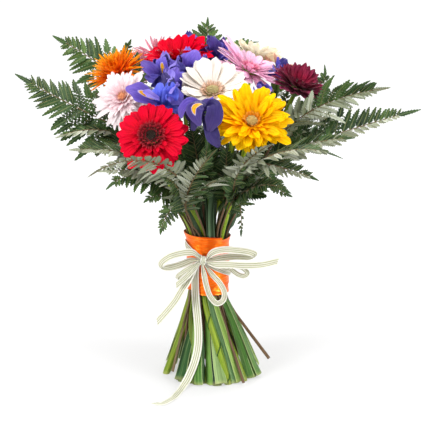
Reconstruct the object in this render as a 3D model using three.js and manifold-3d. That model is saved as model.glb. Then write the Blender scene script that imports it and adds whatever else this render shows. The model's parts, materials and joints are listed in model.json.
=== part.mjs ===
// Mixed flower bouquet, hand-tied in a spiral: eleven gerberas, nine irises and
// thirteen fern sprays, bound with a satin band and a striped ribbon bow.
// Millimetres, +Z up. The cut stem ends stand on z = 0.
import * as THREE from "three";
import { mergeVertices } from "three/addons/utils/BufferGeometryUtils.js";
import Module from "manifold-3d";

const wasm = await Module();
wasm.setup();

// ---------------------------------------------------------------- dimensions
const CENTRE_SHIFT = [-3.3, -8.1, 0];         // moves the bouquet so that its box is centred on the origin
const GAP = 0.38;                        // clearance between pieces that touch
const BASE_CENTRE = [-5, 0];             // centre of the splayed stem ends
const GERBERA_STEM = { foot: 5.0, waist: 3.6, neck: 3.0 };      // radii
const IRIS_STEM = { foot: 5.9, waist: 3.9, neck: 3.6 };
const IRIS_FLATTEN = 0.72;               // radial / tangential width at the foot
const FERN_STIPE = { foot: 2.3, waist: 2.1, neck: 1.7 };
const WAIST_Z = 138;                     // height of the tightest point
const STEM_SIDES = 8;                    // corners round a flower stem
const STIPE_SIDES = 6;                   // corners round a fern stalk
const HEAD_SIDES = 14;                   // corners round a gerbera head
const BAND = { inner: 25.55, outer: 27.2, bottom: 105, top: 181.5 };
const RIBBON_THICK = 0.9;

// ---------------------------------------------------------------- tables
const GERBERAS = [
  { name: "red_front", colour: "#d40f1c", centre: [-72.8,-112,322], axis: [-0.100,-0.882,0.461], radius: 41.4, cup: 0.14,
    route: [[37.8,-44.2,-5], [11.3,-23.7,60], [5.2,-18.6,78], [2.2,-15.8,90], [-0.9,-14,108], [-5.2,-12.9,144], [-9.6,-15,168], [-14.3,-19.7,186], [-18.9,-25,198], [-41.9,-52.2,246], [-63.6,-76.8,292.4], [-66.8,-81.6,300.1], [-68.9,-86.8,305.9], [-71.4,-99.3,315.3]] },
  { name: "yellow", colour: "#f6b60a", centre: [42.3,-98,335.4], axis: [0.060,-0.759,0.649], radius: 45.7, cup: 0.30,
    route: [[54.5,-3.6,-5], [23.6,-7,54], [14.7,-6.1,72], [7.4,-5,90], [4.6,-5.3,102], [2.9,-7.2,120], [2.9,-8.9,138], [4.5,-9.7,156], [7.1,-12,174], [9.5,-15.6,186], [12.4,-20.6,198], [36.6,-69.4,303.2], [39.1,-76.1,313.9], [41.4,-87.1,326.1]] },
  { name: "white", colour: "#f1ece0", centre: [-3,-42,363.2], axis: [0.040,-0.582,0.812], radius: 40.6, cup: 0.26,
    route: [[4.4,-25.5,-5], [-5.4,-3.8,96], [-5.5,-1.1,120], [-5.5,-0.2,144], [-5.5,-1.4,162], [-5,-12.8,240], [-4.7,-22.1,322.1], [-4.3,-25.6,335.5], [-3.6,-33.6,351.5]] },
  { name: "light_pink", colour: "#f2c4cf", centre: [-107.4,-62,359.4], axis: [-0.385,-0.771,0.507], radius: 38.3, cup: 0.12,
    route: [[17.6,-55.7,-5], [8.2,-47.8,30], [2.7,-42.4,48], [-9.1,-27.3,84], [-14.4,-17.8,108], [-16.6,-14.9,120], [-20,-12.3,138], [-25.6,-11.3,168], [-28.3,-11.9,180], [-32.2,-13.3,192], [-62.8,-26.3,264], [-88.8,-35.7,328.5], [-92.3,-37.9,336.4], [-95.5,-41.2,342.4], [-101.8,-50.9,352.1]] },
  { name: "orange", colour: "#ee7d1a", centre: [-119.3,-4,381.2], axis: [-0.482,-0.301,0.823], radius: 37.7, cup: 0.42,
    route: [[-10.3,-52.9,-5], [-17.1,-41.5,18], [-24.8,-31.7,42], [-27.8,-27.3,54], [-29.3,-23.1,66], [-29,-19.1,78], [-25.7,-11.9,102], [-24.6,-7.8,120], [-25.8,-4.8,138], [-30.9,-0.9,174], [-33.7,-0.4,186], [-38.1,-0.2,198], [-69.7,1.2,270], [-99.5,4.7,345.1], [-104.8,3.8,356.1], [-112.4,0.3,369.4]] },
  { name: "red_back", colour: "#cf1226", centre: [-46.2,42,393.7], axis: [-0.120,-0.140,0.983], radius: 42.4, cup: 0.34,
    route: [[-63.9,-16.1,-5], [-37.8,-4.6,60], [-27.8,-1.4,84], [-23.1,0.5,102], [-21.5,3.4,120], [-19.8,9.8,162], [-20.3,13.2,186], [-31.4,28.4,270], [-40.5,43.4,351.5], [-42.2,44.6,363.8], [-44.5,44,379.6]] },
  { name: "pink_right", colour: "#efa9c4", centre: [41.8,14,383.3], axis: [0.341,-0.261,0.903], radius: 41.8, cup: 0.26,
    route: [[8.4,23.2,-5], [-0.3,10.4,96], [1.6,7,162], [4.1,7.7,186], [27.4,19.9,335.1], [31.4,20.2,353.5], [36.9,17.8,370.3]] },
  { name: "burgundy", colour: "#5e1730", centre: [100.4,-8,365.9], axis: [0.343,-0.242,0.908], radius: 32.3, cup: 0.38,
    route: [[42.4,36.8,-5], [18.6,20.9,66], [9.8,13.4,96], [8.8,11.9,108], [9.4,10.5,126], [12.8,4,174], [15.7,2.9,186], [20.8,2.4,198], [54.4,1.1,264], [79.6,-0.4,317.6], [89.3,-1.8,338.4], [95.5,-4.5,352.8]] },
  { name: "pink_back", colour: "#e88fa8", centre: [-70.9,96,387], axis: [-0.300,0.520,0.800], radius: 42.5, cup: 0.20,
    route: [[-58.2,3.5,-5], [-30.5,4,102], [-28.9,7.1,138], [-27.5,12.2,174], [-29.2,17.3,192], [-44.9,47,270], [-58.9,76,351.2], [-61.8,80.9,362.2], [-66.5,88.5,375.5]] },
  { name: "cream", colour: "#f4ead0", centre: [50,88,389.2], axis: [0.200,0.340,0.919], radius: 42.3, cup: 0.20,
    route: [[-38.5,49.3,-5], [-28,37.6,42], [-14.8,22.1,96], [-12.7,20.9,114], [-5.3,21.9,174], [-1.6,25.3,192], [20.5,50.1,270], [38.9,70.4,341.1], [47.1,83.1,375.9]] },
  { name: "peach", colour: "#f3c9b4", centre: [86.8,74,367.8], axis: [0.521,0.421,0.742], radius: 34.4, cup: 0.20,
    route: [[3.6,59.7,-5], [-3.1,30.1,60], [-5.5,19.2,90], [-5.7,16.9,102], [-5.2,16.1,114], [0.1,14.7,168], [4.2,16.5,186], [8.5,19.3,198], [38.2,39.4,264], [66.1,57.4,333.2], [71.3,61.4,344.1], [79.2,67.9,357.1]] },
];

const IRISES = [
  { name: "left", centre: [-61.2,-66,359.4], axis: [-0.150,-0.450,0.880], size: 40.0, turn: 0,
    route: [[27.4,-49.6,-5], [3.3,-29.7,72], [-5.4,-21.1,102], [-15,-15.1,150], [-18.9,-14.1,174], [-23.7,-17.6,198], [-38.5,-33.7,258], [-52.6,-47.8,316.7], [-55.4,-51.4,328.8], [-58.9,-59.2,346.2]] },
  { name: "middle", centre: [-44.3,-38,361.5], axis: [0.050,-0.352,0.935], size: 35.9, turn: 37,
    route: [[3.6,-62.3,-5], [-2.5,-39.7,36], [-4.5,-27.7,60], [-7.1,-17.2,84], [-8.3,-13.4,96], [-9,-11.2,108], [-12,-7.3,150], [-13.9,-6.5,168], [-16.8,-7.6,186], [-41.7,-23.9,311.2], [-44.4,-27.4,329.9], [-45,-32.7,347.4]] },
  { name: "upper", centre: [-63.2,-8,376.9], axis: [-0.100,-0.151,0.983], size: 38.9, turn: 74,
    route: [[-22.2,-56.8,-5], [-22,-51,18], [-21.2,-44.4,36], [-20.7,-38.2,48], [-20.5,-23.3,72], [-18.9,-14.7,90], [-17.1,-7.1,114], [-17.5,-4,132], [-19.6,-3.3,150], [-25.7,-3.9,186], [-56.6,-3.1,333.6], [-61.7,-5.7,362.1]] },
  { name: "centre", centre: [-30.6,6,381.2], axis: [0.050,-0.100,0.994], size: 39.2, turn: 111,
    route: [[-42.8,-48.4,-5], [-32.3,-25.1,36], [-27,-16.8,54], [-17,-5,90], [-14.2,-0.3,108], [-13.2,2,120], [-12.9,3.2,132], [-13.6,3.3,150], [-20.8,4.3,228], [-30.6,8.5,339], [-31.4,7.5,366.3]] },
  { name: "front", centre: [-10.4,-95,343.7], axis: [-0.050,-0.782,0.621], size: 38.2, turn: 28,
    route: [[49.9,-27.8,-5], [24.8,-17.1,60], [10.1,-12.8,96], [7.3,-13.3,108], [-3.4,-20.5,168], [-5.3,-25.3,192], [-8.8,-62.8,304.9], [-9.1,-66.6,313.9], [-9.2,-71.3,321.5], [-9.7,-83.3,334.4]] },
  { name: "top", centre: [-33.6,104,387.4], axis: [0.000,0.150,0.989], size: 38.8, turn: 65,
    route: [[-55.7,31.5,-5], [-33.9,19.9,66], [-25.7,15.1,96], [-23.6,15,114], [-18.3,19.9,174], [-18.6,24.9,192], [-26.1,58.9,264], [-30.7,84.9,324], [-32.7,96.6,353.2], [-33.6,101.8,372.5]] },
  { name: "rear", centre: [0,58,383.7], axis: [0.100,0.050,0.994], size: 37.8, turn: 102,
    route: [[-18.1,59.1,-5], [-17.2,34.6,42], [-13.7,18.2,78], [-12.7,12.9,96], [-12,11.5,114], [-9,11.9,162], [-8.4,13.6,180], [-8.2,20.7,210], [-5.9,40.8,288], [-3.2,53.6,344.1], [-1.5,57.2,368.8]] },
  { name: "right", centre: [79.8,34,369.1], axis: [0.202,0.050,0.978], size: 34.9, turn: 19,
    route: [[25,51.9,-5], [14,34.1,48], [3.2,19.2,96], [2.8,17.5,108], [3.5,16.8,120], [8.6,12,168], [12.7,11,186], [17.1,11.8,198], [53.6,25.2,288], [71.2,31.4,335.2], [76.8,33.2,354.4]] },
  { name: "hollow", centre: [56,-46,354.2], axis: [0.201,-0.301,0.932], size: 33.4, turn: 56,
    route: [[52.4,17.7,-5], [36,11.3,36], [12,2.9,90], [9.4,1.3,102], [8,-1.7,126], [7.2,-2.2,162], [8.8,-4.3,180], [12.7,-7.9,198], [45.9,-34.5,314.5], [53,-41.5,340.2]] },
];

const FERNS = [
  { name: "upper_left",
    route: [[-41.9,-21.7,-5], [-36.7,-13.7,48], [-31.8,-3.3,102], [-31.4,4.3,162], [-33,6,180], [-38.2,8.1,198], [-63.3,18.3,264], [-86.6,29.4,331.8], [-91.5,31.5,341.9], [-96.3,34,347.7]],
    fronds: [
      { rachis: [[-96.3,34,347.7], [-121.3,46.2,368.1], [-147,52,386.9], [-173.5,51.2,404.3], [-200.5,44,420.3]], across: [-0.536,-0.463,-0.706], half: 41, pairs: 7 },
      { rachis: [[-100.5,46,361.2], [-108.5,50,374.6], [-111.8,52,388.2], [-110.7,52,402], [-105,50,415.9]], across: [-0.942,-0.332,-0.053], half: 13, pairs: 3 },
      { rachis: [[-58.9,16.3,252], [-79.7,3.8,273.6], [-99.6,-8.3,288.9], [-118.8,-20,298], [-137.3,-31.1,300.8]], across: [0.518,-0.856,0.000], half: 25, pairs: 5 },
      { rachis: [[-75.9,24.1,300], [-79.5,43.1,309.7], [-82.9,61.4,316.6], [-86.3,78.9,320.7], [-89.4,95.7,321.9]], across: [-0.983,-0.186,-0.000], half: 25, pairs: 5 },
    ] },
  { name: "left",
    route: [[-52.8,-51.6,15], [-38,-20.6,72], [-34.7,-14.6,84], [-31.7,-10.1,96], [-30.8,-8.7,102], [-30.3,-7.9,114], [-30,-8.7,144], [-31.6,-7.2,174], [-34.6,-7.6,186], [-42.9,-10.5,204], [-96.8,-30.6,304.5], [-101.6,-32.2,311.1], [-107.4,-34,316]],
    fronds: [
      { rachis: [[-107.4,-34,316], [-138.8,-42.2,331.7], [-170.4,-48,348.5], [-202.2,-51.2,366.1], [-234.2,-52,384.8]], across: [-0.313,-0.603,-0.734], half: 42, pairs: 7 },
      { rachis: [[-123.6,-44,315.2], [-139.4,-54,319.6], [-155.4,-62,320.7], [-171.5,-68,318.4], [-187.7,-72,312.8]], across: [0.377,-0.826,-0.418], half: 20, pairs: 4 },
      { rachis: [[-98.3,-31.1,306.9], [-112.6,-50.2,304], [-129.3,-66,302.1], [-148.3,-78.6,301.2], [-169.7,-88,301.3]], across: [0.507,-0.572,-0.645], half: 24, pairs: 5 },
      { rachis: [[-68.9,-20.7,252], [-86.7,-13.4,269.1], [-103.9,-6.4,281.3], [-120.4,0.4,288.5], [-136.2,6.9,290.8]], across: [-0.379,-0.925,0.000], half: 26, pairs: 5 },
    ] },
  { name: "lower_left",
    route: [[-21,-33,-5], [-15.1,-30.5,36], [-13.8,-29.8,60], [-15.9,-28.2,72], [-22.3,-20,96], [-23.6,-17.6,108], [-23.7,-17.5,162], [-26.3,-18.2,180], [-30.6,-21.7,192], [-36.4,-27.8,204], [-68.5,-66.5,268.1], [-77,-74,279.5]],
    fronds: [
      { rachis: [[-77,-74,279.5], [-97.3,-88,293.6], [-116.2,-100,302.3], [-133.5,-110,305.5], [-149.4,-118,303.2]], across: [0.339,-0.813,-0.473], half: 25, pairs: 4 },
      { rachis: [[-67.1,-64.9,265.4], [-80.9,-84.1,274.1], [-96.7,-100,279.8], [-114.6,-112.6,282.3], [-134.5,-122,281.8]], across: [0.445,-0.689,-0.572], half: 22, pairs: 4 },
    ] },
  { name: "pale_left",
    route: [[35.5,-60.3,3], [13.8,-33.7,66], [3.1,-22.3,96], [-0.3,-21.2,108], [-7.3,-22.6,138], [-10.9,-23.7,174], [-12.8,-27.3,186], [-15.9,-34.9,198], [-35,-83.8,257.7], [-38.7,-92,266.3]],
    fronds: [
      { rachis: [[-38.7,-92,266.3], [-62,-124.2,289.5], [-87,-146,300.3], [-113.5,-157.2,298.6], [-141.5,-158,284.3]], across: [0.484,-0.573,0.661], half: 24, pairs: 5 },
      { rachis: [[-27.4,-63.9,234], [-15.5,-79.8,251.7], [-4.1,-95.2,264.2], [6.8,-109.9,271.6], [17.4,-124.1,274]], across: [0.802,0.597,-0.000], half: 26, pairs: 5 },
    ] },
  { name: "low_left",
    route: [[-3.2,-34.8,-5], [-10.1,-26.7,48], [-19.1,-20.6,102], [-19.9,-19.9,114], [-19.6,-20.1,156], [-21.3,-20.4,174], [-24.4,-22.7,186], [-29.1,-28.4,198], [-44.8,-51.4,234.6], [-51.7,-58,244.6]],
    fronds: [
      { rachis: [[-51.7,-58,244.6], [-74.3,-72.8,261.8], [-94.3,-84,269.4], [-111.8,-91.8,267.6], [-126.6,-96,256.3]], across: [0.307,-0.776,-0.551], half: 24, pairs: 4 },
      { rachis: [[-47.1,-52,238.4], [-56.2,-66.5,244.3], [-65.3,-78,246.5], [-74.4,-86.5,245], [-83.6,-92,239.8]], across: [0.567,-0.540,-0.621], half: 16, pairs: 3 },
      { rachis: [[-36.7,-34,219.5], [-46.3,-43,222.8], [-54.5,-50,219.4], [-61.3,-55,209.3], [-66.6,-58,192.7]], across: [0.736,-0.625,-0.260], half: 14, pairs: 3 },
    ] },
  { name: "top_back",
    route: [[-27.7,33.9,-5], [-23.4,22.9,72], [-21.1,20.4,96], [-19.2,20.3,114], [-13.6,22.3,162], [-12.1,24.6,180], [-11.2,30.9,198], [-6,65.7,276], [-0.5,93.2,344], [-0.4,98.8,354.7], [-1.3,104,361.4]],
    fronds: [
      { rachis: [[-1.3,104,361.4], [-6.2,121.8,380.9], [-9.2,134,399.7], [-10.2,140.8,418], [-9.2,142,435.6]], across: [-0.992,-0.119,-0.045], half: 24, pairs: 4 },
      { rachis: [[9.1,112,368.2], [19.1,132,382.7], [30.4,146,393.2], [43.1,154,399.9], [57.1,156,402.8]], across: [-0.737,0.644,0.204], half: 20, pairs: 3 },
      { rachis: [[-7.8,55.2,252], [-24.7,66.9,270.2], [-41,78,283.2], [-56.6,88.8,290.9], [-71.6,99.1,293.3]], across: [-0.566,-0.825,0.000], half: 26, pairs: 5 },
      { rachis: [[-4.6,73.2,294], [8.5,81.9,301.9], [21.2,90.3,307.5], [33.3,98.3,310.9], [45,106,311.9]], across: [-0.552,0.834,0.000], half: 26, pairs: 5 },
    ] },
  { name: "pale_right",
    route: [[16.4,27.8,-5], [5.8,7.6,96], [6.7,5.6,114], [11.7,2.2,144], [15.6,-3.3,180], [19.2,-5.4,192], [32.9,-11.9,222], [64.3,-25.9,287.4], [73.9,-30,303.1]],
    fronds: [
      { rachis: [[73.9,-30,303.1], [97.7,-39.8,328.7], [127.8,-44,347.9], [164.3,-42.8,360.7], [207.1,-36,367.2]], across: [0.386,0.533,-0.752], half: 40, pairs: 7 },
      { rachis: [[91.5,-16,315.5], [112,-10,330.9], [125.8,-6,348.4], [133.1,-4,368.1], [133.8,-4,389.8]], across: [-0.752,-0.431,0.498], half: 11, pairs: 3 },
      { rachis: [[41.5,-15.8,240], [57.4,-2.9,258.1], [72.7,9.4,271], [87.3,21.3,278.7], [101.4,32.6,281.1]], across: [-0.628,0.778,0.000], half: 26, pairs: 5 },
    ] },
  { name: "long_right",
    route: [[30.5,20.5,-5], [18.5,12.7,72], [13.4,6.9,102], [13.1,-6.6,168], [14.1,-9.1,180], [19.9,-14.3,198], [52.2,-38.5,266.2], [59.2,-42.2,277.6], [63.5,-43.6,282.1], [66.3,-44,283.5]],
    fronds: [
      { rachis: [[66.3,-44,283.5], [112,-48.5,301.7], [156.4,-52,317.8], [199.3,-54.5,331.8], [240.9,-56,343.7]], across: [-0.250,0.505,0.826], half: 36, pairs: 7 },
      { rachis: [[80.4,-50,292], [101.1,-60.8,300.9], [121.8,-70,307.6], [142.4,-77.8,312.3], [162.8,-84,314.8]], across: [0.169,0.799,0.578], half: 20, pairs: 4 },
      { rachis: [[57.2,-41.5,275.1], [64.8,-52.3,262.3], [73.1,-60,252.4], [82.2,-64.6,245.4], [92.1,-66,241.4]], across: [0.746,0.556,0.367], half: 15, pairs: 3 },
      { rachis: [[39.5,-29,240], [38.5,-49.3,258.1], [37.5,-68.8,270.9], [36.6,-87.5,278.5], [35.7,-105.5,280.9]], across: [0.999,-0.049,0.000], half: 26, pairs: 5 },
    ] },
  { name: "low_right",
    route: [[68,-31,25], [25.7,-12.5,78], [15.4,-8.5,96], [12.1,-9,108], [3.2,-19.6,168], [2.5,-22.3,180], [2.8,-24.6,186], [4.9,-31.8,198], [22.5,-81.4,262.6], [25.2,-86.8,269.8], [29.3,-92,275.8]],
    fronds: [
      { rachis: [[29.3,-92,275.8], [58.8,-116.8,297.8], [87.5,-134,309.6], [115.3,-143.8,311.2], [142.2,-146,302.6]], across: [0.348,0.883,0.314], half: 28, pairs: 6 },
      { rachis: [[24.7,-86,269.8], [31.4,-103.2,284.5], [40.3,-116,297], [51.5,-124.2,307.3], [65,-128,315.5]], across: [0.835,0.441,-0.330], half: 20, pairs: 4 },
      { rachis: [[49.1,-109.3,291.6], [68.1,-120.2,289], [85.8,-128,285.3], [102.4,-132.6,280.6], [117.6,-134,274.8]], across: [0.399,0.757,0.518], half: 20, pairs: 4 },
    ] },
  { name: "drop_right",
    route: [[31.7,-0,-5], [23.4,-0.2,54], [19.5,-2,78], [14.1,-3.5,102], [12.1,-7.8,126], [6.5,-18,174], [7,-21.8,186], [9.5,-28.2,198], [17.2,-44.1,223], [22.9,-52,233.5]],
    fronds: [
      { rachis: [[22.9,-52,233.5], [39.2,-70.2,250], [55.5,-84,258.6], [71.7,-93.2,259.3], [87.9,-98,251.9]], across: [0.408,0.772,0.487], half: 24, pairs: 4 },
      { rachis: [[20.6,-46,227.2], [26.3,-57.8,232.9], [30,-66,229.2], [31.6,-70.8,216.1], [31.2,-72,193.6]], across: [0.785,0.585,-0.206], half: 8, pairs: 3 },
      { rachis: [[22.9,-52,233.5], [22,-74.5,252.3], [24.6,-92,268.7], [30.8,-104.5,282.5], [40.4,-112,293.9]], across: [-0.804,0.289,0.519], half: 17, pairs: 4 },
    ] },
  { name: "front",
    route: [[27,-18,-5], [13.3,-18.8,72], [5,-18.5,102], [0.4,-19.3,120], [-8.7,-18.8,150], [-12.2,-19.5,162], [-15.8,-21.7,174], [-20.7,-25.9,185.9], [-32.5,-39.9,205.4], [-34.6,-45.6,213.3], [-35.1,-50,218.1]],
    fronds: [
      { rachis: [[-35.1,-50,218.1], [-33.5,-75.5,241.9], [-26.9,-96,264.7], [-15.4,-111.5,286.5], [1.1,-122,307.4]], across: [0.935,0.033,-0.353], half: 22, pairs: 4 },
      { rachis: [[-35.2,-54.6,222.2], [-39.7,-74,242.9], [-45.9,-90,258.7], [-53.9,-102.7,269.4], [-63.7,-112,275.1]], across: [-0.267,-0.578,-0.771], half: 18, pairs: 4 },
    ] },
  { name: "core_left",
    route: [[12.8,-25.4,-5], [0,-9,90], [-3,-7.3,114], [-4.4,-6.5,138], [-5.8,-7.3,156], [-8.5,-9.9,174], [-13.3,-15.4,200.1], [-14.8,-22,219.3]],
    fronds: [
      { rachis: [[-14.8,-22,219.3], [-17.9,-34.8,253.5], [-21.7,-44,283.5], [-26,-49.8,309.4], [-31,-52,331]], across: [-0.986,-0.049,-0.156], half: 30, pairs: 5 },
      { rachis: [[-15.8,-26.6,231.2], [-13.7,-66.5,257.2], [-11.7,-94,281], [-9.8,-109.2,302.6], [-8.1,-112,322]], across: [-0.941,0.203,0.271], half: 19, pairs: 4 },
      { rachis: [[-15.8,-26.6,231.2], [-29.7,-56.5,251.5], [-40.2,-78,268.2], [-47.5,-91.2,281.4], [-51.3,-96,290.9]], across: [-0.524,-0.385,-0.760], half: 20, pairs: 4 },
    ] },
  { name: "core_right",
    route: [[6.5,4.3,-5], [1.6,1,96], [0.1,-4.3,150], [0.5,-7.2,168], [3.1,-13.5,196.3], [4.8,-16.3,206.3], [8.6,-22,219.3]],
    fronds: [
      { rachis: [[8.6,-22,219.3], [17,-37.5,245.7], [27.7,-50,267.5], [40.6,-59.5,284.7], [55.8,-66,297.3]], across: [-0.605,0.479,0.636], half: 30, pairs: 5 },
      { rachis: [[11.2,-27.5,228.6], [12,-59.8,257.2], [13,-80,280.7], [14,-88.1,299.1], [15.2,-84,312.4]], across: [-0.991,-0.128,-0.038], half: 20, pairs: 4 },
      { rachis: [[11.2,-27.5,228.6], [23.9,-58.1,250.2], [36.6,-80,266.2], [49.3,-93.3,276.8], [61.8,-98,281.8]], across: [0.158,0.664,0.731], half: 20, pairs: 4 },
    ] },
  { name: "side_left",
    route: [[-35.3,-2.2,-5], [-28.2,-8,78], [-26.7,-6.1,96], [-25.5,0.7,132], [-25.5,3.4,156], [-27.1,5.8,174], [-32,12.7,197.4], [-37.2,18,212.7], [-46,22,226]],
    fronds: [
      { rachis: [[-46,22,226], [-80,35.2,261.8], [-112,46,286], [-142,54.2,298.8], [-170,60,300]], across: [-0.417,-0.873,-0.251], half: 36, pairs: 5 },
      { rachis: [[-42.1,20.4,220.9], [-59.6,13.2,237.7], [-76.4,6.2,249.6], [-92.5,-0.4,256.7], [-108,-6.8,258.9]], across: [0.382,-0.924,0.000], half: 26, pairs: 5 },
      { rachis: [[-42.1,20.4,220.9], [-47.3,37.1,236.5], [-52.3,53.2,247.5], [-57.1,68.7,254.1], [-61.7,83.5,256.1]], across: [-0.955,-0.296,0.000], half: 26, pairs: 5 },
    ] },
  { name: "side_right",
    route: [[9.8,40.1,-5], [4.4,32.2,54], [0.6,28.4,78], [-2,23.7,96], [-2.1,21.9,108], [-1.3,21.3,120], [3.4,19,156], [8.8,17.3,180], [14,18,192], [24.3,20.8,211.4], [34,26,226]],
    fronds: [
      { rachis: [[34,26,226], [70.2,40.5,261.5], [104,52,286], [135.2,60.5,299.5], [164,66,302]], across: [-0.415,0.874,0.250], half: 36, pairs: 5 },
      { rachis: [[31,24.4,222.3], [49.5,25.9,238.8], [67.2,27.4,250.5], [84.3,28.7,257.4], [100.6,30.1,259.6]], across: [-0.081,0.997,0.000], half: 26, pairs: 5 },
      { rachis: [[31,24.4,222.3], [39.3,43.5,240.8], [47.2,61.8,253.9], [54.9,79.4,261.7], [62.2,96.3,264.1]], across: [-0.917,0.399,0.000], half: 26, pairs: 5 },
    ] },
  { name: "back",
    route: [[-23.5,15.4,-5], [-21,16.4,72], [-16.9,15.9,114], [-11.8,18.1,168], [-9.6,21.4,186], [-7.7,27.8,206.4], [-7.5,32.4,215.6], [-8,40,226]],
    fronds: [
      { rachis: [[-8,40,226], [-11.3,77,264], [-14,112,290], [-16.2,145,304], [-18,176,306]], across: [-0.995,-0.094,0.035], half: 36, pairs: 5 },
      { rachis: [[-7.7,36,220.9], [-25,46.1,238.8], [-41.6,55.9,251.4], [-57.6,65.2,258.9], [-73,74.2,261.3]], across: [-0.505,-0.863,0.000], half: 26, pairs: 5 },
      { rachis: [[-7.7,36,220.9], [5.6,53.1,240.2], [18.5,69.6,253.9], [30.8,85.4,262], [42.6,100.6,264.6]], across: [-0.789,0.614,0.000], half: 26, pairs: 5 },
    ] },
  { name: "back_left",
    route: [[-39.3,12.4,-5], [-32.4,10.4,78], [-29.7,10.4,102], [-25.4,15.9,162], [-24.7,19.1,180], [-26.8,25.1,198], [-49.2,65.4,302], [-52.5,70.8,312.5], [-56,76,318]],
    fronds: [
      { rachis: [[-56,76,318], [-79,110.8,337.3], [-98,140,350], [-113,163.8,356.3], [-124,182,356]], across: [-0.774,-0.584,0.245], half: 38, pairs: 6 },
      { rachis: [[-37.4,44,246], [-34.1,65.7,265.5], [-30.9,86.5,279.3], [-27.8,106.5,287.5], [-24.8,125.7,290.1]], across: [-0.988,0.152,0.000], half: 26, pairs: 5 },
      { rachis: [[-46.3,60,287.9], [-66.3,62,298], [-85.6,63.8,305.2], [-104.1,65.6,309.4], [-121.9,67.3,310.7]], across: [-0.096,-0.995,-0.000], half: 26, pairs: 5 },
    ] },
  { name: "back_right",
    route: [[-12.7,42,-5], [-9.5,35.5,42], [-9.5,29.5,72], [-7.6,23.2,102], [-4.7,22.3,132], [1.1,21.5,174], [5.1,25.2,192], [35.7,64.3,296.4], [39.9,70.1,308], [44,76,314]],
    fronds: [
      { rachis: [[44,76,314], [68.7,109.8,330.5], [90,138,342], [107.7,160.8,348.5], [122,178,350]], across: [-0.700,0.644,-0.308], half: 38, pairs: 6 },
      { rachis: [[21,45.3,246], [14.9,67,266], [9.1,87.8,280.2], [3.5,107.8,288.6], [-1.9,127,291.2]], across: [-0.963,-0.270,-0.000], half: 26, pairs: 5 },
      { rachis: [[33.1,60.9,287.4], [48.6,67.1,295.8], [63.4,73.1,301.7], [77.7,78.9,305.3], [91.4,84.4,306.4]], across: [-0.373,0.928,-0.000], half: 26, pairs: 5 },
    ] },
];

const RIBBON = {
  knot: [-14.8,-31.5,152.4],
  wrap: [[-13.9,-28,151.9], [-4.1,-28,145.5], [5.2,-24.6,139.5], [12.8,-18.3,134.6], [17.7,-9.7,131.4], [19.4,0,130.3], [17.7,9.7,131.4], [12.8,18.3,134.6], [5.2,24.6,139.5], [-4.1,28,145.5], [-13.9,28,151.9], [-23.2,24.6,157.9], [-30.8,18.3,162.8], [-35.7,9.7,165.9], [-37.4,0,167.1], [-35.7,-9.7,165.9], [-30.8,-18.3,162.8], [-23.2,-24.6,157.9]],
  strips: [
    { name: "long_tail", width: 9.9, route: [[-18.5,-32,153.2], [-24.2,-28.5,142], [-24.9,-25.5,123.2], [-24.1,-26,102.6], [-22.5,-30,83], [-20.8,-36.5,64.1], [-21.1,-47.5,46.9], [-25.4,-56.5,29.1], [-33.5,-60,9.4], [-41.8,-76.9,1], [-53,-111.3,1], [-64.4,-126.3,1], [-72.9,-123,1]] },
    { name: "left_tail", width: 9.5, route: [[-19.8,-32.5,150.8], [-28.4,-36,138.9], [-33.3,-38.5,129.4], [-42,-41,116], [-49.4,-43,103.7], [-59.3,-45,91.5], [-71.7,-47,77.9]] },
    { name: "left_loop", width: 9.1, route: [[-18.5,-33,156], [-28.3,-38,164.3], [-42.9,-41,163.8], [-57.7,-41,158.8], [-66.5,-37,150.1], [-65.6,-31,143.3], [-55.7,-29.5,142.9], [-42.1,-30.5,147], [-28.4,-31.5,152.4], [-18.5,-31.5,152.4]] },
    { name: "left_short_loop", width: 7.1, route: [[-18.5,-33,150.9], [-28.4,-37,146.2], [-38.2,-39,140.4], [-45.7,-38,133.7], [-45.2,-34.5,129.6], [-37.2,-32.5,132.2], [-28.5,-32,140.4], [-18.5,-32,149.4]] },
    { name: "left_short_tail", width: 7.5, route: [[-18.5,-35,150.2], [-29.6,-40,140], [-38.2,-43,131.9], [-48,-45,124.2]] },
    { name: "right_loop", width: 8.7, route: [[-11.1,-33,154.1], [-2.5,-38,164.3], [11,-41,168.5], [28.2,-42,167.9], [43,-40,165.1], [49.2,-36,160.6], [43.2,-31.5,156.9], [28.5,-28.5,156.8], [11.1,-30,155.9], [-2.5,-31.5,153.7], [-11.1,-31.5,152.4]] },
    { name: "right_tail", width: 9.1, route: [[-11.1,-34,150.5], [1.2,-38,149.1], [18.4,-42,149.8], [38,-45,149.6], [57.6,-47,151.1], [77.1,-48,155.6]] },
    { name: "right_small_loop", width: 6.3, route: [[-9.9,-31.5,149.2], [3.7,-31,145.3], [18.6,-31,141.4], [28.5,-31,134.4], [35.9,-33.5,133.1], [40.1,-36,137.7], [34.6,-35,143.1], [18.5,-33.5,147.2], [3.7,-33.5,149.8], [-9.9,-32.5,151.4]] },
    { name: "hanging_loop", width: 6.7, route: [[-16,-34,148.6], [-13.6,-36.5,136.5], [-10.5,-38.5,121.7], [-5.6,-40.5,108.1], [2.5,-40.5,99.8], [9.9,-39.5,103.3], [11.8,-37.5,112.4], [6.8,-35,123.3], [-3.7,-33.5,135.1], [-12.4,-32.5,146.9]] },
  ],
};

// ---------------------------------------------------------------- helpers
const V = (a) => new THREE.Vector3(a[0], a[1], a[2]);
const UP = new THREE.Vector3(0, 0, 1);

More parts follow.
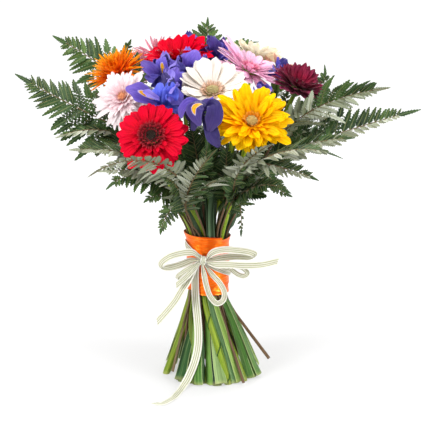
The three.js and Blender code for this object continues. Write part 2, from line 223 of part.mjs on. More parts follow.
// a closed three.js geometry becomes a solid
function solid(geometry) {
  const g = geometry.clone();
  for (const key of Object.keys(g.attributes)) if (key !== "position") g.deleteAttribute(key);
  const m = mergeVertices(g, 1e-4);
  const p = new Float32Array(m.attributes.position.array);
  const src = m.index.array, idx = [];
  for (let i = 0; i < src.length; i += 3) {
    const [a, b, c] = [src[i], src[i + 1], src[i + 2]];
    if (a !== b && b !== c && c !== a) idx.push(a, b, c);
  }
  let s = new wasm.Manifold(new wasm.Mesh({ numProp: 3, vertProperties: p, triVerts: new Uint32Array(idx) }));
  if (s.volume() < 0) {
    for (let i = 0; i < idx.length; i += 3) [idx[i], idx[i + 1]] = [idx[i + 1], idx[i]];
    s = new wasm.Manifold(new wasm.Mesh({ numProp: 3, vertProperties: p, triVerts: new Uint32Array(idx) }));
  }
  return s;
}

function geometryOf(s) {
  const m = s.getMesh();
  const g = new THREE.BufferGeometry();
  const pos = new Float32Array((m.vertProperties.length / m.numProp) * 3);
  for (let i = 0; i < pos.length / 3; i++)
    for (let k = 0; k < 3; k++) pos[3 * i + k] = m.vertProperties[i * m.numProp + k];
  g.setAttribute("position", new THREE.BufferAttribute(pos, 3));
  g.setIndex(new THREE.BufferAttribute(new Uint32Array(m.triVerts), 1));
  g.computeVertexNormals();
  return g;
}

// frames carried along a chain of points without twist; n0 is the first width direction
function framesOf(pts, n0) {
  const out = [];
  let n = null;
  for (let i = 0; i < pts.length; i++) {
    const p = pts[i];
    const before = i > 0 ? p.clone().sub(pts[i - 1]).normalize() : new THREE.Vector3();
    const after = i < pts.length - 1 ? pts[i + 1].clone().sub(p).normalize() : new THREE.Vector3();
    const t = before.add(after).normalize();
    n = (n ?? n0.clone()).clone();
    n.addScaledVector(t, -n.dot(t)).normalize();
    out.push({ p, t, n: n.clone(), b: new THREE.Vector3().crossVectors(t, n) });
  }
  return out;
}

// a capped cylinder bent along a chain of points; radii(p) gives the half widths along n and b
function bentCylinder(pts, sides, n0, radii) {
  const steps = pts.length - 1;
  const g = new THREE.CylinderGeometry(1, 1, 1, sides, steps);
  const fr = framesOf(pts, n0);
  const pos = g.attributes.position;
  for (let i = 0; i < pos.count; i++) {
    const k = Math.round((pos.getY(i) + 0.5) * steps);
    const f = fr[k], [ra, rb] = radii(f.p);
    const q = f.p.clone().addScaledVector(f.n, pos.getX(i) * ra).addScaledVector(f.b, pos.getZ(i) * rb);
    pos.setXYZ(i, q.x, q.y, q.z);
  }
  return g;
}

const lerp = (a, b, t) => a + (b - a) * Math.min(1, Math.max(0, t));
function stemRadius(s, z, topZ) {
  if (z < 100) return lerp(s.foot, s.waist, Math.pow(z / 100, 1.2) || 0);
  return lerp(s.waist, s.neck, (z - 150) / Math.max(1, topZ - 150));
}

// half space below the ground, which trims the cut ends flat
const ground = solid(new THREE.BoxGeometry(600, 600, 40).translate(0, 0, -20));

function stem(spec, s, flatten, grow, sides = STEM_SIDES) {
  const pts = spec.route.map(V);
  const last = pts[pts.length - 1];
  last.addScaledVector(last.clone().sub(pts[pts.length - 2]).normalize(), grow);
  const topZ = last.z;
  const out = new THREE.Vector3(pts[0].x - BASE_CENTRE[0], pts[0].y - BASE_CENTRE[1], 0).normalize();
  const tangential = new THREE.Vector3().crossVectors(UP, out);
  const g = bentCylinder(pts, sides, tangential, (p) => {
    const r = stemRadius(s, p.z, topZ);
    const f = lerp(flatten, 1, p.z / 110);
    return [r + grow, r * f + grow];
  });
  let m = solid(g);
  if (pts[0].z < 0) m = m.subtract(ground);
  return m;
}

// place a shape that stands along +Y so that +Y follows the axis
function placed(geometry, centre, axis, turn = 0) {
  const q = new THREE.Quaternion().setFromUnitVectors(new THREE.Vector3(0, 1, 0), V(axis).normalize());
  geometry.rotateY((turn * Math.PI) / 180);
  geometry.applyQuaternion(q);
  geometry.translate(centre[0], centre[1], centre[2]);
  return geometry;
}

// gerbera head: green cup of bracts, a cupped plate of ray florets and the disc
function gerberaHead(spec, grow) {
  const R = spec.radius, rise = spec.cup * R, k = R / 42;
  const prof = [
    [0, -14.05 - grow], [4.3 * k + grow, -14.05 - grow], [12.5 * k + grow, -4.5 - grow],
    [0.97 * R + grow, rise - 1.6 - grow], [R + grow, rise + 1.2 + grow],
    [0.36 * R, 2.6 + 0.1 * rise + grow], [0.2 * R, 4.4 + grow], [0, 3.6 + grow],
  ].map(([x, y]) => new THREE.Vector2(x, y));
  const g = new THREE.LatheGeometry(prof, HEAD_SIDES);
  const pos = g.attributes.position;
  for (let i = 0; i < pos.count; i++) {
    // every second rim corner is drawn in, as the gaps between rays are
    const x = pos.getX(i), z = pos.getZ(i), r = Math.hypot(x, z);
    if (r > 0.9 * R) {
      const lobe = Math.round((Math.atan2(x, z) / (2 * Math.PI)) * HEAD_SIDES) % 2 !== 0;
      const f = lobe ? 0.88 : 1;
      pos.setX(i, x * f); pos.setZ(i, z * f);
    }
  }
  return solid(placed(g, spec.centre, spec.axis));
}

// a tapered, bent plate: one petal of an iris
function petal(points, widths, thick, grow) {
  const n = points.length - 1;
  const g = new THREE.BoxGeometry(1, 1, 1, 1, 1, n);
  const pos = g.attributes.position;
  for (let i = 0; i < pos.count; i++) {
    const k = Math.round((pos.getZ(i) + 0.5) * n);
    const a = points[Math.max(0, k - 1)], b = points[Math.min(n, k + 1)];
    const t = new THREE.Vector2(b[0] - a[0], b[1] - a[1]).normalize();
    const ends = k === 0 || k === n;
    const th = thick + 2 * grow;
    const off = pos.getY(i) * th;
    const along = ends ? (k === 0 ? -grow : grow) : 0;
    const out = points[k][0] - t.y * off + t.x * along;
    const up = points[k][1] + t.x * off + t.y * along;
    pos.setXYZ(i, pos.getX(i) * (widths[k] + 2 * grow), up, out);
  }
  return g;
}

// iris flower: ovary, three spreading falls and three upright standards
function irisHead(spec, grow) {
  const s = spec.size / 36;
  const core = new THREE.LatheGeometry([
    [0, -14.7 - grow], [3.4 + grow, -14.7 - grow], [5.2 + grow, -4], [2.2 + grow, 14 + grow], [0, 14.5 + grow],
  ].map(([x, y]) => new THREE.Vector2(x, y)), 6);
  let m = solid(placed(core, spec.centre, spec.axis, spec.turn));
  for (let i = 0; i < 3; i++) {
    const fall = petal([[3.4, 2], [20 * s, 9 * s], [33 * s, -3 * s]], [3.6, 19 * s, 8 * s], 2.4, grow);
    m = m.add(solid(placed(fall, spec.centre, spec.axis, spec.turn + 120 * i)));
    const standard = petal([[3.2, 5.5], [8.5 * s, 23 * s], [7 * s, 34 * s]], [2.8, 14 * s, 6 * s], 2.2, grow);
    m = m.add(solid(placed(standard, spec.centre, spec.axis, spec.turn + 60 + 120 * i)));
  }
  return m;
}

// moves every edge of a closed outline outward by d
function offsetOutline(points, d) {
  if (d === 0) return points;
  const n = points.length;
  let area = 0;
  for (let i = 0; i < n; i++) {
    const a = points[i], b = points[(i + 1) % n];
    area += a[0] * b[1] - b[0] * a[1];
  }
  const s = Math.sign(area);
  return points.map((p, i) => {
    const a = points[(i + n - 1) % n], b = points[(i + 1) % n];
    const e1 = new THREE.Vector2(p[0] - a[0], p[1] - a[1]).normalize();
    const e2 = new THREE.Vector2(b[0] - p[0], b[1] - p[1]).normalize();
    const n1 = new THREE.Vector2(e1.y, -e1.x).multiplyScalar(s);
    const n2 = new THREE.Vector2(e2.y, -e2.x).multiplyScalar(s);
    const k = d / Math.max(0.28, 1 + n1.dot(n2));
    return [p[0] + (n1.x + n2.x) * k, p[1] + (n1.y + n2.y) * k];
  });
}

// fern spray: a wiry stalk with fronds whose edges are cut into leaflets
function frond(f, grow) {
  const curve = new THREE.CatmullRomCurve3(f.rachis.map(V), false, "centripetal");
  const length = curve.getLength();
  const pitch = length / (f.pairs + 0.9);
  const w = (t) => f.half * Math.min(1, (1 - t) * 1.25 + 0.02) * Math.min(1, 0.62 + 2.2 * t);
  const side = (sign) => {
    const out = [];
    for (let j = 0; j < f.pairs; j++) {
      const u = (j + 0.35) * pitch;
      const reach = w(u / length);
      out.push([u, sign * (2.2 + 0.1 * reach)]);
      out.push([Math.min(u + pitch * 0.6 + reach * 0.4, length), sign * reach]);
    }
    return out;
  };
  const right = side(1), left = side(-1).reverse();
  const outline = offsetOutline([[-2, 1.2], ...right, [length, 0], ...left, [-2, -1.2]], grow);
  const shape = new THREE.Shape(outline.map(([x, y]) => new THREE.Vector2(x, y)));
  const thick = 1.4 + 2 * grow;
  const g = new THREE.ExtrudeGeometry(shape, { depth: thick, bevelEnabled: false, steps: 1 });
  const pos = g.attributes.position;
  for (let i = 0; i < pos.count; i++) {
    const u = Math.min(1, Math.max(0, pos.getX(i) / length));
    const p = curve.getPointAt(u), t = curve.getTangentAt(u);
    const over = pos.getX(i) - u * length;
    const across = V(f.across);
    across.addScaledVector(t, -across.dot(t)).normalize();
    const n = new THREE.Vector3().crossVectors(t, across);
    const y = pos.getY(i);
    const q = p.addScaledVector(t, over).addScaledVector(across, y)
      .addScaledVector(n, pos.getZ(i) - thick / 2 - 0.0022 * y * y);
    pos.setXYZ(i, q.x, q.y, q.z);
  }
  let m = solid(g);
  return m;
}

function fern(spec, grow) {
  let m = stem(spec, FERN_STIPE, 1, grow, STIPE_SIDES);
  for (const f of spec.fronds) m = m.add(frond(f, grow));
  return m;
}

// satin band: a closed ring that hugs the waist and flares a little at the top
function satinBand(grow) {
  const prof = [
    [BAND.inner - grow, BAND.bottom - grow], [BAND.outer + grow, BAND.bottom - grow], [BAND.outer - 0.2 + grow, WAIST_Z],
    [BAND.outer + grow, 170], [BAND.outer + 0.9 + grow, 176], [BAND.outer + 3.2 + grow, BAND.top + grow],
    [BAND.inner + 3.2 - grow, BAND.top + grow], [BAND.inner + 0.9 - grow, 176], [BAND.inner - grow, 170],
    [BAND.inner - grow, BAND.bottom - grow],
  ].map(([x, y]) => new THREE.Vector2(x, y));
  const g = new THREE.LatheGeometry(prof, 24);
  g.rotateX(Math.PI / 2);
  g.translate(-9, 0, 0);
  return solid(g);
}

// a strip of ribbon along a curve; the width stays as level with the face of the bouquet as it can
function strip(route, width, closed, grow) {
  const curve = new THREE.CatmullRomCurve3(route.map(V), closed, "centripetal");
  const length = curve.getLength();
  const n = Math.max(5, Math.round(length / 17));
  const g = new THREE.BoxGeometry(1, 1, 1, 1, 1, n);
  const pos = g.attributes.position;
  const fr = [];
  let prev = null;
  for (let i = 0; i <= n; i++) {
    const u = i / n;
    const p = curve.getPointAt(u), t = curve.getTangentAt(u);
    const radial = new THREE.Vector3(p.x + 9, p.y, 0).normalize();
    if (p.z < 6) radial.set(0, 0, 1);
    let a = new THREE.Vector3().crossVectors(radial, t);
    if (prev && a.dot(prev) < 0) a.negate();
    if (prev) a.lerp(prev, 0.35);
    a.addScaledVector(t, -a.dot(t)).normalize();
    prev = a.clone();
    fr.push({ p, t, a, n: new THREE.Vector3().crossVectors(t, a) });
  }
  for (let i = 0; i < pos.count; i++) {
    const f = fr[Math.round((pos.getZ(i) + 0.5) * n)];
    const q = f.p.clone().addScaledVector(f.a, pos.getX(i) * (width + 2 * grow))
      .addScaledVector(f.n, pos.getY(i) * (RIBBON_THICK + 2 * grow));
    q.z = Math.max(q.z, 0.3);
    pos.setXYZ(i, q.x, q.y, q.z);
  }
  return solid(g);
}

// the tied ribbon: a slanting turn round the band, a knot, loops and tails
function ribbonBow(grow) {
  const outer = BAND.outer + 0.9;
  const turn = new THREE.LatheGeometry([
    [outer + 0.35 - grow, -4.9 - grow], [outer + 2.0 + grow, -4.9 - grow], [outer + 2.0 + grow, 4.9 + grow],
    [outer + 0.35 - grow, 4.9 + grow], [outer + 0.35 - grow, -4.9 - grow],
  ].map(([x, y]) => new THREE.Vector2(x, y)), 24);
  turn.rotateX(Math.PI / 2);
  const pos = turn.attributes.position;
  const k = RIBBON.knot;
  for (let i = 0; i < pos.count; i++) {
    const x = pos.getX(i) - 9;
    pos.setXYZ(i, x, pos.getY(i), pos.getZ(i) + k[2] - 0.65 * (x - k[0]));
  }
  let m = solid(turn);
  const knot = new THREE.SphereGeometry(1, 8, 6);
  knot.scale(6 + grow, 4.2 + grow, 7 + grow);
  knot.translate(k[0], k[1] - 0.6, k[2]);
  m = m.add(solid(knot));
  for (const s of RIBBON.strips) m = m.add(strip(s.route, s.width, false, grow));
  return m;
}

// ---------------------------------------------------------------- assembly
const bouquet = new THREE.Group();
bouquet.position.set(...CENTRE_SHIFT);

const placedPieces = [];   // grown copies of what is already there, with their boxes

const hits = (a, b) => [0, 1, 2].every((k) => a.min[k] <= b.max[k] && b.min[k] <= a.max[k]);

function largest(s) {
  const parts = s.decompose();
  if (parts.length < 2) return s;
  return parts.reduce((a, b) => (a.volume() > b.volume() ? a : b));
}

// true when no edge is shared by more than two faces once corners closer than a micrometre are one
function cleanSurface(s) {
  const m = s.getMesh(), key = [], seen = new Map(), edges = new Map();
  const count = m.vertProperties.length / m.numProp;
  for (let i = 0; i < count; i++) {
    const k = [0, 1, 2].map((j) => Math.round(m.vertProperties[i * m.numProp + j] * 1000)).join();
    if (!seen.has(k)) seen.set(k, seen.size);
    key.push(seen.get(k));
  }
  for (let i = 0; i < m.triVerts.length; i += 3) {
    const t = [key[m.triVerts[i]], key[m.triVerts[i + 1]], key[m.triVerts[i + 2]]];
    if (t[0] === t[1] || t[1] === t[2] || t[2] === t[0]) continue;
    for (let j = 0; j < 3; j++) {
      const a = t[j], b = t[(j + 1) % 3], e = a < b ? `${a},${b}` : `${b},${a}`;
      edges.set(e, (edges.get(e) ?? 0) + 1);
    }
  }
  return [...edges.values()].every((n) => n === 2);
}

// a piece gives way to what is already there; if its cut surface touches itself,
// the piece is grown and moved by a few hundredths of a millimetre and cut again
function addPiece(name, make, material) {
  let s;
  for (let tries = 0; tries < 8; tries++) {
    const d = 0.02 * tries;
    s = make(0.6 * d).translate([d, -0.6 * d, 0]);
    const box = s.boundingBox();
    for (const q of placedPieces) if (hits(box, q.box)) s = s.subtract(q.grown);
    s = largest(s);
    s = largest(s.asOriginal().simplify(0.05));
    if (cleanSurface(s)) break;
  }
  const grown = make(name.startsWith("fern") ? 1.3 * GAP : GAP + 0.02);
  placedPieces.push({ name, grown, box: grown.boundingBox() });
  const mesh = new THREE.Mesh(geometryOf(s), material);
  mesh.name = name;
  bouquet.add(mesh);
}

const mat = (color, roughness) => new THREE.MeshStandardMaterial({ color, roughness, metalness: 0 });

addPiece("satin_band", satinBand, mat("#f4661a", 0.35));
for (const g of GERBERAS) addPiece(`gerbera_${g.name}_stem`, (e) => stem(g, GERBERA_STEM, 1, e), mat("#7da23a", 0.6));
for (const r of IRISES) addPiece(`iris_${r.name}_stem`, (e) => stem(r, IRIS_STEM, IRIS_FLATTEN, e), mat("#4f7d52", 0.55));
for (const g of GERBERAS) addPiece(`gerbera_${g.name}_bloom`, (e) => gerberaHead(g, e), mat(g.colour, 0.65));
for (const r of IRISES) addPiece(`iris_${r.name}_bloom`, (e) => irisHead(r, e), mat("#4a3aa8", 0.6));
for (const f of FERNS) addPiece(`fern_${f.name}`, (e) => fern(f, e), mat("#3f5f35", 0.7));
addPiece("striped_ribbon_bow", ribbonBow, mat("#e9ead2", 0.6));

export default bouquet;
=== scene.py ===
import json
import math

import bpy
import numpy as np
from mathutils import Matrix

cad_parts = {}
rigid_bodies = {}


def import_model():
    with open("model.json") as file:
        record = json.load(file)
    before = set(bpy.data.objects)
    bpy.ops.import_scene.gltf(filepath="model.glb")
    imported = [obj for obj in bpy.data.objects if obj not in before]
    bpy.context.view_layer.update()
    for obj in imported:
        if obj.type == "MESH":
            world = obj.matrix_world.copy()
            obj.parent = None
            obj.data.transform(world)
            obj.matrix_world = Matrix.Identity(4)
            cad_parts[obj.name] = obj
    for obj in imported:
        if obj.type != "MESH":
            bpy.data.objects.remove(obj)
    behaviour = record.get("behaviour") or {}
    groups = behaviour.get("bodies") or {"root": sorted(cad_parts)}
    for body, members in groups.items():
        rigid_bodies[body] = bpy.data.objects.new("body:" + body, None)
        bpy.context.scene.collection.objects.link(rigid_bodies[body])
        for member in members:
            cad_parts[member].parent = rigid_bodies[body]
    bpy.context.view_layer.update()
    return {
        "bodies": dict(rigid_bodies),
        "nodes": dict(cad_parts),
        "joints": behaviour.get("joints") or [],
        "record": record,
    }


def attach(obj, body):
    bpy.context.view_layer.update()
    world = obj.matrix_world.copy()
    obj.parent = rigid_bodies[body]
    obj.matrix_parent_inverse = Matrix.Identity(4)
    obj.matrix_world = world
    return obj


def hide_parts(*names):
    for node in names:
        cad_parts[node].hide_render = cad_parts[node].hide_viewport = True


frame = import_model()

# ------------------------------------------------------------------ tables
# Millimetres. Routes run from the cut end up. Each head has its centre and the
# direction that it faces, each frond its rachis and its upper side's direction.
BASE = (-8.3, -8.1)
BAND = (-12.3, -8.1)
GERBERAS = [
    dict(name="red_front", P=(-76.1, -120.1, 322), n=(-0.1, -0.882, 0.461), R=41.4, cup=0.14,
         route=[(34.5, -52.3, -5), (31.3, -49.4, 3.4), (28, -46.7, 11.8), (24.6, -43.9, 20.2), (21.2, -41.2, 28.5), (17.6, -38.6, 36.9), (14.1, -36.1, 45.3), (10.5, -33.6, 53.6), (7.2, -31.2, 62.1), (4.1, -28.7, 70.7), (1.5, -26.3, 79.4), (-0.7, -24.2, 88.4), (-2.5, -22.8, 97.5), (-4, -22.1, 106.8), (-5.2, -21.9, 116.2), (-6.3, -21.6, 125.5), (-7.4, -21.2, 134.9), (-8.5, -21, 144.3), (-10, -21.4, 153.6), (-11.8, -22.3, 162.8), (-13.8, -23.9, 171.9), (-16.1, -26.1, 180.8), (-18.8, -29.1, 189.3), (-21.9, -32.8, 197.3), (-25.4, -36.9, 205.1), (-29, -41.2, 212.7), (-32.7, -45.6, 220.2), (-36.3, -50, 227.7), (-40, -54.3, 235.3), (-43.6, -58.5, 242.9), (-47.3, -62.7, 250.5), (-50.9, -66.8, 258.2), (-54.6, -70.9, 265.8), (-58.2, -75, 273.6), (-61.8, -79, 281.3), (-65.4, -83.1, 289), (-68.8, -87.4, 296.7), (-71.5, -92.9, 303.8), (-73.4, -99.7, 310.1), (-74.7, -107.4, 315.3)]),
    dict(name="yellow", P=(39, -106.1, 335.4), n=(0.06, -0.759, 0.649), R=45.7, cup=0.30,
         route=[(51.2, -11.7, -5), (46.8, -12.3, 3.3), (42.5, -12.9, 11.6), (38.2, -13.4, 19.9), (33.8, -14, 28.2), (29.5, -14.5, 36.4), (25.1, -14.9, 44.7), (20.8, -15, 53), (16.5, -14.9, 61.4), (12.4, -14.4, 69.8), (8.5, -13.7, 78.3), (5.1, -13.2, 87), (2.4, -13.1, 95.9), (0.9, -13.7, 105.1), (0, -14.7, 114.4), (-0.5, -15.7, 123.7), (-0.5, -16.6, 133), (-0.1, -17.2, 142.4), (0.7, -17.6, 151.7), (1.8, -18.1, 161), (3.2, -19.3, 170.2), (4.8, -21.4, 179.1), (6.6, -24.4, 187.8), (8.6, -27.9, 196.3), (10.7, -31.7, 204.6), (12.7, -35.5, 212.9), (14.7, -39.4, 221.2), (16.7, -43.3, 229.5), (18.6, -47.2, 237.8), (20.6, -51.1, 246.1), (22.5, -55, 254.4), (24.3, -58.9, 262.7), (26.2, -62.7, 271.1), (28, -66.5, 279.4), (29.9, -70.2, 287.8), (31.7, -74.1, 296.2), (33.6, -78.1, 304.4), (35.4, -83, 312.2), (37, -88.7, 319.4), (38.1, -95.2, 326.1)]),
    dict(name="white", P=(-6.3, -50.1, 363.2), n=(0.04, -0.582, 0.812), R=40.6, cup=0.26,
         route=[(1.1, -33.6, -5), (0.2, -31.7, 4.1), (-0.8, -29.8, 13.1), (-1.7, -27.8, 22.2), (-2.7, -25.9, 31.3), (-3.6, -23.9, 40.3), (-4.6, -22, 49.4), (-5.5, -19.9, 58.4), (-6.5, -17.9, 67.5), (-7.3, -15.9, 76.5), (-8.1, -13.9, 85.6), (-8.6, -12.2, 94.7), (-8.9, -10.8, 103.9), (-8.9, -9.7, 113.2), (-8.8, -9, 122.5), (-8.8, -8.5, 131.8), (-8.8, -8.3, 141.1), (-8.8, -8.5, 150.4), (-8.8, -9.2, 159.7), (-8.8, -10.4, 168.9), (-8.8, -11.7, 178.2), (-8.7, -13.2, 187.4), (-8.7, -14.7, 196.6), (-8.6, -16.1, 205.8), (-8.5, -17.5, 215), (-8.4, -18.8, 224.2), (-8.4, -20.1, 233.4), (-8.3, -21.3, 242.7), (-8.2, -22.4, 251.9), (-8.2, -23.5, 261.2), (-8.2, -24.5, 270.4), (-8.1, -25.5, 279.7), (-8.1, -26.5, 288.9), (-8.1, -27.4, 298.2), (-8.1, -28.4, 307.5), (-8, -29.4, 316.7), (-7.9, -31, 325.9), (-7.6, -33.5, 334.9), (-7.3, -37.1, 343.5), (-6.9, -41.7, 351.5)]),
    dict(name="light_pink", P=(-110.7, -70.1, 359.4), n=(-0.385, -0.771, 0.507), R=38.3, cup=0.12,
         route=[(14.3, -63.8, -5), (11.8, -61.8, 4.5), (9.2, -59.7, 14), (6.7, -57.5, 23.5), (4, -55.1, 32.8), (1.3, -52.4, 42.1), (-1.7, -49.4, 51.2), (-4.7, -46, 60.2), (-7.7, -42.3, 69), (-10.6, -38.3, 77.8), (-13.1, -34.2, 86.6), (-15.4, -30.3, 95.6), (-17.2, -26.9, 104.8), (-18.8, -24.2, 114.4), (-20.6, -22.3, 124.1), (-22.5, -20.9, 133.8), (-24.3, -19.9, 143.6), (-26.2, -19.5, 153.5), (-28, -19.3, 163.4), (-30, -19.6, 173.2), (-32.5, -20.2, 182.9), (-35.7, -21.5, 192.4), (-39.4, -23.1, 201.6), (-43.3, -24.8, 210.7), (-47.2, -26.5, 219.7), (-51.1, -28.2, 228.8), (-55, -29.9, 237.9), (-58.9, -31.5, 247), (-62.8, -33.1, 256.2), (-66.6, -34.6, 265.3), (-70.4, -36, 274.5), (-74.2, -37.4, 283.7), (-77.9, -38.8, 292.9), (-81.6, -40.1, 302.2), (-85.3, -41.3, 311.4), (-89, -42.6, 320.7), (-92.7, -44.1, 329.9), (-96.7, -47, 338.6), (-101, -52.2, 346), (-105.1, -59, 352.1)]),
    dict(name="orange", P=(-122.6, -12.1, 381.2), n=(-0.482, -0.301, 0.823), R=37.7, cup=0.42,
         route=[(-13.6, -61, -5), (-16.2, -56.4, 3.9), (-18.8, -52, 12.9), (-21.7, -47.8, 21.9), (-24.7, -44, 31), (-27.6, -40.4, 40.3), (-30.1, -37, 49.7), (-32, -33.5, 59.3), (-32.6, -30.1, 69), (-32.2, -26.9, 78.8), (-30.9, -23.8, 88.6), (-29.5, -20.9, 98.5), (-28.4, -18.4, 108.4), (-27.9, -16.2, 118.5), (-28.2, -14.3, 128.7), (-29.2, -12.7, 138.9), (-30.6, -11.4, 149), (-32, -10.3, 159.2), (-33.5, -9.4, 169.4), (-35.3, -8.8, 179.6), (-38.2, -8.5, 189.5), (-41.9, -8.3, 199.2), (-46.1, -8.2, 208.6), (-50.3, -8.1, 218.1), (-54.5, -7.9, 227.5), (-58.7, -7.8, 237), (-62.9, -7.6, 246.4), (-67, -7.4, 255.9), (-71.1, -7.1, 265.4), (-75.1, -6.7, 275), (-79, -6.3, 284.5), (-82.9, -5.9, 294.1), (-86.6, -5.4, 303.7), (-90.4, -4.9, 313.4), (-94.1, -4.4, 323), (-97.8, -3.8, 332.6), (-101.6, -3.4, 342.3), (-105.8, -3.7, 351.7), (-110.7, -5.3, 360.7), (-115.7, -7.8, 369.4)]),
    dict(name="red_back", P=(-49.5, 33.9, 393.7), n=(-0.12, -0.14, 0.983), R=42.4, cup=0.34,
         route=[(-67.2, -24.2, -5), (-63.6, -22.6, 4.4), (-60, -21, 13.9), (-56.3, -19.4, 23.3), (-52.6, -17.8, 32.7), (-48.8, -16, 42), (-44.9, -14.3, 51.3), (-40.9, -12.6, 60.6), (-36.9, -11.1, 69.8), (-32.9, -10, 79.2), (-29.5, -9.1, 88.8), (-27, -8, 98.7), (-25.6, -6.6, 108.7), (-24.8, -4.9, 118.7), (-24.3, -3.2, 128.8), (-23.9, -1.6, 138.9), (-23.5, -0.1, 149), (-23.2, 1.3, 159.1), (-23, 2.6, 169.3), (-23.2, 4.1, 179.4), (-23.9, 5.6, 189.5), (-25.1, 7.3, 199.5), (-26.5, 9.1, 209.5), (-27.9, 10.8, 219.5), (-29.3, 12.7, 229.4), (-30.7, 14.5, 239.4), (-32.1, 16.4, 249.4), (-33.4, 18.2, 259.3), (-34.6, 20.1, 269.3), (-35.8, 22, 279.3), (-37, 23.9, 289.3), (-38.2, 25.7, 299.3), (-39.3, 27.6, 309.3), (-40.3, 29.5, 319.3), (-41.4, 31.3, 329.3), (-42.5, 33.2, 339.3), (-43.6, 34.9, 349.3), (-44.9, 36.2, 359.3), (-46.3, 36.5, 369.5), (-47.8, 35.9, 379.6)]),
    dict(name="pink_right", P=(38.5, 5.9, 383.3), n=(0.341, -0.261, 0.903), R=41.8, cup=0.26,
         route=[(5.1, 15.1, -5), (4.3, 13.8, 4.6), (3.5, 12.6, 14.3), (2.7, 11.3, 23.9), (1.9, 10.1, 33.6), (1, 8.8, 43.2), (0, 7.6, 52.9), (-0.9, 6.3, 62.5), (-1.9, 5.1, 72.1), (-2.8, 3.9, 81.8), (-3.4, 2.8, 91.4), (-3.8, 1.9, 101.2), (-3.7, 1.2, 110.9), (-3.4, 0.7, 120.6), (-3.1, 0.2, 130.4), (-2.7, -0.3, 140.1), (-2.3, -0.8, 149.9), (-1.9, -1.1, 159.6), (-1.2, -1.1, 169.3), (-0.1, -0.8, 179), (1.2, -0.2, 188.7), (2.7, 0.6, 198.3), (4.2, 1.5, 207.9), (5.7, 2.4, 217.5), (7.3, 3.2, 227.1), (8.8, 4.1, 236.7), (10.3, 5, 246.3), (11.8, 5.8, 255.9), (13.3, 6.6, 265.5), (14.8, 7.4, 275.1), (16.3, 8.2, 284.7), (17.8, 8.9, 294.4), (19.3, 9.6, 304), (20.8, 10.3, 313.6), (22.2, 11, 323.2), (23.7, 11.6, 332.8), (25.5, 12.1, 342.4), (27.7, 12.1, 351.9), (30.5, 11.4, 361.3), (33.6, 9.7, 370.3)]),
    dict(name="burgundy", P=(97.1, -16.1, 365.9), n=(0.343, -0.242, 0.908), R=32.3, cup=0.38,
         route=[(39.1, 28.7, -5), (36, 26.7, 4.2), (33, 24.7, 13.4), (29.9, 22.7, 22.5), (26.9, 20.6, 31.7), (23.8, 18.6, 40.9), (20.6, 16.5, 50), (17.5, 14.5, 59.1), (14.5, 12.3, 68.3), (11.6, 10, 77.4), (8.8, 7.5, 86.6), (6.5, 5.3, 95.9), (5.6, 4, 105.7), (5.6, 3.2, 115.5), (6, 2.5, 125.4), (6.6, 1.5, 135.2), (7.2, 0.2, 144.9), (7.8, -1.3, 154.7), (8.4, -2.8, 164.4), (9.6, -4.1, 174.2), (11.8, -5, 183.7), (15.2, -5.5, 193), (19.4, -5.8, 201.9), (23.9, -6, 210.7), (28.5, -6.2, 219.5), (33, -6.3, 228.2), (37.5, -6.5, 237), (42, -6.6, 245.8), (46.5, -6.8, 254.6), (50.9, -7, 263.5), (55.2, -7.2, 272.3), (59.5, -7.4, 281.2), (63.7, -7.6, 290.2), (67.8, -7.9, 299.1), (72, -8.2, 308.1), (76.1, -8.4, 317.1), (80.2, -8.8, 326), (84.4, -9.5, 335), (88.4, -10.7, 343.9), (92.2, -12.6, 352.8)]),
    dict(name="pink_back", P=(-74.2, 87.9, 387), n=(-0.3, 0.52, 0.8), R=42.5, cup=0.20,
         route=[(-61.5, -4.6, -5), (-58.9, -4.4, 5), (-56.3, -4.2, 15), (-53.8, -4, 25), (-51.2, -3.9, 35), (-48.7, -3.8, 45), (-46.1, -3.8, 55), (-43.5, -3.8, 65), (-40.8, -4, 75), (-38, -4.2, 84.9), (-35.2, -4.3, 94.8), (-33.5, -4, 105), (-32.9, -3.3, 115.3), (-32.6, -2.3, 125.6), (-32.3, -1.2, 135.8), (-31.9, -0.1, 146.1), (-31.4, 1.2, 156.3), (-30.9, 2.7, 166.5), (-30.9, 4.7, 176.6), (-31.7, 7.4, 186.6), (-33.3, 10.8, 196.2), (-35.2, 14.4, 205.7), (-37.1, 18, 215.1), (-39.1, 21.6, 224.6), (-41.1, 25.3, 234.1), (-43, 28.9, 243.5), (-44.9, 32.5, 253), (-46.8, 36.1, 262.5), (-48.6, 39.6, 272), (-50.4, 43.1, 281.6), (-52.1, 46.6, 291.2), (-53.7, 50, 300.8), (-55.3, 53.4, 310.4), (-56.9, 56.8, 320), (-58.5, 60.2, 329.6), (-60, 63.5, 339.3), (-61.7, 67, 348.9), (-63.9, 70.8, 358.2), (-66.7, 75.4, 367), (-69.8, 80.4, 375.5)]),
    dict(name="cream", P=(46.7, 79.9, 389.2), n=(0.2, 0.34, 0.919), R=42.3, cup=0.20,
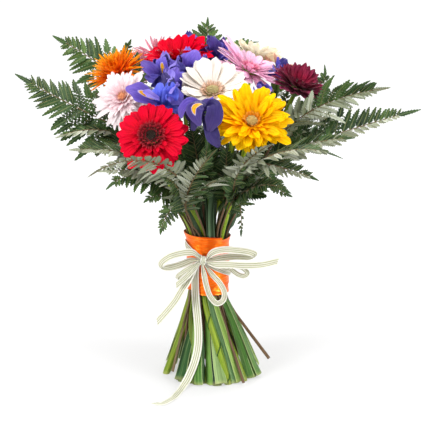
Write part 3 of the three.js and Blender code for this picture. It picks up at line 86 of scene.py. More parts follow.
         route=[(-41.8, 41.2, -5), (-39.7, 38.8, 4.8), (-37.5, 36.4, 14.7), (-35.3, 34, 24.5), (-33.1, 31.5, 34.3), (-30.8, 28.9, 44.1), (-28.4, 26.3, 53.8), (-25.8, 23.5, 63.4), (-23.2, 20.6, 73), (-20.8, 17.6, 82.6), (-18.7, 14.9, 92.4), (-17.2, 13.2, 102.4), (-16.2, 12.8, 112.7), (-15.2, 12.9, 123), (-14.1, 12.9, 133.3), (-12.8, 13, 143.6), (-11.5, 13, 153.9), (-10.1, 13.2, 164.1), (-8.6, 13.8, 174.3), (-6.7, 15.4, 184.4), (-4.4, 17.8, 194.2), (-1.7, 20.7, 203.7), (1, 23.8, 213.2), (3.8, 26.9, 222.7), (6.6, 30, 232.2), (9.3, 33.1, 241.7), (12, 36.1, 251.2), (14.7, 39.1, 260.7), (17.3, 42.1, 270.3), (19.9, 45, 279.9), (22.4, 47.8, 289.5), (25, 50.6, 299.2), (27.5, 53.3, 308.8), (29.9, 56, 318.5), (32.4, 58.7, 328.2), (34.8, 61.4, 337.9), (37.2, 64.3, 347.5), (39.5, 67.7, 357.1), (41.7, 71.3, 366.5), (43.8, 75, 375.9)]),
    dict(name="peach", P=(83.5, 65.9, 367.8), n=(0.521, 0.421, 0.742), R=34.4, cup=0.20,
         route=[(0.3, 51.6, -5), (-0.7, 47.4, 4.2), (-1.6, 43.2, 13.3), (-2.5, 39, 22.5), (-3.5, 34.8, 31.7), (-4.4, 30.6, 40.8), (-5.4, 26.4, 50), (-6.3, 22.4, 59.3), (-7.2, 18.5, 68.6), (-8, 14.9, 78), (-8.7, 11.8, 87.6), (-9, 9.5, 97.5), (-8.8, 8.3, 107.6), (-8.3, 7.9, 117.7), (-7.5, 7.7, 127.8), (-6.6, 7.4, 137.9), (-5.6, 7, 147.9), (-4.5, 6.6, 158), (-3.2, 6.6, 168), (-1.2, 7.3, 178), (1.4, 8.8, 187.6), (4.8, 11, 196.9), (8.7, 13.6, 205.9), (12.8, 16.4, 214.7), (16.9, 19.2, 223.6), (21, 21.9, 232.4), (25, 24.7, 241.3), (29, 27.4, 250.2), (32.9, 30, 259.2), (36.7, 32.5, 268.2), (40.5, 35, 277.3), (44.2, 37.4, 286.4), (47.8, 39.8, 295.6), (51.5, 42.1, 304.7), (55.1, 44.4, 313.9), (58.7, 46.6, 323.1), (62.4, 49.1, 332.2), (66.4, 52, 341), (71, 55.7, 349.3), (75.9, 59.8, 357.1)]),
]
IRISES = [
    dict(name="left", P=(-64.5, -74.1, 359.4), n=(-0.15, -0.45, 0.88), R=40.0, cup=0.00,
         route=[(24.1, -57.7, -5), (21.3, -55.5, 3.9), (18.6, -53.3, 12.7), (15.8, -51.1, 21.6), (13.1, -48.8, 30.4), (10.3, -46.5, 39.3), (7.5, -44.2, 48.1), (4.8, -41.8, 56.9), (2, -39.5, 65.8), (-0.8, -37, 74.6), (-3.5, -34.4, 83.3), (-6, -31.6, 92.1), (-8.4, -29.4, 101.1), (-10.5, -28.2, 110.3), (-12.5, -27.1, 119.6), (-14.4, -25.9, 128.8), (-16.2, -24.7, 138.1), (-17.8, -23.5, 147.5), (-19.4, -22.6, 156.8), (-20.9, -22.1, 166.2), (-22.5, -22.3, 175.6), (-24.2, -23.2, 185), (-26.2, -24.8, 194.2), (-28.3, -27, 203.2), (-30.5, -29.4, 212.2), (-32.8, -31.9, 221.1), (-35, -34.4, 230.1), (-37.2, -36.8, 239), (-39.4, -39.2, 248), (-41.6, -41.5, 257), (-43.8, -43.8, 266), (-45.9, -46, 275), (-48.1, -48.2, 284.1), (-50.3, -50.3, 293.1), (-52.4, -52.4, 302.2), (-54.6, -54.5, 311.2), (-56.7, -56.8, 320.2), (-58.7, -59.6, 329.1), (-60.6, -63.3, 337.7), (-62.2, -67.3, 346.2)]),
    dict(name="middle", P=(-47.6, -46.1, 361.5), n=(0.05, -0.352, 0.935), R=35.9, cup=0.00,
         route=[(0.3, -70.4, -5), (-1, -65.8, 3.2), (-2.4, -61.2, 11.4), (-3.7, -56.6, 19.6), (-4.8, -52.1, 27.9), (-5.8, -47.6, 36.2), (-6.5, -43.3, 44.6), (-7.2, -39.1, 53.1), (-7.9, -35.1, 61.7), (-8.8, -31.1, 70.3), (-9.8, -27.4, 78.9), (-10.8, -24, 87.7), (-11.6, -21.3, 96.8), (-12.2, -19.6, 106.1), (-12.7, -18.5, 115.5), (-13.4, -17.6, 125), (-14.1, -16.7, 134.4), (-14.8, -15.9, 143.8), (-15.6, -15.1, 153.3), (-16.6, -14.7, 162.7), (-17.8, -14.7, 172.1), (-19.3, -15.3, 181.5), (-21, -16.2, 190.8), (-22.9, -17.4, 200), (-24.8, -18.6, 209.2), (-26.7, -19.9, 218.4), (-28.6, -21.2, 227.6), (-30.5, -22.5, 236.8), (-32.4, -23.8, 246.1), (-34.2, -25, 255.3), (-36, -26.3, 264.5), (-37.8, -27.4, 273.8), (-39.6, -28.6, 283), (-41.4, -29.7, 292.3), (-43.2, -30.8, 301.6), (-44.9, -31.9, 310.8), (-46.5, -33.4, 320.1), (-47.6, -35.3, 329.3), (-48.3, -37.8, 338.4), (-48.3, -40.8, 347.4)]),
    dict(name="upper", P=(-66.5, -16.1, 376.9), n=(-0.1, -0.151, 0.983), R=38.9, cup=0.00,
         route=[(-25.5, -64.9, -5), (-25.5, -62.7, 4.6), (-25.4, -60.2, 14.1), (-25.1, -57.4, 23.5), (-24.6, -53.9, 32.6), (-24.2, -49.8, 41.5), (-24, -45.1, 50.1), (-24, -39.9, 58.4), (-23.9, -34.6, 66.7), (-23.6, -29.7, 75.2), (-22.9, -25.3, 84), (-21.9, -21.7, 93), (-21, -18.5, 102.3), (-20.5, -15.8, 111.7), (-20.4, -13.6, 121.3), (-20.8, -12.3, 131), (-21.7, -11.6, 140.7), (-22.9, -11.4, 150.5), (-24.4, -11.5, 160.2), (-26, -11.7, 169.9), (-27.7, -11.8, 179.5), (-29.6, -12, 189.2), (-31.5, -12.1, 198.8), (-33.6, -12.2, 208.4), (-35.6, -12.3, 218), (-37.7, -12.3, 227.6), (-39.8, -12.2, 237.2), (-41.9, -12.2, 246.8), (-43.9, -12.1, 256.4), (-45.9, -12, 266), (-48, -11.9, 275.6), (-50, -11.8, 285.2), (-52, -11.7, 294.8), (-53.9, -11.5, 304.4), (-55.9, -11.4, 314), (-57.9, -11.2, 323.6), (-59.9, -11.2, 333.3), (-61.8, -11.6, 342.9), (-63.6, -12.6, 352.5), (-65, -13.8, 362.1)]),
    dict(name="centre", P=(-33.9, -2.1, 381.2), n=(0.05, -0.1, 0.994), R=39.2, cup=0.00,
         route=[(-46.1, -56.5, -5), (-43.9, -51.7, 3.4), (-41.8, -46.8, 11.8), (-39.7, -42, 20.2), (-37.5, -37.2, 28.6), (-35.3, -32.6, 37.1), (-32.8, -28.4, 45.7), (-30.1, -24.7, 54.5), (-27.4, -21.5, 63.4), (-24.7, -18.5, 72.5), (-22.3, -15.6, 81.6), (-20.2, -12.9, 90.9), (-18.5, -10.3, 100.4), (-17.3, -8, 109.9), (-16.6, -6.2, 119.6), (-16.3, -5.1, 129.5), (-16.4, -4.7, 139.4), (-16.9, -4.7, 149.3), (-17.7, -4.8, 159.1), (-18.5, -4.8, 169), (-19.5, -4.7, 178.9), (-20.4, -4.6, 188.7), (-21.4, -4.5, 198.6), (-22.3, -4.3, 208.5), (-23.2, -4, 218.3), (-24.2, -3.8, 228.2), (-25.1, -3.5, 238), (-26, -3.1, 247.9), (-26.9, -2.8, 257.8), (-27.8, -2.4, 267.6), (-28.6, -2, 277.5), (-29.5, -1.7, 287.3), (-30.4, -1.2, 297.2), (-31.2, -0.8, 307.1), (-32.1, -0.4, 316.9), (-32.9, 0, 326.8), (-33.7, 0.3, 336.7), (-34.4, 0.4, 346.6), (-34.7, 0.1, 356.4), (-34.7, -0.6, 366.3)]),
    dict(name="front", P=(-13.7, -103.1, 343.7), n=(-0.05, -0.782, 0.621), R=38.2, cup=0.00,
         route=[(46.6, -35.9, -5), (43.3, -34.5, 3.6), (40, -33.1, 12.2), (36.7, -31.7, 20.8), (33.4, -30.2, 29.4), (30.1, -28.8, 38), (26.8, -27.4, 46.6), (23.4, -25.9, 55.1), (20, -24.6, 63.7), (16.5, -23.4, 72.3), (12.9, -22.3, 80.8), (9.3, -21.4, 89.3), (6.2, -20.9, 98.1), (4.2, -21.4, 107.1), (2.7, -22.5, 116.3), (1.3, -23.8, 125.4), (-0.3, -25.1, 134.5), (-2.1, -26.2, 143.6), (-3.9, -27.1, 152.6), (-5.7, -28, 161.8), (-7, -29, 170.9), (-7.9, -30.5, 180.1), (-8.5, -32.6, 189.1), (-8.8, -35.3, 198), (-9, -38.2, 206.9), (-9.3, -41.2, 215.7), (-9.5, -44.2, 224.5), (-9.7, -47.2, 233.3), (-9.9, -50.1, 242.2), (-10.2, -53.1, 251), (-10.5, -56, 259.8), (-10.8, -58.9, 268.7), (-11.1, -61.8, 277.5), (-11.4, -64.7, 286.4), (-11.7, -67.6, 295.2), (-12.1, -70.6, 304.1), (-12.3, -74.1, 312.7), (-12.5, -78.9, 320.7), (-12.7, -84.7, 327.9), (-13, -91.4, 334.4)]),
    dict(name="top", P=(-36.9, 95.9, 387.4), n=(0, 0.15, 0.989), R=38.8, cup=0.00,
         route=[(-59, 23.4, -5), (-56, 21.9, 4.7), (-53, 20.3, 14.4), (-50, 18.8, 24.1), (-47, 17.2, 33.9), (-44, 15.6, 43.6), (-41, 13.9, 53.3), (-38.1, 12.3, 63), (-35.2, 10.6, 72.7), (-32.4, 8.9, 82.5), (-29.8, 7.4, 92.3), (-27.9, 6.6, 102.4), (-27, 6.9, 112.6), (-26.2, 7.5, 122.8), (-25.4, 8.2, 133.1), (-24.4, 8.9, 143.3), (-23.3, 9.6, 153.5), (-22.3, 10.5, 163.7), (-21.6, 11.7, 173.9), (-21.5, 14.1, 183.9), (-22, 17.5, 193.5), (-22.9, 21.7, 202.9), (-23.9, 26.1, 212.1), (-24.9, 30.6, 221.3), (-26, 35, 230.5), (-27, 39.4, 239.8), (-27.9, 43.8, 249), (-28.9, 48.2, 258.3), (-29.7, 52.4, 267.6), (-30.5, 56.6, 277), (-31.3, 60.8, 286.4), (-32, 64.9, 295.8), (-32.7, 68.9, 305.2), (-33.4, 72.9, 314.7), (-34, 76.8, 324.1), (-34.7, 80.8, 333.6), (-35.3, 84.6, 343.1), (-36, 88.3, 352.7), (-36.6, 91.4, 362.5), (-36.9, 93.7, 372.5)]),
    dict(name="rear", P=(-3.3, 49.9, 383.7), n=(0.1, 0.05, 0.994), R=37.8, cup=0.00,
         route=[(-21.4, 51, -5), (-21.3, 46.4, 3.9), (-21.3, 41.8, 12.7), (-21.2, 37.1, 21.6), (-21.1, 32.5, 30.4), (-20.6, 27.9, 39.3), (-20, 23.4, 48.2), (-19, 19.1, 57.2), (-18, 15, 66.3), (-17.2, 11.2, 75.4), (-16.5, 7.7, 84.8), (-16.1, 5.2, 94.5), (-15.7, 3.8, 104.3), (-15.3, 3.4, 114.3), (-14.7, 3.5, 124.3), (-14.1, 3.6, 134.3), (-13.5, 3.6, 144.3), (-12.8, 3.6, 154.2), (-12.2, 3.9, 164.2), (-11.8, 4.7, 174.2), (-11.6, 6.3, 184), (-11.6, 8.4, 193.8), (-11.5, 10.9, 203.5), (-11.5, 13.4, 213.2), (-11.3, 16, 222.8), (-11.2, 18.6, 232.5), (-10.9, 21.2, 242.1), (-10.6, 23.7, 251.8), (-10.3, 26.2, 261.5), (-9.9, 28.6, 271.2), (-9.5, 31, 280.9), (-9.1, 33.3, 290.6), (-8.7, 35.6, 300.3), (-8.2, 37.8, 310), (-7.7, 40, 319.8), (-7.2, 42.2, 329.5), (-6.8, 44.4, 339.3), (-6.2, 46.4, 349.1), (-5.6, 48.1, 358.9), (-4.8, 49.1, 368.8)]),
    dict(name="right", P=(76.5, 25.9, 369.1), n=(0.202, 0.05, 0.978), R=34.9, cup=0.00,
         route=[(21.7, 43.8, -5), (19.9, 40.7, 4.1), (18.1, 37.7, 13.2), (16.2, 34.6, 22.3), (14.3, 31.6, 31.4), (12.3, 28.5, 40.5), (10.3, 25.5, 49.6), (8.2, 22.5, 58.6), (6, 19.6, 67.7), (3.8, 16.7, 76.8), (1.7, 13.8, 85.9), (0.1, 11.3, 95.2), (-0.5, 9.7, 104.8), (-0.2, 9, 114.5), (0.5, 8.4, 124.3), (1.3, 7.7, 134), (2.3, 6.8, 143.7), (3.4, 5.7, 153.3), (4.5, 4.5, 163), (6.1, 3.5, 172.6), (8.3, 2.9, 182.1), (11.3, 3.1, 191.4), (14.8, 4, 200.4), (18.5, 5.2, 209.4), (22.2, 6.6, 218.3), (26, 8, 227.3), (29.7, 9.4, 236.2), (33.4, 10.8, 245.1), (37, 12.1, 254.1), (40.6, 13.5, 263.1), (44.2, 14.8, 272.1), (47.7, 16.1, 281.1), (51.2, 17.4, 290.2), (54.6, 18.6, 299.3), (58, 19.8, 308.4), (61.4, 21, 317.4), (64.8, 22.2, 326.6), (68.1, 23.3, 335.7), (71, 24.4, 345), (73.5, 25.1, 354.4)]),
    dict(name="hollow", P=(52.7, -54.1, 354.2), n=(0.201, -0.301, 0.932), R=33.4, cup=0.00,
         route=[(49.1, 9.6, -5), (45.7, 8.3, 3.6), (42.3, 6.9, 12.3), (38.9, 5.6, 20.9), (35.4, 4.2, 29.5), (31.8, 2.9, 38), (28.1, 1.5, 46.5), (24.3, 0.2, 55), (20.3, -1.1, 63.4), (16.3, -2.5, 71.7), (12.5, -3.8, 80.2), (9.1, -5, 88.9), (6.8, -6.2, 97.9), (5.6, -7.5, 107.1), (5.1, -8.8, 116.3), (4.7, -9.8, 125.6), (4.2, -10.2, 135), (3.8, -10.2, 144.4), (3.7, -10.1, 153.7), (3.9, -10.4, 163.1), (4.6, -11.3, 172.4), (5.8, -12.7, 181.6), (7.6, -14.4, 190.6), (9.8, -16.4, 199.5), (12.3, -18.5, 208.3), (14.9, -20.5, 217.1), (17.5, -22.6, 225.8), (20.1, -24.7, 234.6), (22.7, -26.7, 243.4), (25.2, -28.7, 252.2), (27.7, -30.7, 261), (30.2, -32.7, 269.8), (32.7, -34.7, 278.6), (35.1, -36.6, 287.5), (37.5, -38.6, 296.3), (39.9, -40.5, 305.2), (42.4, -42.5, 314), (45, -44.6, 322.7), (47.5, -47, 331.5), (49.7, -49.6, 340.2)]),
]
FERNS = [
    dict(name="upper_left",
         route=[(-45.2, -29.8, -5), (-44.1, -28.2, 6), (-43, -26.6, 17.1), (-41.9, -25, 28.1), (-40.8, -23.3, 39.2), (-39.8, -21.5, 50.2), (-38.7, -19.5, 61.1), (-37.7, -17.3, 72.1), (-36.6, -15, 83), (-35.6, -12.8, 94), (-35, -11, 105), (-34.8, -9.6, 116.1), (-34.8, -8.3, 127.3), (-34.7, -6.9, 138.4), (-34.7, -5.4, 149.5), (-34.7, -4, 160.6), (-35.2, -2.8, 171.7), (-36.9, -1.8, 182.8), (-39.9, -0.6, 193.5), (-43.7, 0.9, 203.9), (-47.7, 2.4, 214.3), (-51.7, 4, 224.6), (-55.7, 5.5, 235), (-59.7, 7.2, 245.3), (-63.6, 8.8, 255.7), (-67.4, 10.5, 266.1), (-71.1, 12.2, 276.6), (-74.8, 13.9, 287), (-78.3, 15.6, 297.5), (-81.9, 17.3, 308), (-85.4, 19.1, 318.5), (-88.9, 20.8, 329), (-93.2, 22.7, 339.2), (-99.6, 25.9, 347.7)],
         fronds=[
             dict(half=42, k=10, pts=[(-99.6, 25.9, 347.7), (-107.9, 30.7, 354.7), (-116.2, 34.8, 361.4), (-124.6, 38.1, 368.1), (-133.1, 40.8, 374.5), (-141.7, 42.7, 380.8), (-150.3, 43.9, 386.9), (-159.1, 44.4, 392.9), (-167.9, 44.1, 398.7), (-176.8, 43.1, 404.3), (-185.7, 41.5, 409.8), (-194.7, 39, 415.1), (-203.8, 35.9, 420.3)], nrm=[(0.21, -0.88, 0.42), (0.21, -0.88, 0.42), (0.21, -0.88, 0.42), (0.21, -0.88, 0.42), (0.21, -0.88, 0.42), (0.21, -0.88, 0.42), (0.21, -0.88, 0.42), (0.21, -0.88, 0.42), (0.21, -0.88, 0.42), (0.21, -0.88, 0.42), (0.21, -0.88, 0.42), (0.21, -0.88, 0.42), (0.21, -0.88, 0.42)]),
             dict(half=14, k=5, pts=[(-103.8, 37.9, 361.2), (-107, 39.5, 365.7), (-109.6, 40.8, 370.1), (-111.8, 41.9, 374.6), (-113.4, 42.8, 379.1), (-114.5, 43.5, 383.6), (-115.1, 43.9, 388.2), (-115.3, 44.1, 392.8), (-114.9, 44.1, 397.3), (-114, 43.9, 402), (-112.6, 43.5, 406.6), (-110.7, 42.8, 411.3), (-108.3, 41.9, 415.9)], nrm=[(0.33, -0.94, 0.1), (0.33, -0.94, 0.1), (0.33, -0.94, 0.1), (0.33, -0.94, 0.1), (0.33, -0.94, 0.1), (0.33, -0.94, 0.1), (0.33, -0.94, 0.1), (0.33, -0.94, 0.1), (0.33, -0.94, 0.1), (0.33, -0.94, 0.1), (0.33, -0.94, 0.1), (0.33, -0.94, 0.1), (0.33, -0.94, 0.1)]),
             dict(half=26, k=8, pts=[(-62.2, 8.2, 252), (-69.2, 4, 259.9), (-76.1, -0.2, 267.1), (-83, -4.3, 273.6), (-89.7, -8.4, 279.4), (-96.4, -12.5, 284.5), (-102.9, -16.4, 288.9), (-109.4, -20.4, 292.6), (-115.8, -24.2, 295.7), (-122.1, -28.1, 298), (-128.4, -31.8, 299.6), (-134.5, -35.5, 300.6), (-140.6, -39.2, 300.8)], nrm=[(0.28, 0.17, 0.94), (0.28, 0.17, 0.94), (0.28, 0.17, 0.94), (0.28, 0.17, 0.94), (0.28, 0.17, 0.94), (0.28, 0.17, 0.94), (0.28, 0.17, 0.94), (0.28, 0.17, 0.94), (0.28, 0.17, 0.94), (0.28, 0.17, 0.94), (0.28, 0.17, 0.94), (0.28, 0.17, 0.94), (0.28, 0.17, 0.94)]),
             dict(half=26, k=8, pts=[(-79.2, 16, 300), (-80.4, 22.4, 303.5), (-81.6, 28.7, 306.8), (-82.8, 35, 309.7), (-83.9, 41.2, 312.3), (-85.1, 47.3, 314.6), (-86.2, 53.3, 316.6), (-87.4, 59.2, 318.3), (-88.5, 65, 319.6), (-89.6, 70.8, 320.7), (-90.6, 76.5, 321.4), (-91.7, 82.1, 321.8), (-92.7, 87.6, 321.9)], nrm=[(0.06, -0.32, 0.94), (0.06, -0.32, 0.94), (0.06, -0.32, 0.94), (0.06, -0.32, 0.94), (0.06, -0.32, 0.94), (0.06, -0.32, 0.94), (0.06, -0.32, 0.94), (0.06, -0.32, 0.94), (0.06, -0.32, 0.94), (0.06, -0.32, 0.94), (0.06, -0.32, 0.94), (0.06, -0.32, 0.94), (0.06, -0.32, 0.94)]),
         ]),
    dict(name="left",
         route=[(-56.1, -59.7, 15), (-53.8, -55, 23.7), (-51.6, -50.2, 32.5), (-49.4, -45.4, 41.2), (-47.1, -40.6, 49.9), (-44.8, -35.8, 58.6), (-42.5, -31.1, 67.3), (-40.2, -26.5, 76.1), (-37.7, -22.3, 85), (-35.4, -18.7, 94.3), (-34, -16.6, 104.1), (-33.6, -16, 114.3), (-33.5, -16.3, 124.5), (-33.3, -16.7, 134.7), (-33.3, -16.8, 144.9), (-33.5, -16.4, 155.1), (-34, -15.7, 165.2), (-35.2, -15.3, 175.3), (-37.6, -15.7, 185.2), (-41.5, -16.8, 194.5), (-46, -18.5, 203.5), (-50.7, -20.4, 212.4), (-55.5, -22.3, 221.2), (-60.2, -24.2, 230), (-65, -26.1, 238.8), (-69.8, -27.9, 247.6), (-74.6, -29.7, 256.4), (-79.3, -31.4, 265.3), (-84, -33.1, 274.2), (-88.7, -34.7, 283.1), (-93.4, -36.4, 292), (-98.1, -38, 300.9), (-103.4, -39.8, 309.4), (-110.7, -42.1, 316)],
         fronds=[
             dict(half=42, k=12, pts=[(-110.7, -42.1, 316), (-121.2, -45.1, 321.1), (-131.6, -47.9, 326.4), (-142.1, -50.4, 331.7), (-152.6, -52.5, 337.2), (-163.1, -54.5, 342.8), (-173.7, -56.1, 348.5), (-184.3, -57.5, 354.3), (-194.9, -58.5, 360.1), (-205.5, -59.4, 366.1), (-216.1, -59.9, 372.3), (-226.8, -60.1, 378.5), (-237.5, -60.1, 384.8)], nrm=[(0.38, -0.79, 0.49), (0.38, -0.79, 0.49), (0.38, -0.79, 0.49), (0.38, -0.79, 0.49), (0.38, -0.79, 0.49), (0.38, -0.79, 0.49), (0.38, -0.79, 0.49), (0.38, -0.79, 0.49), (0.38, -0.79, 0.49), (0.38, -0.79, 0.49), (0.38, -0.79, 0.49), (0.38, -0.79, 0.49), (0.38, -0.79, 0.49)]),
             dict(half=20, k=7, pts=[(-126.9, -52.1, 315.2), (-132.2, -55.7, 317.1), (-137.4, -59, 318.5), (-142.7, -62.1, 319.6), (-148, -65, 320.3), (-153.3, -67.7, 320.7), (-158.7, -70.1, 320.7), (-164, -72.3, 320.3), (-169.4, -74.3, 319.5), (-174.8, -76.1, 318.4), (-180.1, -77.7, 316.9), (-185.5, -79, 315), (-191, -80.1, 312.8)], nrm=[(0.14, -0.4, 0.91), (0.14, -0.4, 0.91), (0.14, -0.4, 0.91), (0.14, -0.4, 0.91), (0.14, -0.4, 0.91), (0.14, -0.4, 0.91), (0.14, -0.4, 0.91), (0.14, -0.4, 0.91), (0.14, -0.4, 0.91), (0.14, -0.4, 0.91), (0.14, -0.4, 0.91), (0.14, -0.4, 0.91), (0.14, -0.4, 0.91)]),
             dict(half=24, k=8, pts=[(-101.6, -39.2, 306.9), (-106.1, -45.9, 305.8), (-110.9, -52.3, 304.9), (-115.9, -58.3, 304), (-121.2, -63.9, 303.3), (-126.8, -69.2, 302.6), (-132.6, -74.1, 302.1), (-138.7, -78.7, 301.7), (-145, -82.9, 301.4), (-151.6, -86.7, 301.2), (-158.5, -90.2, 301.1), (-165.7, -93.3, 301.1), (-173, -96.1, 301.3)], nrm=[(0.1, -0.7, 0.7), (0.1, -0.7, 0.7), (0.1, -0.7, 0.7), (0.1, -0.7, 0.7), (0.1, -0.7, 0.7), (0.1, -0.7, 0.7), (0.1, -0.7, 0.7), (0.1, -0.7, 0.7), (0.1, -0.7, 0.7), (0.1, -0.7, 0.7), (0.1, -0.7, 0.7), (0.1, -0.7, 0.7), (0.1, -0.7, 0.7)]),
             dict(half=26, k=8, pts=[(-72.2, -28.8, 252), (-78.2, -26.3, 258.3), (-84.1, -23.9, 264), (-90, -21.5, 269.1), (-95.8, -19.1, 273.7), (-101.5, -16.8, 277.8), (-107.2, -14.5, 281.3), (-112.7, -12.2, 284.3), (-118.2, -9.9, 286.7), (-123.7, -7.7, 288.5), (-129, -5.5, 289.8), (-134.3, -3.4, 290.6), (-139.5, -1.2, 290.8)], nrm=[(0.31, -0.13, 0.94), (0.31, -0.13, 0.94), (0.31, -0.13, 0.94), (0.31, -0.13, 0.94), (0.31, -0.13, 0.94), (0.31, -0.13, 0.94), (0.31, -0.13, 0.94), (0.31, -0.13, 0.94), (0.31, -0.13, 0.94), (0.31, -0.13, 0.94), (0.31, -0.13, 0.94), (0.31, -0.13, 0.94), (0.31, -0.13, 0.94)]),
         ]),
    dict(name="lower_left",
         route=[(-24.3, -41.1, -5), (-22.9, -40.4, 4.4), (-21.5, -39.7, 13.8), (-20.1, -39.1, 23.2), (-18.8, -38.7, 32.6), (-17.7, -38.5, 42.1), (-17, -38.3, 51.6), (-17.2, -37.8, 61.1), (-18.9, -36.6, 70.3), (-21.4, -34.2, 79.2), (-23.9, -31.1, 87.8), (-25.7, -28, 96.6), (-26.7, -26, 105.9), (-27.1, -25.3, 115.3), (-27.1, -25.3, 124.9), (-26.8, -25.5, 134.4), (-26.7, -25.7, 143.9), (-26.7, -25.6, 153.4), (-27.1, -25.6, 162.9), (-28.1, -25.7, 172.4), (-30.1, -26.7, 181.6), (-33.2, -29.2, 190.2), (-36.8, -32.8, 198.2), (-40.6, -37, 205.9), (-44.3, -41.4, 213.5), (-48, -45.9, 221.1), (-51.7, -50.4, 228.6), (-55.5, -55, 236), (-59.3, -59.5, 243.5), (-63, -64.1, 250.9), (-66.8, -68.7, 258.4), (-70.7, -73.2, 265.8), (-74.9, -77.6, 273.1), (-80.3, -82.1, 279.5)],
         fronds=[
             dict(half=25, k=7, pts=[(-80.3, -82.1, 279.5), (-87.2, -87, 284.8), (-94, -91.7, 289.5), (-100.6, -96.1, 293.6), (-107.1, -100.3, 297.1), (-113.4, -104.3, 300), (-119.5, -108.1, 302.3), (-125.4, -111.7, 303.9), (-131.2, -115, 305), (-136.8, -118.1, 305.5), (-142.3, -121, 305.3), (-147.5, -123.7, 304.6), (-152.7, -126.1, 303.2)], nrm=[(0.46, -0.3, 0.84), (0.46, -0.3, 0.84), (0.46, -0.3, 0.84), (0.46, -0.3, 0.84), (0.46, -0.3, 0.84), (0.46, -0.3, 0.84), (0.46, -0.3, 0.84), (0.46, -0.3, 0.84), (0.46, -0.3, 0.84), (0.46, -0.3, 0.84), (0.46, -0.3, 0.84), (0.46, -0.3, 0.84), (0.46, -0.3, 0.84)]),
             dict(half=22, k=7, pts=[(-70.4, -73, 265.4), (-74.8, -79.7, 268.7), (-79.4, -86.1, 271.6), (-84.2, -92.2, 274.1), (-89.3, -97.8, 276.4), (-94.5, -103.2, 278.3), (-100, -108.1, 279.8), (-105.8, -112.7, 281), (-111.7, -116.9, 281.8), (-117.9, -120.7, 282.3), (-124.3, -124.2, 282.5), (-130.9, -127.3, 282.3), (-137.8, -130.1, 281.8)], nrm=[(0.1, -0.6, 0.8), (0.1, -0.6, 0.8), (0.1, -0.6, 0.8), (0.1, -0.6, 0.8), (0.1, -0.6, 0.8), (0.1, -0.6, 0.8), (0.1, -0.6, 0.8), (0.1, -0.6, 0.8), (0.1, -0.6, 0.8), (0.1, -0.6, 0.8), (0.1, -0.6, 0.8), (0.1, -0.6, 0.8), (0.1, -0.6, 0.8)]),
         ]),
    dict(name="pale_left",
         route=[(32.2, -68.4, 3), (29.4, -64.9, 11.1), (26.6, -61.5, 19.2), (23.8, -58.1, 27.3), (21, -54.6, 35.3), (18.2, -51.2, 43.4), (15.4, -47.7, 51.5), (12.7, -44.4, 59.7), (9.9, -41, 67.8), (7.1, -37.8, 76), (4.1, -34.5, 84.1), (1.1, -31.6, 92.3), (-1.7, -29.7, 100.8), (-4, -29.4, 109.7), (-6.2, -29.9, 118.7), (-8.4, -30.3, 127.6), (-10.3, -30.6, 136.7), (-11.7, -30.8, 145.8), (-12.6, -30.8, 155), (-13.2, -31, 164.1), (-14.1, -31.8, 173.3), (-15.4, -34, 182.1), (-17.2, -37.9, 190.3), (-19.2, -42.9, 197.8), (-21.3, -48.3, 204.9), (-23.6, -53.9, 211.9), (-25.8, -59.5, 218.8), (-28, -65.2, 225.8), (-30.3, -70.9, 232.7), (-32.5, -76.6, 239.5), (-34.7, -82.4, 246.4), (-36.9, -88.2, 253.2), (-39.1, -93.9, 260.1), (-42, -100.1, 266.3)],
         fronds=[
             dict(half=24, k=8, pts=[(-42, -100.1, 266.3), (-49.6, -112, 275.4), (-57.4, -122.8, 283.2), (-65.3, -132.3, 289.5), (-73.5, -140.8, 294.5), (-81.8, -148, 298.1), (-90.3, -154.1, 300.3), (-98.9, -159, 301.1), (-107.7, -162.8, 300.5), (-116.8, -165.3, 298.6), (-125.9, -166.8, 295.2), (-135.3, -167, 290.5), (-144.8, -166.1, 284.3)], nrm=[(-0.27, 0.62, 0.74), (-0.27, 0.62, 0.74), (-0.27, 0.62, 0.74), (-0.27, 0.62, 0.74), (-0.27, 0.62, 0.74), (-0.27, 0.62, 0.74), (-0.27, 0.62, 0.74), (-0.27, 0.62, 0.74), (-0.27, 0.62, 0.74), (-0.27, 0.62, 0.74), (-0.27, 0.62, 0.74), (-0.27, 0.62, 0.74), (-0.27, 0.62, 0.74)]),
             dict(half=26, k=8, pts=[(-30.7, -72, 234), (-26.7, -77.4, 240.4), (-22.8, -82.7, 246.3), (-18.8, -87.9, 251.7), (-15, -93.1, 256.4), (-11.2, -98.2, 260.6), (-7.4, -103.3, 264.2), (-3.7, -108.3, 267.3), (-0.1, -113.2, 269.7), (3.5, -118, 271.6), (7.1, -122.8, 273), (10.6, -127.5, 273.8), (14.1, -132.2, 274)], nrm=[(-0.2, 0.27, 0.94), (-0.2, 0.27, 0.94), (-0.2, 0.27, 0.94), (-0.2, 0.27, 0.94), (-0.2, 0.27, 0.94), (-0.2, 0.27, 0.94), (-0.2, 0.27, 0.94), (-0.2, 0.27, 0.94), (-0.2, 0.27, 0.94), (-0.2, 0.27, 0.94), (-0.2, 0.27, 0.94), (-0.2, 0.27, 0.94), (-0.2, 0.27, 0.94)]),
         ]),
    dict(name="low_left",
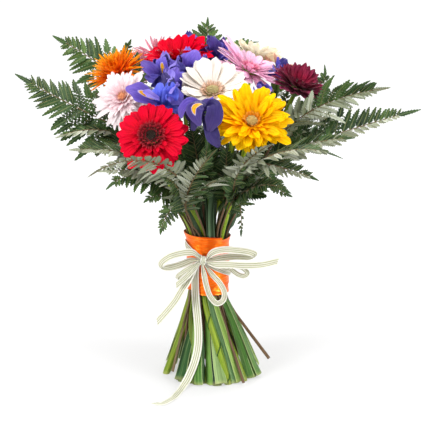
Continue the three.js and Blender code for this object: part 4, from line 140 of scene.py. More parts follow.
         route=[(-6.5, -42.9, -5), (-7.5, -41.6, 3), (-8.4, -40.4, 10.9), (-9.4, -39.1, 18.9), (-10.5, -37.9, 26.9), (-11.5, -36.7, 34.8), (-12.6, -35.5, 42.8), (-13.8, -34.5, 50.7), (-14.9, -33.6, 58.7), (-16, -32.8, 66.7), (-17.3, -32, 74.7), (-18.8, -31.2, 82.6), (-20.5, -30.2, 90.5), (-21.9, -29.2, 98.5), (-22.8, -28.4, 106.5), (-23.2, -28, 114.6), (-23.2, -28, 122.7), (-23, -28.1, 130.8), (-22.9, -28.2, 138.9), (-22.8, -28.2, 147.1), (-22.9, -28.2, 155.2), (-23.3, -28.2, 163.3), (-24.2, -28.4, 171.4), (-25.7, -29.2, 179.3), (-28, -31.1, 186.8), (-30.6, -34.2, 193.8), (-33.4, -37.9, 200.5), (-36.2, -41.9, 207), (-38.9, -46, 213.5), (-41.6, -50.1, 219.9), (-44.4, -54.2, 226.3), (-47.2, -58.3, 232.7), (-50.6, -62.3, 239), (-55, -66.1, 244.6)],
         fronds=[
             dict(half=24, k=7, pts=[(-55, -66.1, 244.6), (-62.8, -71.4, 251.4), (-70.3, -76.3, 257.1), (-77.6, -80.8, 261.8), (-84.5, -85, 265.4), (-91.2, -88.7, 267.9), (-97.6, -92.1, 269.4), (-103.7, -95.1, 269.9), (-109.5, -97.7, 269.3), (-115.1, -99.8, 267.6), (-120.3, -101.7, 264.9), (-125.2, -103.1, 261.1), (-129.9, -104.1, 256.3)], nrm=[(0.35, -0.44, 0.82), (0.35, -0.44, 0.82), (0.35, -0.44, 0.82), (0.35, -0.44, 0.82), (0.35, -0.44, 0.82), (0.35, -0.44, 0.82), (0.35, -0.44, 0.82), (0.35, -0.44, 0.82), (0.35, -0.44, 0.82), (0.35, -0.44, 0.82), (0.35, -0.44, 0.82), (0.35, -0.44, 0.82), (0.35, -0.44, 0.82)]),
             dict(half=16, k=5, pts=[(-50.4, -60.1, 238.4), (-53.4, -65.3, 240.8), (-56.4, -70.1, 242.7), (-59.5, -74.6, 244.3), (-62.5, -78.8, 245.4), (-65.5, -82.6, 246.1), (-68.6, -86.1, 246.5), (-71.6, -89.3, 246.4), (-74.7, -92.1, 245.9), (-77.7, -94.6, 245), (-80.8, -96.8, 243.7), (-83.9, -98.6, 241.9), (-86.9, -100.1, 239.8)], nrm=[(0.47, -0.4, 0.78), (0.47, -0.4, 0.78), (0.47, -0.4, 0.78), (0.47, -0.4, 0.78), (0.47, -0.4, 0.78), (0.47, -0.4, 0.78), (0.47, -0.4, 0.78), (0.47, -0.4, 0.78), (0.47, -0.4, 0.78), (0.47, -0.4, 0.78), (0.47, -0.4, 0.78), (0.47, -0.4, 0.78), (0.47, -0.4, 0.78)]),
             dict(half=14, k=5, pts=[(-40, -42.1, 219.5), (-43.4, -45.3, 221.3), (-46.6, -48.3, 222.4), (-49.6, -51.1, 222.8), (-52.5, -53.7, 222.4), (-55.2, -56, 221.3), (-57.8, -58.1, 219.4), (-60.2, -60, 216.8), (-62.5, -61.7, 213.4), (-64.6, -63.1, 209.3), (-66.5, -64.3, 204.5), (-68.3, -65.3, 199), (-69.9, -66.1, 192.7)], nrm=[(-0.23, -0.59, 0.78), (-0.23, -0.59, 0.78), (-0.23, -0.59, 0.78), (-0.23, -0.59, 0.78), (-0.23, -0.59, 0.78), (-0.23, -0.59, 0.78), (-0.23, -0.59, 0.78), (-0.23, -0.59, 0.78), (-0.23, -0.59, 0.78), (-0.23, -0.59, 0.78), (-0.23, -0.59, 0.78), (-0.23, -0.59, 0.78), (-0.23, -0.59, 0.78)]),
         ]),
    dict(name="top_back",
         route=[(-31, 25.8, -5), (-30.3, 24.1, 6.6), (-29.6, 22.5, 18.1), (-29, 20.8, 29.7), (-28.4, 19.2, 41.2), (-27.8, 17.5, 52.8), (-27.2, 15.8, 64.3), (-26.5, 14.3, 75.9), (-25.4, 13, 87.5), (-24, 12.2, 99), (-22.8, 12.1, 110.7), (-21.7, 12.5, 122.3), (-20.4, 13, 133.9), (-19, 13.5, 145.5), (-17.5, 14, 157.1), (-16.2, 14.7, 168.7), (-15.4, 16.5, 180.2), (-14.8, 20.1, 191.3), (-14.3, 24.6, 202), (-13.6, 29.4, 212.7), (-12.9, 34.2, 223.3), (-12.3, 39, 234), (-11.6, 43.8, 244.6), (-10.9, 48.6, 255.2), (-10.1, 53.3, 265.9), (-9.3, 57.9, 276.6), (-8.5, 62.4, 287.4), (-7.6, 66.8, 298.2), (-6.7, 71.2, 309), (-5.8, 75.5, 319.8), (-4.9, 79.8, 330.7), (-4, 84.1, 341.5), (-3.6, 89.1, 352), (-4.6, 95.9, 361.4)],
         fronds=[
             dict(half=24, k=6, pts=[(-4.6, 95.9, 361.4), (-6.5, 102.4, 368), (-8.1, 108.3, 374.5), (-9.5, 113.7, 380.9), (-10.7, 118.3, 387.2), (-11.7, 122.4, 393.5), (-12.5, 125.9, 399.7), (-13, 128.8, 405.9), (-13.4, 131, 412), (-13.5, 132.7, 418), (-13.4, 133.7, 423.9), (-13, 134.1, 429.8), (-12.5, 133.9, 435.6)], nrm=[(0.08, -0.88, 0.46), (0.08, -0.88, 0.46), (0.08, -0.88, 0.46), (0.08, -0.88, 0.46), (0.08, -0.88, 0.46), (0.08, -0.88, 0.46), (0.08, -0.88, 0.46), (0.08, -0.88, 0.46), (0.08, -0.88, 0.46), (0.08, -0.88, 0.46), (0.08, -0.88, 0.46), (0.08, -0.88, 0.46), (0.08, -0.88, 0.46)]),
             dict(half=20, k=5, pts=[(5.8, 103.9, 368.2), (9, 111.2, 373.5), (12.3, 117.9, 378.3), (15.8, 123.9, 382.7), (19.4, 129.2, 386.6), (23.2, 133.9, 390.1), (27.1, 137.9, 393.2), (31.2, 141.2, 395.9), (35.4, 143.9, 398.1), (39.8, 145.9, 399.9), (44.3, 147.2, 401.3), (49, 147.9, 402.2), (53.8, 147.9, 402.8)], nrm=[(-0.18, -0.48, 0.86), (-0.18, -0.48, 0.86), (-0.18, -0.48, 0.86), (-0.18, -0.48, 0.86), (-0.18, -0.48, 0.86), (-0.18, -0.48, 0.86), (-0.18, -0.48, 0.86), (-0.18, -0.48, 0.86), (-0.18, -0.48, 0.86), (-0.18, -0.48, 0.86), (-0.18, -0.48, 0.86), (-0.18, -0.48, 0.86), (-0.18, -0.48, 0.86)]),
             dict(half=26, k=8, pts=[(-11.1, 47.1, 252), (-16.8, 51.1, 258.7), (-22.4, 54.9, 264.7), (-28, 58.8, 270.2), (-33.5, 62.5, 275.2), (-38.9, 66.3, 279.5), (-44.3, 69.9, 283.2), (-49.6, 73.6, 286.4), (-54.8, 77.1, 288.9), (-59.9, 80.7, 290.9), (-65, 84.2, 292.3), (-70, 87.6, 293.1), (-74.9, 91, 293.3)], nrm=[(0.27, -0.19, 0.94), (0.27, -0.19, 0.94), (0.27, -0.19, 0.94), (0.27, -0.19, 0.94), (0.27, -0.19, 0.94), (0.27, -0.19, 0.94), (0.27, -0.19, 0.94), (0.27, -0.19, 0.94), (0.27, -0.19, 0.94), (0.27, -0.19, 0.94), (0.27, -0.19, 0.94), (0.27, -0.19, 0.94), (0.27, -0.19, 0.94)]),
             dict(half=26, k=8, pts=[(-7.9, 65.1, 294), (-3.5, 68.1, 296.9), (0.9, 71, 299.5), (5.2, 73.8, 301.9), (9.5, 76.6, 304), (13.7, 79.4, 305.9), (17.9, 82.2, 307.5), (22, 84.9, 308.9), (26, 87.6, 310), (30, 90.2, 310.9), (34, 92.8, 311.5), (37.9, 95.4, 311.8), (41.7, 97.9, 311.9)], nrm=[(-0.28, -0.18, 0.94), (-0.28, -0.18, 0.94), (-0.28, -0.18, 0.94), (-0.28, -0.18, 0.94), (-0.28, -0.18, 0.94), (-0.28, -0.18, 0.94), (-0.28, -0.18, 0.94), (-0.28, -0.18, 0.94), (-0.28, -0.18, 0.94), (-0.28, -0.18, 0.94), (-0.28, -0.18, 0.94), (-0.28, -0.18, 0.94), (-0.28, -0.18, 0.94)]),
         ]),
    dict(name="pale_right",
         route=[(13.1, 19.7, -5), (12.2, 17.7, 4.7), (11.3, 15.7, 14.4), (10.4, 13.7, 24.1), (9.4, 11.7, 33.8), (8.4, 9.7, 43.4), (7.3, 7.6, 53.1), (6.1, 5.6, 62.8), (4.9, 3.6, 72.4), (3.7, 1.7, 82.1), (2.7, 0.1, 91.9), (2.4, -1.2, 101.7), (3.1, -2.2, 111.6), (4.6, -3.2, 121.4), (6.3, -4.3, 131.1), (7.9, -5.5, 140.9), (9.1, -6.8, 150.6), (10, -8.3, 160.4), (10.9, -9.8, 170.2), (12.3, -11.4, 179.9), (15, -13, 189.3), (18.6, -14.9, 198.4), (22.7, -16.8, 207.3), (26.8, -18.7, 216.1), (31, -20.6, 224.9), (35.2, -22.5, 233.7), (39.4, -24.4, 242.5), (43.6, -26.3, 251.3), (47.9, -28.2, 260.1), (52.1, -30.1, 268.9), (56.3, -32, 277.7), (60.6, -33.8, 286.5), (65.3, -35.7, 295), (70.6, -38.1, 303.1)],
         fronds=[
             dict(half=40, k=11, pts=[(70.6, -38.1, 303.1), (77.8, -42, 312.3), (85.8, -45.2, 320.8), (94.4, -47.9, 328.7), (103.7, -49.9, 335.8), (113.8, -51.3, 342.2), (124.5, -52.1, 347.9), (136, -52.3, 352.9), (148.1, -51.9, 357.1), (161, -50.9, 360.7), (174.5, -49.2, 363.6), (188.8, -47, 365.7), (203.8, -44.1, 367.2)], nrm=[(-0.2, 0.84, 0.5), (-0.2, 0.84, 0.5), (-0.2, 0.84, 0.5), (-0.2, 0.84, 0.5), (-0.2, 0.84, 0.5), (-0.2, 0.84, 0.5), (-0.2, 0.84, 0.5), (-0.2, 0.84, 0.5), (-0.2, 0.84, 0.5), (-0.2, 0.84, 0.5), (-0.2, 0.84, 0.5), (-0.2, 0.84, 0.5), (-0.2, 0.84, 0.5)]),
             dict(half=11, k=5, pts=[(88.2, -24.1, 315.5), (95.7, -21.9, 320.4), (102.6, -19.9, 325.5), (108.7, -18.1, 330.9), (114, -16.5, 336.5), (118.6, -15.2, 342.4), (122.5, -14.1, 348.4), (125.7, -13.2, 354.7), (128.1, -12.5, 361.3), (129.8, -12.1, 368.1), (130.8, -11.9, 375.1), (131, -11.9, 382.3), (130.5, -12.1, 389.8)], nrm=[(0.44, -0.89, -0.11), (0.44, -0.89, -0.11), (0.44, -0.89, -0.11), (0.44, -0.89, -0.11), (0.44, -0.89, -0.11), (0.44, -0.89, -0.11), (0.44, -0.89, -0.11), (0.44, -0.89, -0.11), (0.44, -0.89, -0.11), (0.44, -0.89, -0.11), (0.44, -0.89, -0.11), (0.44, -0.89, -0.11), (0.44, -0.89, -0.11)]),
             dict(half=26, k=8, pts=[(38.2, -23.9, 240), (43.6, -19.5, 246.6), (48.9, -15.3, 252.7), (54.1, -11, 258.1), (59.2, -6.9, 263), (64.3, -2.8, 267.3), (69.4, 1.3, 271), (74.3, 5.3, 274.2), (79.2, 9.3, 276.7), (84, 13.2, 278.7), (88.8, 17, 280.1), (93.5, 20.8, 280.9), (98.1, 24.5, 281.1)], nrm=[(-0.26, -0.21, 0.94), (-0.26, -0.21, 0.94), (-0.26, -0.21, 0.94), (-0.26, -0.21, 0.94), (-0.26, -0.21, 0.94), (-0.26, -0.21, 0.94), (-0.26, -0.21, 0.94), (-0.26, -0.21, 0.94), (-0.26, -0.21, 0.94), (-0.26, -0.21, 0.94), (-0.26, -0.21, 0.94), (-0.26, -0.21, 0.94), (-0.26, -0.21, 0.94)]),
         ]),
    dict(name="long_right",
         route=[(27.2, 12.4, -5), (25.6, 11.4, 4.3), (24.1, 10.4, 13.5), (22.5, 9.5, 22.8), (21, 8.5, 32), (19.5, 7.6, 41.3), (18.1, 6.8, 50.6), (16.8, 5.9, 59.9), (15.6, 4.9, 69.2), (14.2, 3.6, 78.5), (12.5, 1.9, 87.6), (10.7, 0, 96.6), (9.9, -2, 105.8), (10, -4, 115), (10.2, -6, 124.2), (10.3, -8, 133.5), (10.2, -10, 142.7), (10, -11.8, 151.9), (9.8, -13.5, 161.2), (9.9, -15.2, 170.5), (10.8, -17.1, 179.7), (13, -19.4, 188.6), (16.2, -22.1, 197), (19.9, -24.8, 205.3), (23.6, -27.6, 213.5), (27.4, -30.5, 221.6), (31.3, -33.4, 229.7), (35.1, -36.3, 237.8), (39, -39.2, 245.9), (42.9, -42.2, 254), (46.8, -45.1, 262.1), (50.9, -47.9, 270.1), (55.9, -50.4, 277.7), (63, -52.1, 283.5)],
         fronds=[
             dict(half=36, k=11, pts=[(63, -52.1, 283.5), (78.4, -53.7, 289.8), (93.6, -55.2, 295.9), (108.7, -56.6, 301.7), (123.7, -57.9, 307.3), (138.5, -59, 312.7), (153.1, -60.1, 317.8), (167.6, -61, 322.7), (181.9, -61.9, 327.3), (196, -62.6, 331.8), (210, -63.2, 336), (223.9, -63.7, 339.9), (237.6, -64.1, 343.7)], nrm=[(-0.22, -0.86, 0.46), (-0.22, -0.86, 0.46), (-0.22, -0.86, 0.46), (-0.22, -0.86, 0.46), (-0.22, -0.86, 0.46), (-0.22, -0.86, 0.46), (-0.22, -0.86, 0.46), (-0.22, -0.86, 0.46), (-0.22, -0.86, 0.46), (-0.22, -0.86, 0.46), (-0.22, -0.86, 0.46), (-0.22, -0.86, 0.46), (-0.22, -0.86, 0.46)]),
             dict(half=20, k=6, pts=[(77.1, -58.1, 292), (84, -61.9, 295.2), (90.9, -65.4, 298.1), (97.8, -68.8, 300.9), (104.7, -72.1, 303.3), (111.6, -75.2, 305.6), (118.5, -78.1, 307.6), (125.4, -80.8, 309.4), (132.2, -83.4, 311), (139.1, -85.8, 312.3), (145.9, -88.1, 313.4), (152.7, -90.2, 314.2), (159.5, -92.1, 314.8)], nrm=[(-0.41, -0.48, 0.78), (-0.41, -0.48, 0.78), (-0.41, -0.48, 0.78), (-0.41, -0.48, 0.78), (-0.41, -0.48, 0.78), (-0.41, -0.48, 0.78), (-0.41, -0.48, 0.78), (-0.41, -0.48, 0.78), (-0.41, -0.48, 0.78), (-0.41, -0.48, 0.78), (-0.41, -0.48, 0.78), (-0.41, -0.48, 0.78), (-0.41, -0.48, 0.78)]),
             dict(half=15, k=5, pts=[(53.9, -49.6, 275.1), (56.4, -53.5, 270.5), (58.9, -57.1, 266.2), (61.5, -60.4, 262.3), (64.2, -63.3, 258.7), (67, -65.9, 255.4), (69.8, -68.1, 252.4), (72.8, -70, 249.8), (75.8, -71.5, 247.4), (78.9, -72.7, 245.4), (82.1, -73.5, 243.8), (85.4, -74, 242.4), (88.8, -74.1, 241.4)], nrm=[(0.41, -0.82, 0.41), (0.41, -0.82, 0.41), (0.41, -0.82, 0.41), (0.41, -0.82, 0.41), (0.41, -0.82, 0.41), (0.41, -0.82, 0.41), (0.41, -0.82, 0.41), (0.41, -0.82, 0.41), (0.41, -0.82, 0.41), (0.41, -0.82, 0.41), (0.41, -0.82, 0.41), (0.41, -0.82, 0.41), (0.41, -0.82, 0.41)]),
             dict(half=26, k=8, pts=[(36.2, -37.1, 240), (35.8, -43.9, 246.6), (35.5, -50.7, 252.6), (35.2, -57.4, 258.1), (34.9, -64, 262.9), (34.5, -70.5, 267.2), (34.2, -76.9, 270.9), (33.9, -83.2, 274), (33.6, -89.5, 276.5), (33.3, -95.6, 278.5), (33, -101.7, 279.9), (32.7, -107.7, 280.7), (32.4, -113.6, 280.9)], nrm=[(0.02, 0.33, 0.94), (0.02, 0.33, 0.94), (0.02, 0.33, 0.94), (0.02, 0.33, 0.94), (0.02, 0.33, 0.94), (0.02, 0.33, 0.94), (0.02, 0.33, 0.94), (0.02, 0.33, 0.94), (0.02, 0.33, 0.94), (0.02, 0.33, 0.94), (0.02, 0.33, 0.94), (0.02, 0.33, 0.94), (0.02, 0.33, 0.94)]),
         ]),
    dict(name="low_right",
         route=[(64.7, -39.1, 25), (59.2, -36.7, 31.9), (53.8, -34.3, 38.7), (48.3, -31.9, 45.6), (42.8, -29.5, 52.4), (37.3, -27.1, 59.3), (31.9, -24.7, 66.2), (26.4, -22.3, 73), (21.1, -20, 80.1), (16.5, -18, 87.6), (12.3, -16.7, 95.6), (9.6, -16.7, 104.2), (8.1, -17.8, 113.1), (7.1, -19.3, 122), (5.9, -20.9, 130.9), (4.5, -22.6, 139.7), (3, -24.3, 148.6), (1.4, -25.9, 157.4), (0.1, -27.4, 166.3), (-0.7, -29.1, 175.1), (-0.6, -31.9, 183.8), (0.4, -35.9, 191.9), (1.9, -40.8, 199.3), (3.7, -46.1, 206.5), (5.6, -51.5, 213.6), (7.5, -56.9, 220.7), (9.4, -62.3, 227.7), (11.4, -67.8, 234.8), (13.3, -73.2, 241.8), (15.3, -78.7, 248.8), (17.2, -84.2, 255.8), (19.2, -89.6, 262.8), (21.9, -94.8, 269.7), (26, -100.1, 275.8)],
         fronds=[
             dict(half=28, k=9, pts=[(26, -100.1, 275.8), (35.9, -109.2, 284.3), (45.8, -117.4, 291.6), (55.5, -124.8, 297.8), (65.2, -131.4, 302.9), (74.7, -137.2, 306.8), (84.2, -142.1, 309.6), (93.6, -146.2, 311.3), (102.8, -149.4, 311.8), (112, -151.8, 311.2), (121.1, -153.4, 309.5), (130.1, -154.2, 306.6), (138.9, -154.1, 302.6)], nrm=[(-0.32, -0.2, 0.93), (-0.32, -0.2, 0.93), (-0.32, -0.2, 0.93), (-0.32, -0.2, 0.93), (-0.32, -0.2, 0.93), (-0.32, -0.2, 0.93), (-0.32, -0.2, 0.93), (-0.32, -0.2, 0.93), (-0.32, -0.2, 0.93), (-0.32, -0.2, 0.93), (-0.32, -0.2, 0.93), (-0.32, -0.2, 0.93), (-0.32, -0.2, 0.93)]),
             dict(half=20, k=6, pts=[(21.4, -94.1, 269.8), (23.4, -100.3, 275), (25.6, -106.1, 279.9), (28.1, -111.3, 284.5), (30.8, -116.1, 288.9), (33.8, -120.3, 293.1), (37, -124.1, 297), (40.5, -127.3, 300.7), (44.2, -130.1, 304.1), (48.2, -132.3, 307.3), (52.4, -134.1, 310.3), (56.9, -135.3, 313), (61.7, -136.1, 315.5)], nrm=[(-0.08, 0.69, 0.71), (-0.08, 0.69, 0.71), (-0.08, 0.69, 0.71), (-0.08, 0.69, 0.71), (-0.08, 0.69, 0.71), (-0.08, 0.69, 0.71), (-0.08, 0.69, 0.71), (-0.08, 0.69, 0.71), (-0.08, 0.69, 0.71), (-0.08, 0.69, 0.71), (-0.08, 0.69, 0.71), (-0.08, 0.69, 0.71), (-0.08, 0.69, 0.71)]),
             dict(half=20, k=6, pts=[(45.8, -117.4, 291.6), (52.3, -121.4, 290.8), (58.6, -125.1, 290), (64.8, -128.3, 289), (70.8, -131.3, 287.9), (76.8, -133.9, 286.6), (82.5, -136.1, 285.3), (88.2, -138, 283.8), (93.7, -139.5, 282.3), (99.1, -140.7, 280.6), (104.3, -141.5, 278.8), (109.4, -142, 276.9), (114.3, -142.1, 274.8)], nrm=[(0.1, -0.6, 0.8), (0.1, -0.6, 0.8), (0.1, -0.6, 0.8), (0.1, -0.6, 0.8), (0.1, -0.6, 0.8), (0.1, -0.6, 0.8), (0.1, -0.6, 0.8), (0.1, -0.6, 0.8), (0.1, -0.6, 0.8), (0.1, -0.6, 0.8), (0.1, -0.6, 0.8), (0.1, -0.6, 0.8), (0.1, -0.6, 0.8)]),
         ]),
    dict(name="drop_right",
         route=[(28.4, -8.1, -5), (27.3, -8.1, 2.6), (26.3, -8, 10.2), (25.2, -8, 17.9), (24.1, -8, 25.5), (23.1, -7.9, 33.1), (22, -7.9, 40.7), (20.9, -8.1, 48.3), (19.9, -8.4, 56), (18.7, -9, 63.5), (17.5, -9.6, 71.1), (16.1, -10.1, 78.7), (14.3, -10.5, 86.1), (12.5, -10.9, 93.6), (11, -11.5, 101.1), (10.1, -12.5, 108.7), (9.5, -13.9, 116.3), (9, -15.4, 123.8), (8.3, -17, 131.3), (7.5, -18.7, 138.7), (6.5, -20.4, 146.2), (5.5, -22, 153.6), (4.5, -23.4, 161.1), (3.6, -24.9, 168.6), (3.2, -26.6, 176.1), (3.5, -29, 183.4), (4.4, -32.1, 190.4), (5.9, -35.7, 197), (7.7, -39.7, 203.4), (9.5, -43.7, 209.7), (11.4, -47.7, 215.9), (13.6, -51.7, 222.2), (16.3, -55.7, 228.1), (19.6, -60.1, 233.5)],
         fronds=[
             dict(half=24, k=7, pts=[(19.6, -60.1, 233.5), (25.1, -66.7, 239.9), (30.5, -72.8, 245.4), (35.9, -78.3, 250), (41.4, -83.4, 253.8), (46.8, -88, 256.6), (52.2, -92.1, 258.6), (57.6, -95.7, 259.7), (63, -98.8, 259.9), (68.4, -101.3, 259.3), (73.8, -103.4, 257.7), (79.2, -105, 255.3), (84.6, -106.1, 251.9)], nrm=[(-0.45, -0.29, 0.84), (-0.45, -0.29, 0.84), (-0.45, -0.29, 0.84), (-0.45, -0.29, 0.84), (-0.45, -0.29, 0.84), (-0.45, -0.29, 0.84), (-0.45, -0.29, 0.84), (-0.45, -0.29, 0.84), (-0.45, -0.29, 0.84), (-0.45, -0.29, 0.84), (-0.45, -0.29, 0.84), (-0.45, -0.29, 0.84), (-0.45, -0.29, 0.84)]),
             dict(half=8, k=4, pts=[(17.3, -54.1, 227.2), (19.4, -58.4, 230.1), (21.3, -62.3, 232), (23, -65.8, 232.9), (24.4, -69, 232.7), (25.7, -71.7, 231.4), (26.7, -74.1, 229.2), (27.4, -76.1, 225.9), (28, -77.7, 221.5), (28.3, -78.8, 216.1), (28.4, -79.7, 209.6), (28.3, -80.1, 202.2), (27.9, -80.1, 193.6)], nrm=[(0.57, -0.55, 0.61), (0.57, -0.55, 0.61), (0.57, -0.55, 0.61), (0.57, -0.55, 0.61), (0.57, -0.55, 0.61), (0.57, -0.55, 0.61), (0.57, -0.55, 0.61), (0.57, -0.55, 0.61), (0.57, -0.55, 0.61), (0.57, -0.55, 0.61), (0.57, -0.55, 0.61), (0.57, -0.55, 0.61), (0.57, -0.55, 0.61)]),
             dict(half=17, k=6, pts=[(19.6, -60.1, 233.5), (18.9, -68.2, 240), (18.6, -75.7, 246.3), (18.7, -82.6, 252.3), (19.2, -89, 258), (20.1, -94.8, 263.5), (21.3, -100.1, 268.7), (23, -104.8, 273.6), (25, -109, 278.2), (27.5, -112.6, 282.5), (30.3, -115.7, 286.6), (33.5, -118.2, 290.4), (37.1, -120.1, 293.9)], nrm=[(0.1, -0.8, 0.6), (0.1, -0.8, 0.6), (0.1, -0.8, 0.6), (0.1, -0.8, 0.6), (0.1, -0.8, 0.6), (0.1, -0.8, 0.6), (0.1, -0.8, 0.6), (0.1, -0.8, 0.6), (0.1, -0.8, 0.6), (0.1, -0.8, 0.6), (0.1, -0.8, 0.6), (0.1, -0.8, 0.6), (0.1, -0.8, 0.6)]),
         ]),
    dict(name="front",
         route=[(23.7, -26.1, -5), (22.5, -26.1, 2.2), (21.3, -26.1, 9.4), (20.1, -26.1, 16.6), (18.9, -26.1, 23.9), (17.7, -26.1, 31.1), (16.4, -26.1, 38.3), (15.2, -26.2, 45.5), (14, -26.3, 52.7), (12.6, -26.5, 59.9), (11.1, -26.7, 67.1), (9.4, -26.9, 74.2), (7.5, -27, 81.3), (5.5, -26.8, 88.3), (3.5, -26.6, 95.3), (1.6, -26.6, 102.4), (-0.1, -26.9, 109.5), (-1.9, -27.3, 116.6), (-3.9, -27.5, 123.6), (-6, -27.4, 130.6), (-8.1, -27.2, 137.6), (-10.3, -26.9, 144.6), (-12.4, -26.9, 151.6), (-14.5, -27.3, 158.6), (-16.6, -28.2, 165.6), (-18.6, -29.5, 172.5), (-21, -31.2, 179.2), (-23.8, -33.8, 185.4), (-27.1, -37.2, 191), (-30.5, -41, 196.2), (-33.8, -45.1, 201.3), (-36.3, -49.1, 206.9), (-37.8, -53.3, 212.7), (-38.4, -58.1, 218.1)],
         fronds=[
             dict(half=22, k=7, pts=[(-38.4, -58.1, 218.1), (-38.5, -67.2, 226.2), (-37.9, -75.7, 234.1), (-36.8, -83.6, 241.9), (-35.2, -91, 249.6), (-33, -97.8, 257.2), (-30.2, -104.1, 264.7), (-26.9, -109.8, 272.1), (-23.1, -115, 279.4), (-18.7, -119.6, 286.5), (-13.7, -123.7, 293.6), (-8.2, -127.2, 300.6), (-2.2, -130.1, 307.4)], nrm=[(0.19, 0.8, 0.57), (0.19, 0.8, 0.57), (0.19, 0.8, 0.57), (0.19, 0.8, 0.57), (0.19, 0.8, 0.57), (0.19, 0.8, 0.57), (0.19, 0.8, 0.57), (0.19, 0.8, 0.57), (0.19, 0.8, 0.57), (0.19, 0.8, 0.57), (0.19, 0.8, 0.57), (0.19, 0.8, 0.57), (0.19, 0.8, 0.57)]),
             dict(half=18, k=6, pts=[(-38.5, -62.7, 222.2), (-39.8, -69.5, 229.6), (-41.3, -76, 236.6), (-43, -82.1, 242.9), (-44.8, -87.8, 248.7), (-46.9, -93.1, 254), (-49.2, -98.1, 258.7), (-51.6, -102.7, 262.8), (-54.3, -106.9, 266.4), (-57.2, -110.8, 269.4), (-60.3, -114.3, 271.8), (-63.5, -117.4, 273.7), (-67, -120.1, 275.1)], nrm=[(0, -0.8, 0.6), (0, -0.8, 0.6), (0, -0.8, 0.6), (0, -0.8, 0.6), (0, -0.8, 0.6), (0, -0.8, 0.6), (0, -0.8, 0.6), (0, -0.8, 0.6), (0, -0.8, 0.6), (0, -0.8, 0.6), (0, -0.8, 0.6), (0, -0.8, 0.6), (0, -0.8, 0.6)]),
         ]),
    dict(name="core_left",
         route=[(9.5, -33.5, -5), (8.7, -32.4, 1.8), (7.8, -31.2, 8.6), (7, -30, 15.4), (6.1, -28.8, 22.2), (5.2, -27.6, 29), (4.3, -26.4, 35.8), (3.4, -25.1, 42.6), (2.5, -23.9, 49.4), (1.6, -22.7, 56.1), (0.7, -21.4, 62.9), (-0.3, -20.2, 69.7), (-1.3, -19.1, 76.5), (-2.3, -18, 83.3), (-3.3, -17.1, 90.1), (-4.3, -16.4, 97), (-5.2, -15.9, 103.8), (-6, -15.5, 110.7), (-6.6, -15.3, 117.7), (-7, -15, 124.6), (-7.3, -14.8, 131.6), (-7.7, -14.6, 138.5), (-8.2, -14.7, 145.4), (-8.8, -15.1, 152.4), (-9.5, -15.7, 159.2), (-10.5, -16.7, 166.1), (-11.6, -17.8, 172.9), (-12.8, -19, 179.6), (-14, -20.4, 186.3), (-15.3, -21.8, 193), (-16.5, -23.4, 199.7), (-17.3, -25.3, 206.3), (-17.7, -27.6, 212.8), (-18.1, -30.1, 219.3)],
         fronds=[
             dict(half=30, k=8, pts=[(-18.1, -30.1, 219.3), (-19.1, -34.7, 231.2), (-20.1, -39, 242.6), (-21.2, -42.9, 253.5), (-22.4, -46.3, 264), (-23.7, -49.4, 274), (-25, -52.1, 283.5), (-26.4, -54.4, 292.6), (-27.8, -56.3, 301.2), (-29.3, -57.9, 309.4), (-30.9, -59, 317.1), (-32.6, -59.7, 324.3), (-34.3, -60.1, 331)], nrm=[(0.09, -0.97, -0.25), (0.09, -0.97, -0.25), (0.09, -0.97, -0.25), (0.09, -0.97, -0.25), (0.09, -0.97, -0.25), (0.09, -0.97, -0.25), (0.09, -0.97, -0.25), (0.09, -0.97, -0.25), (0.09, -0.97, -0.25), (0.09, -0.97, -0.25), (0.09, -0.97, -0.25), (0.09, -0.97, -0.25), (0.09, -0.97, -0.25)]),
             dict(half=19, k=7, pts=[(-19.1, -34.7, 231.2), (-18.4, -49.4, 240.1), (-17.7, -62.7, 248.8), (-17, -74.6, 257.2), (-16.3, -85.1, 265.4), (-15.6, -94.3, 273.3), (-15, -102.1, 281), (-14.4, -108.5, 288.4), (-13.7, -113.6, 295.6), (-13.1, -117.3, 302.6), (-12.5, -119.6, 309.3), (-11.9, -120.5, 315.8), (-11.4, -120.1, 322)], nrm=[(0, -0.8, 0.6), (0, -0.8, 0.6), (0, -0.8, 0.6), (0, -0.8, 0.6), (0, -0.8, 0.6), (0, -0.8, 0.6), (0, -0.8, 0.6), (0, -0.8, 0.6), (0, -0.8, 0.6), (0, -0.8, 0.6), (0, -0.8, 0.6), (0, -0.8, 0.6), (0, -0.8, 0.6)]),
             dict(half=20, k=6, pts=[(-19.1, -34.7, 231.2), (-24.1, -45.6, 238.4), (-28.7, -55.6, 245.1), (-33, -64.6, 251.5), (-36.9, -72.7, 257.5), (-40.4, -79.9, 263.1), (-43.5, -86.1, 268.2), (-46.3, -91.4, 273), (-48.7, -95.8, 277.4), (-50.8, -99.3, 281.4), (-52.4, -101.8, 284.9), (-53.7, -103.4, 288.1), (-54.6, -104.1, 290.9)], nrm=[(-0.1, -0.86, 0.5), (-0.1, -0.86, 0.5), (-0.1, -0.86, 0.5), (-0.1, -0.86, 0.5), (-0.1, -0.86, 0.5), (-0.1, -0.86, 0.5), (-0.1, -0.86, 0.5), (-0.1, -0.86, 0.5), (-0.1, -0.86, 0.5), (-0.1, -0.86, 0.5), (-0.1, -0.86, 0.5), (-0.1, -0.86, 0.5), (-0.1, -0.86, 0.5)]),
         ]),
    dict(name="core_right",
